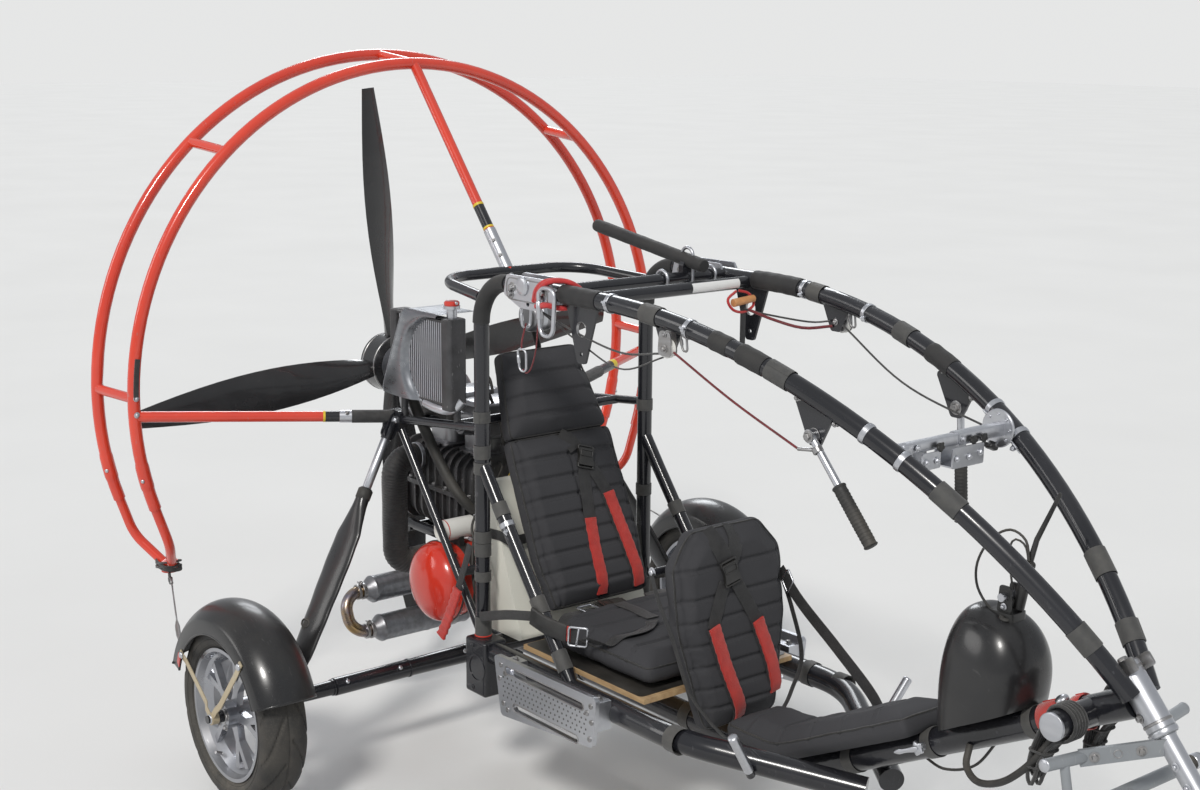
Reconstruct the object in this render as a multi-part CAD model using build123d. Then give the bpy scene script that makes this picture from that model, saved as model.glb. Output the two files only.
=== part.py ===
from build123d import *
import os
from math import atan2, cos, degrees, radians, sin, tan

os.makedirs("parts", exist_ok=True)

# Two-seat powered-paraglider trike, in millimetres. +X is forward, +Y the pilot's left, +Z up.
# The origin is on the ground in the middle of the parked machine.

# Stations along the machine
rear_hoop_x = -1562
prop_x = -1519
front_hoop_x = -1384
clevis_x = -1070
axle_x = -989
bow_x = -944
mast_x = -694
hinge_x = -470
boom_bend_x = -234
keel_bend_x = 180
pod_x = 676
foot_tube_x = 920
nose_x = 1012
front_axle_x = 1400

# Heights
hoop_z = 946
axle_z = 236
keel_z = 280
rail_z = 370
clevis_z = 894
bow_z = 1276
top_z = 1308
nose_z = 720

# Frame
half_width = 262
mast_radius = 19
boom_radius = 20
rail_radius = 28
keel_radius = 30
brace_radius = 11
boom_arc_radius = 1540
boom_arc_angle = 54
top_bend = 110

# Propeller and its guard
front_hoop_radius = 857
rear_hoop_radius = 878
hoop_tube = 16
hoop_tail_tube = 13
hoop_tail_angle = 18.6
prop_radius = 790
prop_blades = 4
prop_phase = 4.8
drum_radius = 84
drum_width = 78

# Mudguards over the main wheels
fender_front_angle = 22
fender_rear_angle = 162
fender_gap = 46
fender_half = 78
fender_wall = 4
fender_depth = 74
fender_shoulder = -40

# Main wheels
wheel_y = 780
wheel_radius = 236
tyre_width = 122
rim_radius = 168
rim_width = 104
axle_radius = 10
running_gap = 0.05

# Front wheel and steering
steer_rake = 40.7
front_wheel_radius = 200
front_tyre_width = 96
front_rim_radius = 116
fork_leg_y = 72
column_radius = 17
head_radius = 27
foot_peg_y = 165
foot_peg_z = 618
foot_bar_x = 995
foot_bar_z = 518

# Seats
rear_back_lean = 24.6
front_back_lean = 8.5


def rod(points, radius, bend=0):
    """Round bar along straight runs, with a bend of one radius at each corner."""
    if bend and len(points) > 2:
        path = FilletPolyline(*points, radius=bend)
    else:
        path = Polyline(*points)
    start = Plane(origin=path @ 0, z_dir=path % 0)
    return sweep(start * Circle(radius), path=path)


def bar(start, end, radius, end_radius=None):
    """Straight round bar, tapered when it has a second radius."""
    run = Vector(*end) - Vector(*start)
    plane = Plane(origin=start, z_dir=run)
    if end_radius is None or end_radius == radius:
        return plane * Cylinder(radius, run.length, align=(Align.CENTER, Align.CENTER, Align.MIN))
    return plane * Cone(radius, end_radius, run.length, align=(Align.CENTER, Align.CENTER, Align.MIN))


def block(x_range, y_range, z_range, round_edges=0):
    """Box between two values on each axis, with its edges rounded."""
    size = [high - low for low, high in (x_range, y_range, z_range)]
    middle = [(low + high) / 2 for low, high in (x_range, y_range, z_range)]
    solid = Box(*size)
    if round_edges:
        solid = fillet(solid.edges(), round_edges)
    return Pos(*middle) * solid


def side_plate(outline, y_range, corner=0):
    """Flat plate standing fore and aft: an outline of x and z, between two y values."""
    face = make_face(Polyline(*outline, close=True))
    if corner:
        face = fillet(face.vertices(), corner)
    low, high = y_range
    placed = Plane(origin=(0, low, 0), x_dir=(1, 0, 0), z_dir=(0, -1, 0)) * face
    return extrude(placed, -(high - low))


def joined(pieces):
    """One shape from several that touch or overlap."""
    total = pieces[0]
    for piece in pieces[1:]:
        total = total + piece
    return total


def both_sides(name, right_piece):
    """The right-hand piece and its mirror image, each under its own name."""
    return {name + "_right": right_piece, name + "_left": mirror(right_piece, about=Plane.XZ)}


# Frame tubes


def mast():
    """Upright beside the rear seat, bent forward at its top, with the moulded boot at its foot."""
    line = [(mast_x, -half_width, rail_z - 40), (mast_x, -half_width, top_z), (hinge_x, -half_width, top_z)]
    tube = rod(line, mast_radius, top_bend)
    boot_y = (-half_width - 36, -half_width + 34)
    boot_z = (rail_z - 112, rail_z + 32)
    boot = block((mast_x - 30, mast_x + 56), boot_y, boot_z, 8)
    return tube + boot


def boom():
    """Upper tube from the hang hinge, curving down and inward in one tilted plane to the nose."""
    lean = atan2(half_width - 30, top_z - nose_z)
    down = Vector(0, sin(lean), -cos(lean))
    bend_start = Vector(boom_bend_x, -half_width, top_z)
    angle = radians(boom_arc_angle)
    middle = bend_start + Vector(1, 0, 0) * boom_arc_radius * sin(angle / 2)
    middle = middle + down * boom_arc_radius * (1 - cos(angle / 2))
    end = bend_start + Vector(1, 0, 0) * boom_arc_radius * sin(angle)
    end = end + down * boom_arc_radius * (1 - cos(angle))
    straight = Line((hinge_x + 4, -half_width, top_z), bend_start)
    arc = ThreePointArc(bend_start, middle, end)
    path = Wire([straight, arc])
    start = Plane(origin=straight @ 0, z_dir=(1, 0, 0))
    tube = sweep(start * Circle(boom_radius), path=path)
    # station along x, depth of the plate under the tube, half of its length
    plates = [(-300, 150, 62), (-12, 74, 48), (384, 96, 62)]
    for x, depth, half_length in plates:
        y, z = boom_point(x)
        outline = [(x - half_length, z), (x + half_length, z - 4), (x + 14, z - depth), (x - 14, z - depth)]
        plate = side_plate(outline, (y - 3, y + 3), 9)
        plate = plate - Pos(x, y, z - depth + 22) * Rot(90, 0, 0) * Cylinder(5, 20)
        tube = tube + plate
    y, z = boom_point(-300)
    return tube - Pos(-300, y, z - 72) * Rot(90, 0, 0) * Cylinder(17, 20) - head_cylinder()


def boom_point(x):
    """Centre of the right-hand boom at a station: its y and its z."""
    if x <= boom_bend_x:
        return -half_width, top_z
    lean = atan2(half_width - 30, top_z - nose_z)
    drop = boom_arc_radius - (boom_arc_radius ** 2 - (x - boom_bend_x) ** 2) ** 0.5
    return -half_width + drop * sin(lean), top_z - drop * cos(lean)


def hang_hinge():
    """Pair of alloy plates that clasp mast and boom, with the hang bore under them."""
    outline = [(hinge_x - 84, top_z + 28), (hinge_x + 84, top_z + 30), (hinge_x + 96, top_z - 20),
               (hinge_x + 30, top_z - 46), (hinge_x - 30, top_z - 46), (hinge_x - 96, top_z - 20)]
    outer = side_plate(outline, (-half_width - mast_radius - 7, -half_width - mast_radius - 1), 10)
    inner = side_plate(outline, (-half_width + mast_radius + 1, -half_width + mast_radius + 7), 10)
    bolts = []
    for x, z in [(hinge_x - 60, top_z), (hinge_x + 60, top_z)]:
        bolts.append(bar((x, -half_width - 32, z), (x, -half_width + 32, z), 5))
    lug = block((hinge_x - 22, hinge_x + 22), (-half_width - 21, -half_width + 21), (top_z - 44, top_z - 20.5))
    bore = bar((hinge_x, -half_width - 40, top_z - 33), (hinge_x, -half_width + 40, top_z - 33), 6)
    return joined([outer, inner, lug] + bolts) - bore


def top_cross_tubes():
    """Two cross tubes between the booms, and the padded bar clamped on the rear one."""
    front = bar((-300, -half_width, top_z - 6), (-300, half_width, top_z - 6), 15)
    rear = bar((-392, -half_width, top_z + 4), (-392, half_width, top_z + 4), 15)
    tube = bar((-330, 130, top_z + 38), (-760, 150, top_z + 96), 15)
    ring = Pos(-392, 133, top_z + 30) * Rot(0, 90, 0) * Cylinder(21, 16)
    foot = block((-400, -384), (112, 154), (top_z + 10, top_z + 34))
    return joined([front, rear, tube, ring, foot])


def top_bow():
    """Bow behind the masts that takes the foot of the top spoke."""
    points = [(mast_x, -half_width, 1262), (bow_x, -half_width + 40, bow_z), (bow_x, half_width - 40, bow_z),
              (mast_x, half_width, 1262)]
    return rod(points, 14, 120)


def rear_frame():
    """Upper side tube and raking brace that meet at the clevis plate behind the engine."""
    clevis = (clevis_x, -half_width - 6, clevis_z)
    upper = bar((mast_x, -half_width, clevis_z + 44), clevis, brace_radius)
    brace = bar(clevis, (mast_x - 6, -half_width, rail_z + 30), brace_radius)
    outline = [(clevis_x - 26, clevis_z + 26), (clevis_x + 34, clevis_z + 26), (clevis_x + 26, clevis_z - 30),
               (clevis_x - 18, clevis_z - 34)]
    plate = side_plate(outline, (-half_width - 20, -half_width + 8), 8)
    return joined([upper, brace, plate])


def side_rail():
    """Lower rail from the mast foot forward, turning in and down to the keel, with its short post."""
    points = [(mast_x + 40, -half_width, rail_z), (60, -half_width, rail_z), (400, -40, 318)]
    return rod(points, rail_radius, 260) + bar((214, -200, 330), (232, -274, 440), 10)


def keel():
    """Centre beam, level and then rising to the nose, with its two cross tubes."""
    end = (nose_x - 10, 0, nose_z - 22)
    beam = rod([(axle_x - 42, 0, keel_z), (keel_bend_x, 0, keel_z), end], keel_radius, 320)
    carrier = block((axle_x - 34, axle_x + 34), (-58, 58), (axle_z - 34, keel_z), 6)
    saddle = block((mast_x - 22, mast_x + 22), (-44, 44), (keel_z, rail_z - 8))
    cross = bar((mast_x, -half_width, rail_z), (mast_x, half_width, rail_z), 24)
    foot_tube_z = keel_z + (foot_tube_x - keel_bend_x) * tan(radians(keel_slope()))
    foot_tube = bar((foot_tube_x, -130, foot_tube_z), (foot_tube_x, 130, foot_tube_z), 27)
    return joined([beam, carrier, saddle, cross, foot_tube]) - head_cylinder()


def diagonal():
    """Tube from the mast down and forward to the side rail."""
    points = [(mast_x, -half_width, 850), (mast_x + 60, -half_width, 770), (mast_x + 372, -half_width, rail_z)]
    return rod(points, 17, 60)


# Landing gear


def axle_arm():
    """Tapered half axle from its carrier on the keel to the wheel, with the stub axle."""
    arm = bar((axle_x, -58, axle_z), (axle_x, -wheel_y + 84, axle_z), 26, 17)
    stub = bar((axle_x, -wheel_y + 90, axle_z), (axle_x, -wheel_y - 100, axle_z), axle_radius)
    shoulder = bar((axle_x, -wheel_y + 86, axle_z), (axle_x, -wheel_y + 60.3, axle_z), 15)
    cap = bar((axle_x, -wheel_y - 60.3, axle_z), (axle_x, -wheel_y - 76, axle_z), 15)
    return joined([arm, shoulder, stub, cap])


def gear_strut():
    """Strut from the clevis to the outer end of the axle: steel rod, collar and broad fairing."""
    top = Vector(clevis_x, -half_width - 20, clevis_z)
    foot = Vector(axle_x, -wheel_y + 125, axle_z + 26)
    along = foot - top
    down = along.normalized()
    length = along.length
    frame = Plane(origin=top, x_dir=Vector(1, 0, 0) - down * down.X, z_dir=down)
    steel = bar(top, top + down * length * 0.32, brace_radius)
    collar = bar(top + down * length * 0.25, top + down * (length * 0.25 + 40), 17)
    # share of the length, chord fore and aft, thickness
    stations = [(0.30, 34, 30), (0.45, 104, 26), (0.86, 88, 24), (0.97, 46, 20)]
    sections = []
    for share, chord, thick in stations:
        sections.append(frame * Pos(0, 0, length * share) * Ellipse(chord / 2, thick / 2))
    fairing = loft(sections, ruled=True)
    eye = bar(top + down * length * 0.97, foot, 12)
    return joined([steel, collar, fairing, eye])


def fender():
    """Mudguard over the wheel: a round-crowned shell turned through an arc, on two flat stays."""
    crown = wheel_radius + fender_gap
    outer = crown_section(fender_half, 0, fender_depth)
    inner = crown_section(fender_half - fender_wall, -fender_wall, fender_depth + 1)
    section = Plane(origin=(crown, 0, 0), x_dir=(0, 1, 0), z_dir=(0, 0, -1)) * (outer - inner)
    guard = revolve(section, axis=Axis.Y, revolution_arc=fender_rear_angle - fender_front_angle)
    guard = Rot(0, -fender_rear_angle, 0) * guard
    stay_y = -fender_half - 3
    pieces = [guard]
    for angle in (52, 150):
        reach = crown - 62
        tip = (reach * cos(radians(angle)), stay_y, reach * sin(radians(angle)))
        pieces.append(bar((0, stay_y, 0), tip, 5))
    pieces.append(bar((0, stay_y + 5.5, 0), (0, stay_y - 7, 0), 16))
    return on_right_axle(joined(pieces))


def crown_section(half, top, depth):
    """Section of the mudguard: one low arch between two straight side walls."""
    arch = ThreePointArc((half, fender_shoulder), (0, top), (-half, fender_shoulder))
    walls = Polyline((-half, fender_shoulder), (-half, -depth), (half, -depth), (half, fender_shoulder))
    return make_face(Wire([arch] + walls.edges()))


def main_tyre():
    """Road tyre with rounded shoulders, seated on its rim."""
    half = tyre_width / 2
    outline = [(rim_radius - 8, 42), (rim_radius + 20, half), (wheel_radius - 22, half - 4),
               (wheel_radius, half - 40), (wheel_radius, -half + 40), (wheel_radius - 22, -half + 4),
               (rim_radius + 20, -half), (rim_radius - 8, -42)]
    profile = make_face(Polyline(*outline, close=True))
    profile = fillet(profile.vertices().sort_by(Axis.X)[2:], 12)
    return on_right_axle(revolve(Plane.XY * profile, axis=Axis.Y))


def on_right_axle(shape):
    """Place a wheel part, drawn round the Y axis, on the right-hand stub axle."""
    return Pos(axle_x, -wheel_y, axle_z) * shape


def main_rim():
    """Alloy wheel: channel rim with flanges, hub with its bore, and five forked spokes."""
    half = rim_width / 2
    upper = [(rim_radius - 8, 42), (rim_radius, 46), (rim_radius, half), (rim_radius - 9, half),
             (rim_radius - 16, 34), (rim_radius - 36, 16)]
    lower = [(radius, -y) for radius, y in reversed(upper)]
    rim = revolve(make_face(Polyline(*upper, *lower, close=True)), axis=Axis.Y)
    hub = Rot(90, 0, 0) * (Cylinder(34, 118) - Cylinder(axle_radius + running_gap, 140))
    reach = rim_radius - 30
    fork = [(26, 15), (70, 10), (reach, 34), (reach, 16), (92, 0), (reach, -16), (reach, -34), (70, -10), (26, -15)]
    spoke_face = make_face(Polyline(*fork, close=True))
    spoke = Plane(origin=(0, -14, 0), x_dir=(1, 0, 0), z_dir=(0, -1, 0)) * spoke_face
    spoke = extrude(spoke, 18)
    spokes = [Rot(0, 72 * turn, 0) * spoke for turn in range(5)]
    bore = Rot(90, 0, 0) * Cylinder(axle_radius + running_gap, 140)
    return on_right_axle(joined([rim, hub] + spokes) - bore)


# Propeller, guard and engine


def hoop(x, radius, tail_end):
    """Guard ring from one low joint over the top to the other, with a thinner tail to the V."""
    angle = radians(hoop_tail_angle)
    low_right = (x, -radius * cos(angle), hoop_z - radius * sin(angle))
    low_left = (x, radius * cos(angle), hoop_z - radius * sin(angle))
    ring_path = ThreePointArc(low_right, (x, 0, hoop_z + radius), low_left)
    start = Plane(origin=ring_path @ 0, z_dir=ring_path % 0)
    ring = sweep(start * Circle(hoop_tube), path=ring_path)
    knee = (x, low_right[1] + 112 * sin(angle), low_right[2] - 112 * cos(angle))
    tail = rod([low_right, knee, tail_end], hoop_tail_tube, 90)
    return ring + tail + mirror(tail, about=Plane.XZ)


def front_hoop():
    return hoop(front_hoop_x, front_hoop_radius, (-1452, -742, 486))


def rear_hoop():
    """Rear ring with the short tubes that tie it to the front ring."""
    ring = hoop(rear_hoop_x, rear_hoop_radius, (-1484, -742, 482))
    ties = []
    for angle in (1.5, 48, 90, 132, 178.5):
        turn = radians(angle)
        front = (front_hoop_x, -front_hoop_radius * cos(turn), hoop_z + front_hoop_radius * sin(turn))
        rear = (rear_hoop_x, -rear_hoop_radius * cos(turn), hoop_z + rear_hoop_radius * sin(turn))
        ties.append(bar(front, rear, 13))
    lash = bar((-1468, -742, 470), (-1468, -742, 500), 22)
    return joined([ring, lash, mirror(lash, about=Plane.XZ)] + ties)


def spokes():
    """Three bars that hold the front ring: one from the bow and one from each clevis plate."""
    top = bar((front_hoop_x, 0, hoop_z + front_hoop_radius), (bow_x, 0, bow_z), 14)
    end = (front_hoop_x, -front_hoop_radius * cos(radians(1.5)), hoop_z - 24)
    right = bar((clevis_x - 6, -half_width - 20, clevis_z + 8), end, 14)
    return top + right + mirror(right, about=Plane.XZ)


def engine():
    """Engine block with two barrels, and the drive housing behind it."""
    case = block((-1240, -900), (-148, 148), (566, 800), 18)
    barrels = []
    for x in (-1150, -990):
        barrels.append(block((x - 66, x + 66), (-105, 105), (790, 930), 12))
    drive = Pos(-1290, 0, hoop_z - 60) * Rot(0, 90, 0) * Cylinder(92, 110)
    neck = bar((-1301, 0, hoop_z), (prop_x + drum_width / 2 + 1, 0, hoop_z), 30)
    shaft = bar((-1400, 0, hoop_z), (prop_x + 10, 0, hoop_z), 16)
    return joined([case, drive, neck, shaft] + barrels)


def engine_cradle():
    """Cross tube and two bearers under the engine, with stubs to the clevis plates."""
    cross_x = -798
    cross = bar((cross_x, -half_width, 541), (cross_x, half_width, 541), 12)
    rear_cross = bar((-1228, -142, 541), (-1228, 142, 541), 12)
    bearers = [bar((cross_x, side * 130, 552), (-1238, side * 130, 552), 13.9) for side in (-1, 1)]
    stubs = [bar((clevis_x, side * (half_width + 4), clevis_z - 10), (clevis_x, side * 100, 884), 10)
             for side in (-1, 1)]
    return joined([cross, rear_cross] + bearers + stubs)


def radiator():
    """Side-mounted core between two end tanks, with its filler neck."""
    core = block((-1030, -820), (-292, -252), (978, 1186))
    front_tank = block((-820, -778), (-300, -244), (966, 1196), 10)
    rear_tank = block((-1056, -1030), (-300, -244), (970, 1192), 8)
    neck = bar((-806, -272, 1190), (-806, -272, 1226), 12)
    cap = bar((-806, -272, 1226), (-806, -272, 1240), 20)
    feet = [block((x - 10, x + 10), (-272, -254), (low, 972)) for x, low in [(-1042, 900), (-800, 926)]]
    return joined([core, front_tank, rear_tank, neck, cap] + feet)


def radiator_shroud():
    """Folded sheet scoop behind the core."""
    outline = [(-1060, 1190), (-1150, 1176), (-1170, 960), (-1060, 970)]
    outer = side_plate(outline, (-286, -180))
    inner = side_plate([(-1050, 1184), (-1145, 1172), (-1165, 965), (-1050, 976)], (-283, -170))
    return outer - inner


def silencers():
    """Two silencers across the machine, with their return pipe and the pipe from the engine."""
    cans = []
    for x, z in [(-1372, 330), (-1330, 226)]:
        cans.append(bar((x, -190, z), (x, 120, z), 39))
    x0, z0 = (-1372, 330)
    x1, z1 = (-1330, 226)
    pipe_points = [(x0, -188, z0), (x0, -268, z0), (x1, -268, z1), (x1, -188, z1)]
    pipe = rod(pipe_points, 17, 50)
    tie = bar((x0, 60, z0), (x1, 60, z1), 12)
    down_pipe = rod([(-1180, 60, 575), (-1180, 60, 470), (-1330, 60, 420), (-1372, 60, 365)], 20, 60)
    return joined(cans + [pipe, tie, down_pipe])


def intake_hose():
    """Wide hose from the air box down and round under the engine."""
    x = -1160
    return rod([(x, -140, 760), (x, -225, 760), (x, -225, 470), (x, -44, 470), (x, -44, 575)], 36, 40)


def rescue_container():
    """Domed canister on its side beside the engine, with a launcher tube strapped above it."""
    x = -916
    z = 484
    body = bar((x, -148, z), (x, -236, z), 98)
    flange = bar((x, -232, z), (x, -250, z), 106)
    ball = Pos(x, -184, z) * Sphere(120)
    dome = ball & block((x - 130, x + 130), (-400, -250), (z - 130, z + 130))
    launcher = bar((-905, -250, 622), (-905, -148, 622), 28)
    strap = block((-912, -898), (-206, -186), (z + 90, 600))
    return joined([body, flange, dome, launcher, strap])


def fuel_tank():
    """Translucent tank behind the rear seat."""
    outline = [(-780, 396), (-604, 396), (-750, 780), (-780, 780)]
    solid = side_plate(outline, (-205, 205))
    return fillet(solid.edges().filter_by(Axis.Y), 12)


def header_bottle():
    """Alloy coolant bottle hung from the bow, above the head pad of the rear seat."""
    x = -820
    z = 1175
    body = bar((x, -34, z), (x, 34, z), 40)
    body = fillet(body.edges().filter_by(GeomType.CIRCLE), 12)
    stay = bar((x - 20, 0, z + 22), (bow_x, 0, bow_z), 8)
    return body + stay


def seat_back_bar():
    """Cross tube between the upper side tubes that the rear backrest leans on."""
    return bar((-812, -half_width, 924), (-812, half_width, 924), 12)


# Seats


def seat_slab(foot, lean, outline, thickness, corner):
    """Backrest: an outline of widths and heights, thick to the rear, leaning back."""
    face = make_face(Polyline(*outline, close=True))
    face = fillet(face.vertices(), corner)
    plane = Plane(origin=foot, x_dir=(0, 1, 0), z_dir=Vector(cos(radians(lean)), 0, sin(radians(lean))))
    return extrude(plane * face, -thickness)


def rear_seat_back():
    """Tall backrest with a head pad."""
    outline = [(-160, 0), (160, 0), (174, 140), (168, 470), (127, 680), (-127, 680), (-168, 470), (-174, 140)]
    return seat_slab((-524, 0, 486), rear_back_lean, outline, 62, 24)


def rear_seat_cushion():
    return block((-512, -112), (-215, 215), (424, 482), 18)


def seat_board():
    """Plywood board under the rear cushion, across the side rails."""
    return block((-560, -100), (-235, 235), (399, 411))


def front_seat_back():
    outline = [(-120, 0), (120, 0), (176, 240), (176, 400), (110, 478), (-110, 478), (-176, 400), (-176, 240)]
    return seat_slab((-16, 0, 320), front_back_lean, outline, 58, 36)


def front_seat_cushion():
    """Long narrow cushion on the keel."""
    outline = [(0, 311), (176, 311), (528, 491), (528, 545), (164, 366), (0, 366)]
    return side_plate(outline, (-92, 92), 8)


# Controls, steps and nose


def step_plate():
    """Slotted alloy plate outside the side rail, on two clamp blocks."""
    plate = side_plate([(-544, 415), (-149, 421), (-162, 299), (-516, 266)], (-336, -324), 12)
    for x, z, run in [(-346, 388, 300), (-340, 302, 250)]:
        slot = Plane(origin=(x, -330, z), x_dir=(1, 0, 0), z_dir=(0, -1, 0)) * SlotOverall(run, 16)
        plate = plate - extrude(slot, 20, both=True)
    clamps = []
    for x in (-500, -180):
        clamps.append(block((x - 22, x + 22), (-324, -half_width - 22), (rail_z - 34, rail_z + 34)))
    return joined([plate] + clamps)


def cross_bar():
    """Alloy bar across the booms with a channel under it and a ring clamp at each end."""
    x = 552
    y, z = boom_point(x)
    beam = block((x - 22, x + 22), (y, -y), (z - 5, z + 5))
    channel = block((x - 24, x + 24), (-68, 68), (z - 56, z - 5))
    rings = [Pos(x, side * y, z) * Rot(0, 90, 0) * Cylinder(29, 40) for side in (1, -1)]
    return joined([beam, channel] + rings)


def hand_lever(swing):
    """Hand lever hung from the boom plate: alloy shank and rubber grip."""
    y, z = boom_point(384)
    pivot = Vector(384, y - 12, z - 74)
    down = Vector(sin(radians(swing)), 0, -cos(radians(swing)))
    knuckle = bar((384, y - 3, z - 74), (384, y - 20, z - 74), 14)
    shank = bar(pivot, pivot + down * 120, 8)
    grip = bar(pivot + down * 116, pivot + down * 250, 13)
    return joined([knuckle, shank, grip])


def keel_slope():
    """Angle of the rising run of the keel, in degrees."""
    return degrees(atan2(nose_z - 22 - keel_z, nose_x - 10 - keel_bend_x))


def keel_top(x):
    """Height just clear of the rising run of the keel."""
    slope = radians(keel_slope())
    return keel_z + (x - keel_bend_x) * tan(slope) + (keel_radius + 0.5) / cos(slope)


def instrument_pod():
    """Tall rounded fairing on the rising keel, upright at its rear."""
    rear = pod_x - 88
    front = pod_x + 108
    shoulder_z = 734
    crown_z = 798
    half = 96
    outline = [(rear, keel_top(rear)), (rear - 4, shoulder_z), (rear + 46, crown_z), (front - 62, crown_z),
               (front, shoulder_z), (front - 2, keel_top(front))]
    side_form = side_plate(outline, (-half, half))
    upright = side_form.edges().filter_by(Axis.Y).sort_by(Axis.Z)[2:]
    side_form = fillet(upright, 40)
    plan = Pos(pod_x + 8, 0, crown_z - 150) * extrude(RectangleRounded(206, 2 * half, 66), 160, both=True)
    arch_at = Plane(origin=(pod_x, 0, 0), x_dir=(0, 1, 0), z_dir=(1, 0, 0))
    spring_z = shoulder_z - 30
    low_z = 480
    arch = ThreePointArc((half, spring_z), (0, crown_z), (-half, spring_z))
    walls = Polyline((-half, spring_z), (-half, low_z), (half, low_z), (half, spring_z))
    front_form = extrude(arch_at * make_face(Wire([arch] + walls.edges())), 160, both=True)
    return side_form & plan & front_form


def steer_axis():
    """Direction of the steering column, pointing up and back."""
    return Vector(-sin(radians(steer_rake)), 0, cos(radians(steer_rake)))


def column_point(distance):
    """Point on the steering axis, by its distance below the top of the head."""
    top = Vector(nose_x - 30, 0, nose_z + 36)
    return top - steer_axis() * distance


def head_cylinder():
    """Full outline of the head, which booms and keel are cut back to."""
    return bar(column_point(-8), column_point(120), head_radius)


def nose_head():
    """Head sleeve that joins booms and keel and carries the steering column."""
    return head_cylinder() - bar(column_point(0), column_point(130), column_radius + running_gap)


def steering_fork():
    """Column, crown, foot bars and two legs that carry the front wheel."""
    column = bar(column_point(0.3), column_point(370), column_radius)
    lower_collar = bar(column_point(120.3), column_point(134), 26)
    crown_at = column_point(360)
    crown = block((crown_at.X - 26, crown_at.X + 26), (-fork_leg_y - 12, fork_leg_y + 12),
                  (crown_at.Z - 10, crown_at.Z + 10))
    pieces = [column, lower_collar, crown]
    for side in (-1, 1):
        pieces.append(bar((crown_at.X, side * fork_leg_y, crown_at.Z), (front_axle_x, side * fork_leg_y,
                                                                     front_wheel_radius), 12))
    pieces.append(bar((front_axle_x, -fork_leg_y - 14, front_wheel_radius),
                      (front_axle_x, fork_leg_y + 14, front_wheel_radius), axle_radius))
    pieces.append(bar((foot_bar_x, -240, foot_bar_z), (foot_bar_x, 240, foot_bar_z), 14))
    pieces.append(bar((foot_bar_x, 0, foot_bar_z), column_point(300), 11))
    for side in (-1, 1):
        pieces.append(foot_bar(side))
    return joined(pieces)


def foot_bar(side):
    """Flat arm from the column to a foot peg, with the leg from the peg to the lower foot tube."""
    hub = column_point(152)
    inner = Vector(hub.X, side * 12, hub.Z)
    elbow = Vector(981, side * 120, 614)
    run = elbow - inner
    middle = (elbow + inner) * 0.5
    arm = Plane(origin=middle, x_dir=run, z_dir=Vector(0, 0, 1).cross(run)) * Box(run.length + 12, 32, 8)
    peg = bar((979, side * 104, foot_peg_z - 5), (970, side * 216, foot_peg_z + 3), 12)
    leg = bar((974, side * foot_peg_y, foot_peg_z), (foot_bar_x, side * foot_peg_y, foot_bar_z), 9)
    return joined([arm, peg, leg])


def front_axle():
    """Centre of the front wheel."""
    return Vector(front_axle_x, 0, front_wheel_radius)


def front_tyre():
    half = front_tyre_width / 2
    inner = front_rim_radius
    outline = [(inner - 6, 30), (inner + 16, half), (front_wheel_radius - 22, half - 2),
               (front_wheel_radius, half - 30), (front_wheel_radius, -half + 30),
               (front_wheel_radius - 22, -half + 2), (inner + 16, -half), (inner - 6, -30)]
    profile = make_face(Polyline(*outline, close=True))
    profile = fillet(profile.vertices().sort_by(Axis.X)[2:], 10)
    at = front_axle()
    return Pos(at.X, at.Y, at.Z) * revolve(Plane.XY * profile, axis=Axis.Y)


def front_rim():
    inner = front_rim_radius
    upper = [(inner - 6, 30), (inner, 33), (inner, 38), (inner - 8, 38), (inner - 22, 14)]
    lower = [(radius, -y) for radius, y in reversed(upper)]
    rim = revolve(make_face(Polyline(*upper, *lower, close=True)), axis=Axis.Y)
    hub = Rot(90, 0, 0) * Cylinder(26, 108)
    disc = Rot(90, 0, 0) * Cylinder(inner - 20, 10)
    for turn in range(6):
        disc = disc - Rot(0, 60 * turn, 0) * Pos(62, 0, 0) * Rot(90, 0, 0) * Cylinder(17, 30)
    bore = Rot(90, 0, 0) * Cylinder(axle_radius + running_gap, 140)
    at = front_axle()
    return Pos(at.X, at.Y, at.Z) * (joined([rim, hub, disc]) - bore)


def propeller():
    """Drum hub and four twisted blades, each lofted through lens-shaped sections."""
    drum = Pos(prop_x, 0, hoop_z) * Rot(0, 90, 0) * Cylinder(drum_radius, drum_width)
    bore = bar((prop_x + 9, 0, hoop_z), (prop_x + 60, 0, hoop_z), 16 + running_gap)
    # distance from the centre, chord, thickness, pitch angle
    stations = [(60, 56, 34, 50), (150, 84, 24, 38), (300, 112, 17, 26), (560, 104, 12, 17),
                (prop_radius, 46, 6, 12)]
    sections = []
    for distance, chord, thick, pitch in stations:
        lens = make_face(Wire([ThreePointArc((-chord / 2, 0), (0, thick / 2), (chord / 2, 0)),
                               ThreePointArc((chord / 2, 0), (0, -thick / 2), (-chord / 2, 0))]))
        plane = Plane(origin=(0, 0, distance), x_dir=(0, 1, 0), z_dir=(0, 0, 1))
        sections.append(plane * Rot(0, 0, pitch) * lens)
    blade = loft(sections)
    blades = [Pos(prop_x, 0, hoop_z) * Rot(prop_phase + 90 * turn, 0, 0) * blade for turn in range(prop_blades)]
    return joined([drum] + blades) - bore


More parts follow.
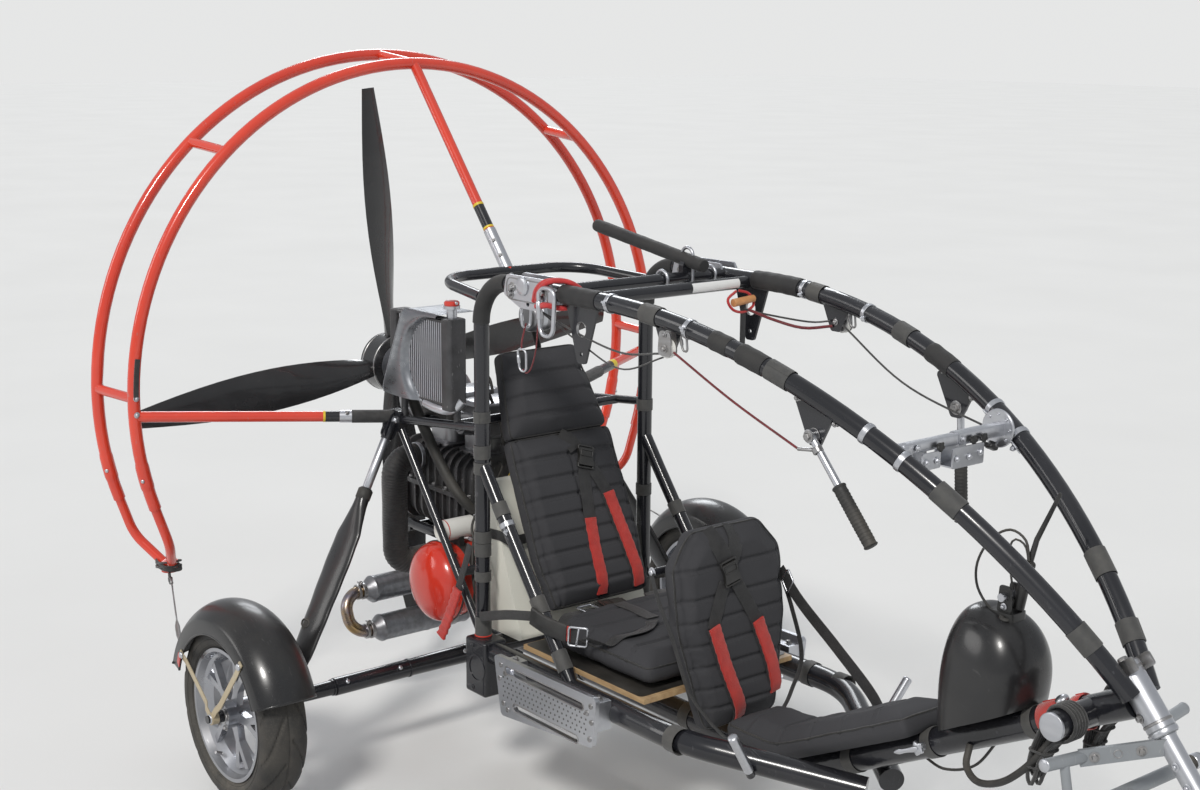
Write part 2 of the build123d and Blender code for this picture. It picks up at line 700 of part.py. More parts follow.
parts = {}
parts.update(both_sides("mast", mast()))
parts.update(both_sides("boom", boom()))
parts.update(both_sides("hang_hinge", hang_hinge()))
parts["top_cross_tubes"] = top_cross_tubes()
parts["top_bow"] = top_bow()
parts.update(both_sides("rear_frame", rear_frame()))
parts.update(both_sides("side_rail", side_rail()))
parts["keel"] = keel()
parts.update(both_sides("diagonal", diagonal()))
parts.update(both_sides("axle_arm", axle_arm()))
parts.update(both_sides("gear_strut", gear_strut()))
parts.update(both_sides("fender", fender()))
parts.update(both_sides("main_tyre", main_tyre()))
parts.update(both_sides("main_rim", main_rim()))
parts["cage_front_hoop"] = front_hoop()
parts["cage_rear_hoop"] = rear_hoop()
parts["cage_spokes"] = spokes()
parts["propeller"] = propeller()
parts["engine"] = engine()
parts["engine_cradle"] = engine_cradle()
parts["radiator"] = radiator()
parts["radiator_shroud"] = radiator_shroud()
parts["silencers"] = silencers()
parts["intake_hose"] = intake_hose()
parts["rescue_container"] = rescue_container()
parts["fuel_tank"] = fuel_tank()
parts["header_bottle"] = header_bottle()
parts["seat_back_bar"] = seat_back_bar()
parts["rear_seat_back"] = rear_seat_back()
parts["rear_seat_cushion"] = rear_seat_cushion()
parts["seat_board"] = seat_board()
parts["front_seat_back"] = front_seat_back()
parts["front_seat_cushion"] = front_seat_cushion()
parts.update(both_sides("step_plate", step_plate()))
parts["cross_bar"] = cross_bar()
parts["hand_lever_right"] = hand_lever(42)
parts["hand_lever_left"] = mirror(hand_lever(4), about=Plane.XZ)
parts["instrument_pod"] = instrument_pod()
parts["nose_head"] = nose_head()
parts["steering_fork"] = steering_fork()
parts["front_tyre"] = front_tyre()
parts["front_rim"] = front_rim()

# Each piece on the left is cut back where it meets the pieces on the right.
coping = {
    "side_rail": ["mast"],
    "keel": ["mast", "side_rail"],
    "diagonal": ["mast", "side_rail"],
    "rear_frame": ["mast", "side_rail"],
    "boom": ["keel"],
    "cross_bar": ["boom"],
    "top_cross_tubes": ["boom"],
    "hang_hinge": ["mast", "boom", "top_cross_tubes"],
    "top_bow": ["mast"],
    "cage_rear_hoop": ["cage_front_hoop"],
    "gear_strut": ["rear_frame", "axle_arm"],
    "cage_spokes": ["cage_front_hoop", "cage_rear_hoop", "top_bow", "rear_frame", "gear_strut"],
    "fender": ["axle_arm"],
    "engine_cradle": ["rear_frame", "engine"],
    "seat_back_bar": ["rear_frame"],
    "header_bottle": ["top_bow"],
    "silencers": ["engine"],
    "intake_hose": ["engine"],
    "radiator": ["rear_frame", "seat_back_bar"],
    "radiator_shroud": ["radiator"],
    "step_plate": ["side_rail"],
    "main_tyre": ["main_rim"],
    "front_tyre": ["front_rim"],
    "hand_lever": ["boom"],
    "axle_arm": ["keel"],
}


def cutters_for(name, side):
    """Shapes of one name that a piece on a given side meets."""
    own_side = name + side
    if side and own_side in parts:
        return [parts[own_side]]
    return [parts[option] for option in (name, name + "_right", name + "_left") if option in parts]


for name, others in coping.items():
    for side in ("", "_right", "_left"):
        piece = name + side
        if piece not in parts:
            continue
        for other in others:
            for cutter in cutters_for(other, side):
                parts[piece] = parts[piece] - cutter

for name, shape in parts.items():
    export_step(shape, "parts/" + name + ".step")
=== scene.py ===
"""Looks of a two-seat paraglider trike: finishes for its frame, and its soft and small pieces.

Lengths are metres. +X is forward, +Y the pilot's left and +Z up, with the origin on the ground.
"""

from collections.abc import Callable, Iterable, Sequence
from dataclasses import dataclass, field
from enum import Enum
import logging
import math

import bpy
from mathutils import Matrix, Vector
from mathutils.bvhtree import BVHTree
import numpy as np


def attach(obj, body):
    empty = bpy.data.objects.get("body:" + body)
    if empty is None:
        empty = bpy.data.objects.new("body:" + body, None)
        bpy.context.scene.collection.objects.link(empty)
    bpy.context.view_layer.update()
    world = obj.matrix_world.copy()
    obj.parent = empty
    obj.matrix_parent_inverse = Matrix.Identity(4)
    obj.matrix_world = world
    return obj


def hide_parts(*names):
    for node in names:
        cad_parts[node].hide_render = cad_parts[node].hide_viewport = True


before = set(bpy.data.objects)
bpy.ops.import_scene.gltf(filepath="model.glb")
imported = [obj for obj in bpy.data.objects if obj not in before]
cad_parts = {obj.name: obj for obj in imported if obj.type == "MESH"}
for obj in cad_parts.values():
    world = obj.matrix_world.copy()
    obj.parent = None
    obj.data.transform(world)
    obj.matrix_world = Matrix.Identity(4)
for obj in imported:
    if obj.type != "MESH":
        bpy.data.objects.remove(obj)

log = logging.getLogger("trike")
Array = np.ndarray
Point = tuple[float, float, float]
Place = Point | Array
Rows = Sequence[Sequence[float]] | Array
Colour = tuple[float, float, float]
AHEAD = (1.0, 0.0, 0.0)
ACROSS = (0.0, 1.0, 0.0)
UP = (0.0, 0.0, 1.0)
RIGHT, LEFT = SIDES = (-1, 1)
SIDE_NAMES = {RIGHT: "right", LEFT: "left"}
ROD_CHAMFER = 0.0006
TUBE_Y = 0.262  # distance of masts, rails and diagonals from the middle
WHEEL_AT = (-0.989, -0.780, 0.236)  # centre of the right-hand main wheel
SHAFT_Z = 0.946  # height of the propeller's shaft, which is also the guard's centre
DRUM_X = -1.519  # middle of the propeller's drum
HOOP_X, HOOP_RADIUS = -1.384, 0.857  # station and radius of the guard's front hoop
LEVER_X, LEVER_DROP = 0.384, 0.074  # station of the hand levers' pivot and its drop below the boom


# Surfaces as arrays


@dataclass
class Surface:
    """Points, faces and UVs of a surface that isn't in a mesh yet.

    The faces are stored as one row of point numbers with the size of each face, and a UV pair for each
    corner, in metres along the surface.
    """

    points: Array
    corners: Array
    sizes: Array
    uvs: Array

    def __add__(self, other: "Surface") -> "Surface":
        """Both surfaces as one, not joined to each other."""
        return together([self, other])

    def moved(self, offset: Place) -> "Surface":
        """The surface shifted by an offset."""
        return Surface(self.points + np.asarray(offset, float), self.corners, self.sizes, self.uvs)

    def mirrored(self) -> "Surface":
        """The surface on the other side of the centre plane, with its faces still pointing out."""
        return Surface(self.points * (1, -1, 1), self.corners[::-1], self.sizes[::-1], self.uvs[::-1])

    def on_side(self, side: int) -> "Surface":
        """The surface as it is for the right-hand side, mirrored for the left-hand one."""
        return self if side == RIGHT else self.mirrored()

    def mesh(self, name: str) -> bpy.types.Mesh:
        """Put the arrays into a new mesh with a UV map.

        Args:
            name: Name of the mesh.

        Returns:
            The mesh.
        """
        mesh = bpy.data.meshes.new(name)
        mesh.vertices.add(len(self.points))
        mesh.vertices.foreach_set("co", self.points.astype(np.float32).ravel())
        mesh.loops.add(len(self.corners))
        mesh.loops.foreach_set("vertex_index", self.corners.astype(np.int32))
        mesh.polygons.add(len(self.sizes))
        starts = np.concatenate([[0], np.cumsum(self.sizes)[:-1]])
        mesh.polygons.foreach_set("loop_start", starts.astype(np.int32))
        mesh.update(calc_edges=True)
        layer = mesh.uv_layers.new(name="UVMap")
        layer.data.foreach_set("uv", self.uvs.astype(np.float32).ravel())
        mesh.validate()
        return mesh


def together(surfaces: Iterable[Surface]) -> Surface:
    """Several surfaces as one.

    Args:
        surfaces: The surfaces.

    Returns:
        One surface, whose parts aren't joined.
    """
    found = list(surfaces)
    offsets = np.cumsum([0] + [len(one.points) for one in found])
    return Surface(
        np.concatenate([one.points for one in found]),
        np.concatenate([one.corners + start for one, start in zip(found, offsets)]),
        np.concatenate([one.sizes for one in found]),
        np.concatenate([one.uvs for one in found]),
    )


def grid(points: Array, around: bool = False, along: bool = False) -> Surface:
    """A surface through a grid of points.

    Each quad joins points (i, j), (i, j+1), (i+1, j+1) and (i+1, j). A closed direction joins its last line
    to its first one. A UV pair is the mean distance across and along up to that line.

    Args:
        points: Array of rows by columns by 3.
        around: Whether the columns close on themselves; the first and the last row then get an end face,
            unless the rows close too.
        along: Whether the rows close on themselves.

    Returns:
        The surface, with faces that point out where the columns run anticlockwise seen against the rows.
    """
    rows, columns = points.shape[:2]
    i, j = np.meshgrid(np.arange(rows - (not along)), np.arange(columns - (not around)), indexing="ij")
    i, j = i.ravel(), j.ravel()
    step = np.array([(0, 0), (0, 1), (1, 1), (1, 0)])
    row, column = i[:, None] + step[:, 0], j[:, None] + step[:, 1]
    corners = (row % rows) * columns + column % columns
    run_along = np.linalg.norm(np.roll(points, -1, 0) - points, axis=2).mean(1)
    run_across = np.linalg.norm(np.roll(points, -1, 1) - points, axis=2).mean(0)
    distance_along = np.concatenate([[0], np.cumsum(run_along)])
    distance_across = np.concatenate([[0], np.cumsum(run_across)])
    uvs = np.stack([distance_across[column], distance_along[row]], -1).reshape(-1, 2)
    sizes = np.full(len(i), 4)
    flat = corners.ravel()
    if around and not along:
        first = np.arange(columns)[::-1]
        last = np.arange(columns) + (rows - 1) * columns
        flat = np.concatenate([flat, first, last])
        sizes = np.concatenate([sizes, [columns, columns]])
        uvs = np.concatenate([uvs, np.zeros((2 * columns, 2))])
    return Surface(points.reshape(-1, 3).astype(float), flat, sizes, uvs)


def full_turn(steps: int) -> Array:
    """Angles of even steps round a full turn."""
    return np.linspace(0, 2 * math.pi, steps, endpoint=False)


def unit(vectors: Array) -> Array:
    """The vectors at length one."""
    return vectors / np.maximum(np.linalg.norm(vectors, axis=-1, keepdims=True), 1e-12)


def side_direction(path: Array) -> Array:
    """Normal of the plane that fits a path best, which a sweep uses as its steady side."""
    return np.linalg.svd(np.gradient(path, axis=0), full_matrices=True)[2][-1]


def sweep(path: Rows, profile: Array, steady: Place | None = None,
          scale: Sequence[float] | Array | None = None, closed: bool = False) -> Surface:
    """Carry a closed profile along a path.

    At each station the profile's second axis is the steady direction made square to the path, and its first
    axis is that one crossed with the tangent.

    Args:
        path: Stations by 3.
        profile: Corners by 2, anticlockwise, across and along the steady direction.
        steady: Direction, or one for each station, that the second axis follows.
        scale: Size of the profile at each station.
        closed: Whether the path closes on itself; an open one gets end faces.

    Returns:
        The swept surface.
    """
    path = np.asarray(path, float)
    if closed:
        tangents = unit(np.roll(path, -1, 0) - np.roll(path, 1, 0))
    else:
        tangents = unit(np.gradient(path, axis=0))
    hold = side_direction(path) if steady is None else np.asarray(steady, float)
    hold = np.broadcast_to(hold, path.shape)
    second = unit(hold - (hold * tangents).sum(1, keepdims=True) * tangents)
    first = np.cross(second, tangents)
    size = np.ones(len(path)) if scale is None else np.asarray(scale, float)
    across = profile[None, :, 0, None] * first[:, None] + profile[None, :, 1, None] * second[:, None]
    return grid(path[:, None] + across * size[:, None, None], around=True, along=closed)


def circle(radius: float, sides: int = 20) -> Array:
    """Corners of a round profile."""
    angle = full_turn(sides)
    return radius * np.stack([np.cos(angle), np.sin(angle)], -1)


def oblong(width: float, height: float, corner: float, steps: int = 4) -> Array:
    """Corners of a rectangle with round corners, each corner a quarter circle.

    Args:
        width: Size along the first axis.
        height: Size along the second axis.
        corner: Radius of the corners.
        steps: Points on each corner.

    Returns:
        Corners by 2, anticlockwise.
    """
    quarter = np.linspace(0, math.pi / 2, steps)
    parts = []
    for turn, (x, y) in enumerate([(1, 1), (-1, 1), (-1, -1), (1, -1)]):
        angle = quarter + turn * math.pi / 2
        centre = np.array([x * (width / 2 - corner), y * (height / 2 - corner)])
        parts.append(centre + corner * np.stack([np.cos(angle), np.sin(angle)], -1))
    return np.concatenate(parts)


def rod(start: Place, end: Place, radius: float, end_radius: float | None = None, sides: int = 20) -> Surface:
    """Straight round bar with softened rims, tapered when it has a second radius.

    Args:
        start: Middle of one end.
        end: Middle of the other end.
        radius: Radius at the start.
        end_radius: Radius at the end, where it differs.
        sides: Corners of its section.

    Returns:
        The bar.
    """
    start, end = np.asarray(start, float), np.asarray(end, float)
    length = np.linalg.norm(end - start)
    soft = min(ROD_CHAMFER, radius * 0.3, length * 0.2)
    shares = np.array([0, soft / length, 1 - soft / length, 1])
    path = start + shares[:, None] * (end - start)
    final = radius if end_radius is None else end_radius
    scale = np.array([radius - soft, radius, final, final - soft])
    axis = unit(end - start)
    steady = np.eye(3)[np.argmin(np.abs(axis))]
    return sweep(path, circle(1.0, sides), steady, scale)


def basis(direction: Place) -> tuple[Array, Array, Array]:
    """The unit direction and two unit vectors square to it.

    Args:
        direction: A direction of any length.

    Returns:
        Three unit vectors.
    """
    axis = unit(np.asarray(direction, float))
    first = unit(np.cross(np.eye(3)[np.argmin(np.abs(axis))], axis))
    return axis, first, np.cross(axis, first)


def spokes_round(direction: Place, segments: int) -> tuple[Array, Array]:
    """The unit direction and unit vectors square to it, evenly spaced over a full turn.

    Args:
        direction: A direction of any length.
        segments: Number of vectors.

    Returns:
        The unit direction, and the vectors by 3.
    """
    axis, first, second = basis(direction)
    angle = full_turn(segments)
    return axis, np.cos(angle)[:, None] * first + np.sin(angle)[:, None] * second


def ring_round(centre: Place, axis: Place, profile: Array, segments: int = 32) -> Surface:
    """Turn a closed profile of radius and height round an axis, a full turn.

    Args:
        centre: Point of the axis from which heights count.
        axis: Direction of the axis.
        profile: Radius and height of each corner, all round the section.
        segments: Number of steps round the axis.

    Returns:
        The closed ring.
    """
    axis, spoke = spokes_round(axis, segments)
    start = np.asarray(centre, float)
    points = start + spoke[:, None] * profile[None, :, 0, None] + axis * profile[None, :, 1, None]
    return grid(points, around=True, along=True)


def lathe(centre: Place, axis: Place, profile: Rows, segments: int = 32) -> Surface:
    """Turn an open profile of radius and height round an axis; both ends get a face.

    Args:
        centre: Point of the axis from which heights count.
        axis: Direction of the axis.
        profile: Radius and height of each point, from one end to the other.
        segments: Number of steps round the axis.

    Returns:
        The turned form.
    """
    axis, spoke = spokes_round(axis, segments)
    profile, start = np.asarray(profile, float), np.asarray(centre, float)
    points = start + spoke[None] * profile[:, None, 0, None] + axis * profile[:, None, 1, None]
    return grid(points, around=True)


def plate(outline: Rows, thickness: float, origin: Place, x_dir: Place, y_dir: Place) -> Surface:
    """Flat plate: an anticlockwise outline in a plane, given a thickness centred on that plane.

    Args:
        outline: Corners by 2, anticlockwise.
        thickness: Its thickness.
        origin: Where the outline's zero lies.
        x_dir: Direction of its first axis.
        y_dir: Direction of its second axis.

    Returns:
        The plate.
    """
    x_axis, y_axis = unit(np.asarray(x_dir, float)), unit(np.asarray(y_dir, float))
    normal = np.cross(x_axis, y_axis)
    outline = np.asarray(outline, float)
    flat = np.asarray(origin, float) + outline[:, :1] * x_axis + outline[:, 1:] * y_axis
    levels = np.array([-thickness / 2, thickness / 2])
    return grid(flat[None] + levels[:, None, None] * normal, around=True)


def rounded(outline: Rows, radius: float, steps: int = 4) -> Array:
    """The outline with each corner rounded by a quadratic curve that is tangent to both of its sides.

    Args:
        outline: Corners by 2.
        radius: Radius of an arc that would touch the sides at the same places.
        steps: Points on each corner.

    Returns:
        The denser outline.
    """
    outline = np.asarray(outline, float)
    before = unit(np.roll(outline, 1, 0) - outline)
    after = unit(np.roll(outline, -1, 0) - outline)
    half = np.arccos(np.clip((before * after).sum(1), -1, 1)) / 2
    inset = radius / np.tan(half)
    share = np.linspace(0, 1, steps)[None, :, None]
    start, end = outline + before * inset[:, None], outline + after * inset[:, None]
    bulge = (1 - share) ** 2 * start[:, None] + 2 * share * (1 - share) * outline[:, None]
    return (bulge + share ** 2 * end[:, None]).reshape(-1, 2)


def through(points: Rows, spacing: float = 0.01) -> Array:
    """Smooth path through a few points: a Catmull-Rom spline, sampled evenly.

    Args:
        points: The points that the path passes.
        spacing: Distance between two stations.

    Returns:
        Stations by 3.
    """
    known = np.asarray(points, float)
    padded = np.concatenate([2 * known[:1] - known[1:2], known, 2 * known[-1:] - known[-2:-1]])
    steps_a_span = 24
    t = np.linspace(0, 1, steps_a_span, endpoint=False)[None, :, None]
    a, b, c, d = (padded[k:len(padded) - 3 + k, None] for k in range(4))
    curve = 0.5 * (2 * b + (c - a) * t + (2 * a - 5 * b + 4 * c - d) * t ** 2 + (3 * b - a - 3 * c + d)
                   * t ** 3)
    dense = np.concatenate([curve.reshape(-1, 3), known[-1:]])
    return even(dense, spacing)


def even(path: Array, spacing: float) -> Array:
    """The path with evenly spaced stations, measured along it.

    Args:
        path: Stations by 3.
        spacing: Distance between two stations.

    Returns:
        The new stations.
    """
    run = np.concatenate([[0], np.cumsum(np.linalg.norm(np.diff(path, axis=0), axis=1))])
    count = max(int(round(run[-1] / spacing)) + 1, 3)
    wanted = np.linspace(0, run[-1], count)
    return np.stack([np.interp(wanted, run, path[:, k]) for k in range(3)], -1)


def bent(corners: Rows, radius: float, spacing: float = 0.012) -> Array:
    """Path of straight runs with an arc of one radius at each inner corner, as a bent tube has.

    Args:
        corners: Its corners by 3.
        radius: Radius of the bends.
        spacing: Distance between two stations.

    Returns:
        Stations by 3.
    """
    known = np.asarray(corners, float)
    path = [known[:1]]
    for before, corner, after in zip(known[:-2], known[1:-1], known[2:]):
        back, ahead = unit(before - corner), unit(after - corner)
        half = math.acos(float(np.clip(back @ ahead, -1, 1))) / 2
        centre = corner + unit(back + ahead) * radius / math.sin(half)
        inset = radius / math.tan(half)
        share = np.linspace(0, 1, 12)[:, None]
        chord = (corner + back * inset) * (1 - share) + (corner + ahead * inset) * share
        path.append(centre + unit(chord - centre) * radius)
    return even(np.concatenate(path + [known[-1:]]), spacing)


# Shader groups and finishes


class Graph:
    """Places and links the nodes of one node tree."""

    def __init__(self, tree: bpy.types.NodeTree) -> None:
        """Start on an empty tree."""
        self.tree = tree
        tree.nodes.clear()

    def add(self, kind: str, inputs: dict[str | int, object] | None = None,
            **settings: object) -> bpy.types.Node:
        """Add a node, with its settings and with its inputs set or linked.

        Args:
            kind: Node type without its ShaderNode prefix, or a full type name.
            inputs: Values or sockets by input name or number.
            **settings: Properties of the node.

        Returns:
            The node.
        """
        full = kind if kind.startswith("Node") else "ShaderNode" + kind
        node = self.tree.nodes.new(full)
        for key, value in settings.items():
            setattr(node, key, value)
        for key, value in (inputs or {}).items():
            if isinstance(value, bpy.types.NodeSocket):
                self.tree.links.new(value, node.inputs[key])
            else:
                node.inputs[key].default_value = value
        return node

    def math(self, operation: str, *values: object) -> bpy.types.NodeSocket:
        """Result of a Math node."""
        return self.add("Math", dict(enumerate(values)), operation=operation).outputs[0]

    def mix(self, factor: object, first: object, second: object) -> bpy.types.NodeSocket:
        """Colour between two colours."""
        node = self.add("Mix", {0: factor, 6: first, 7: second}, data_type="RGBA")
        return node.outputs[2]

    def blend(self, factor: object, first: object, second: object) -> bpy.types.NodeSocket:
        """Number between two numbers."""
        return self.add("Mix", {0: factor, 2: first, 3: second}, data_type="FLOAT").outputs[0]

    def noise(self, vector: object, scale: object, detail: float = 4, stretch: Point | None = None
              ) -> bpy.types.NodeSocket:
        """Noise value, on coordinates that may be stretched.

        Args:
            vector: Coordinates.
            scale: Scale of the noise.
            detail: Number of its octaves.
            stretch: Stretch along each axis.

        Returns:
            The noise value.
        """
        if stretch is not None:
            vector = self.add("Mapping", {"Vector": vector, "Scale": stretch}).outputs[0]
        return self.add("TexNoise", {"Vector": vector, "Scale": scale, "Detail": detail}).outputs["Fac"]

    def ramp(self, value: object, low: float, high: float, to_low: float = 0, to_high: float = 1
             ) -> bpy.types.NodeSocket:
        """Value carried from one range to another, clamped."""
        inputs = {"Value": value, "From Min": low, "From Max": high, "To Min": to_low, "To Max": to_high}
        return self.add("MapRange", inputs).outputs["Result"]


class Pattern(Enum):
    """Fine structure that a finish has all over."""

    SMOOTH = "smooth"
    WEAVE = "weave"
    GRAIN = "grain"
    CAST = "cast"
    BRUSHED = "brushed"
    PEEL = "peel"


class Effects:
    """Shared effects as shader groups, each built once."""

    groups: dict[str, bpy.types.NodeTree] = {}

    @classmethod
    def get(cls, name: str, sockets: dict[str, tuple[str, str, float]],
            fill: Callable[[Graph, bpy.types.Node, bpy.types.Node], None]) -> bpy.types.NodeTree:
        """Return a group, built on its first use.

        Args:
            name: The group's name.
            sockets: For each socket its direction, its kind and its default.
            fill: Function that places the nodes between the group's input and output.

        Returns:
            The node group.
        """
        if name not in cls.groups:
            tree = bpy.data.node_groups.new(name, "ShaderNodeTree")
            for label, (direction, kind, default) in sockets.items():
                socket = tree.interface.new_socket(name=label, in_out=direction, socket_type="NodeSocket"
                                                   + kind)
                if direction == "INPUT" and kind == "Float":
                    socket.default_value = default
            graph = Graph(tree)
            fill(graph, graph.add("NodeGroupInput"), graph.add("NodeGroupOutput"))
            cls.groups[name] = tree
        return cls.groups[name]

    @classmethod
    def wear(cls) -> bpy.types.NodeTree:
        """Worn edges and fine scratches. Mask is where the bare material shows, Height how deep it is.

        Returns:
            The shader group.
        """

        def fill(graph: Graph, inside: bpy.types.Node, out: bpy.types.Node) -> None:
            """Place the nodes between the group's input and output.

            Args:
                graph: The group's graph.
                inside: Node with the group's inputs.
                out: Node with the group's outputs.
            """
            where = graph.add("TexCoord").outputs["Object"]
            soft = graph.add("Bevel", {"Radius": 0.0018}, samples=3).outputs["Normal"]
            true = graph.add("NewGeometry").outputs["Normal"]
            turn = graph.add("VectorMath", {0: soft, 1: true}, operation="DOT_PRODUCT").outputs["Value"]
            edge = graph.ramp(turn, 0.995, 0.86)
            patch = graph.ramp(graph.noise(where, 46.0, 6), 0.47, 0.6)
            scratch = graph.ramp(graph.noise(where, 22.0, 3, (1, 9, 2.5)), 0.66, 0.72)
            worn = graph.math("MAXIMUM", graph.math("MULTIPLY", edge, patch), scratch)
            mask = graph.math("MULTIPLY", worn, inside.outputs["Amount"])
            graph.tree.links.new(mask, out.inputs["Mask"])
            graph.tree.links.new(graph.math("MULTIPLY", mask, -0.0003), out.inputs["Height"])

        return cls.get("worn_edges", {"Amount": ("INPUT", "Float", 0.5), "Mask": ("OUTPUT", "Float", 0),
                                      "Height": ("OUTPUT", "Float", 0)}, fill)

    @classmethod
    def dust(cls) -> bpy.types.NodeTree:
        """Field dust that settles on faces that look up and lies thicker near the ground.

        Returns:
            The shader group.
        """

        def fill(graph: Graph, inside: bpy.types.Node, out: bpy.types.Node) -> None:
            """Place the nodes between the group's input and output.

            Args:
                graph: The group's graph.
                inside: Node with the group's inputs.
                out: Node with the group's outputs.
            """
            where = graph.add("TexCoord").outputs["Object"]
            height = graph.add("SeparateXYZ", {0: where}).outputs["Z"]
            face = graph.add("NewGeometry").outputs["Normal"]
            upward = graph.ramp(graph.add("SeparateXYZ", {0: face}).outputs["Z"], -0.2, 1.0, 0.15, 1.0)
            low = graph.ramp(height, 0.0, 0.7, 1.6, 0.7)
            cloud = graph.ramp(graph.noise(where, 9.0, 8), 0.35, 0.75)
            speck = graph.ramp(graph.noise(where, 260.0, 2), 0.5, 0.7)
            fall = graph.math("ADD", cloud, graph.math("MULTIPLY", speck, 0.35))
            lying = graph.math("MULTIPLY", graph.math("MULTIPLY", fall, upward), low)
            graph.tree.links.new(graph.math("MULTIPLY", lying, inside.outputs["Amount"]), out.inputs["Mask"])

        return cls.get("field_dust", {"Amount": ("INPUT", "Float", 0.1), "Mask": ("OUTPUT", "Float", 0)},
                       fill)

    @classmethod
    def structure(cls, pattern: Pattern) -> bpy.types.NodeTree:
        """The fine structure of one pattern: Height for the bump and Tone for the colour.

        Args:
            pattern: The pattern.

        Returns:
            The shader group.
        """

        def fill(graph: Graph, inside: bpy.types.Node, out: bpy.types.Node) -> None:
            """Place the nodes between the group's input and output.

            Args:
                graph: The group's graph.
                inside: Node with the group's inputs.
                out: Node with the group's outputs.
            """
            scale = inside.outputs["Scale"]
            coordinates = graph.add("TexCoord")
            where = coordinates.outputs["Object"]
            if pattern is Pattern.WEAVE:
                split = graph.add("SeparateXYZ", {0: coordinates.outputs["UV"]})
                across = graph.math("MULTIPLY", split.outputs["X"], scale)
                along = graph.math("MULTIPLY", split.outputs["Y"], scale)
                warp = graph.math("ABSOLUTE", graph.math("SINE", graph.math("MULTIPLY", across, math.pi)))
                weft = graph.math("ABSOLUTE", graph.math("SINE", graph.math("MULTIPLY", along, math.pi)))
                square = graph.math("ADD", graph.math("FLOOR", across), graph.math("FLOOR", along))
                turn = graph.math("PINGPONG", square, 1.0)
                height = graph.blend(turn, warp, weft)
                tone = graph.ramp(graph.noise(where, 60.0, 5), 0.3, 0.7)
            elif pattern is Pattern.GRAIN:
                cell = graph.add("TexVoronoi", {"Vector": where, "Scale": scale}, feature="DISTANCE_TO_EDGE")
                height = graph.ramp(cell.outputs["Distance"], 0.0, 0.25)
                tone = graph.ramp(graph.noise(where, 14.0, 6), 0.3, 0.75)
            elif pattern is Pattern.CAST:
                height = graph.noise(where, scale, 6)
                tone = graph.ramp(graph.noise(where, 24.0, 6), 0.35, 0.7)
            elif pattern is Pattern.BRUSHED:
                height = graph.noise(where, scale, 3, (1, 14, 14))
                tone = graph.ramp(graph.noise(where, 18.0, 5, (1, 4, 4)), 0.3, 0.7)
            elif pattern is Pattern.PEEL:
                height = graph.noise(where, scale, 2)
                tone = graph.ramp(graph.noise(where, 6.0, 5), 0.35, 0.7)
            else:
                height = graph.noise(where, scale, 4)
                tone = graph.ramp(graph.noise(where, 12.0, 5), 0.3, 0.7)
            graph.tree.links.new(height, out.inputs["Height"])
            graph.tree.links.new(tone, out.inputs["Tone"])

        return cls.get("structure_" + pattern.value, {"Scale": ("INPUT", "Float", 400.0),
                                                      "Height": ("OUTPUT", "Float", 0),
                                                      "Tone": ("OUTPUT", "Float", 0)}, fill)


DUST_COLOUR = (0.34, 0.3, 0.24)


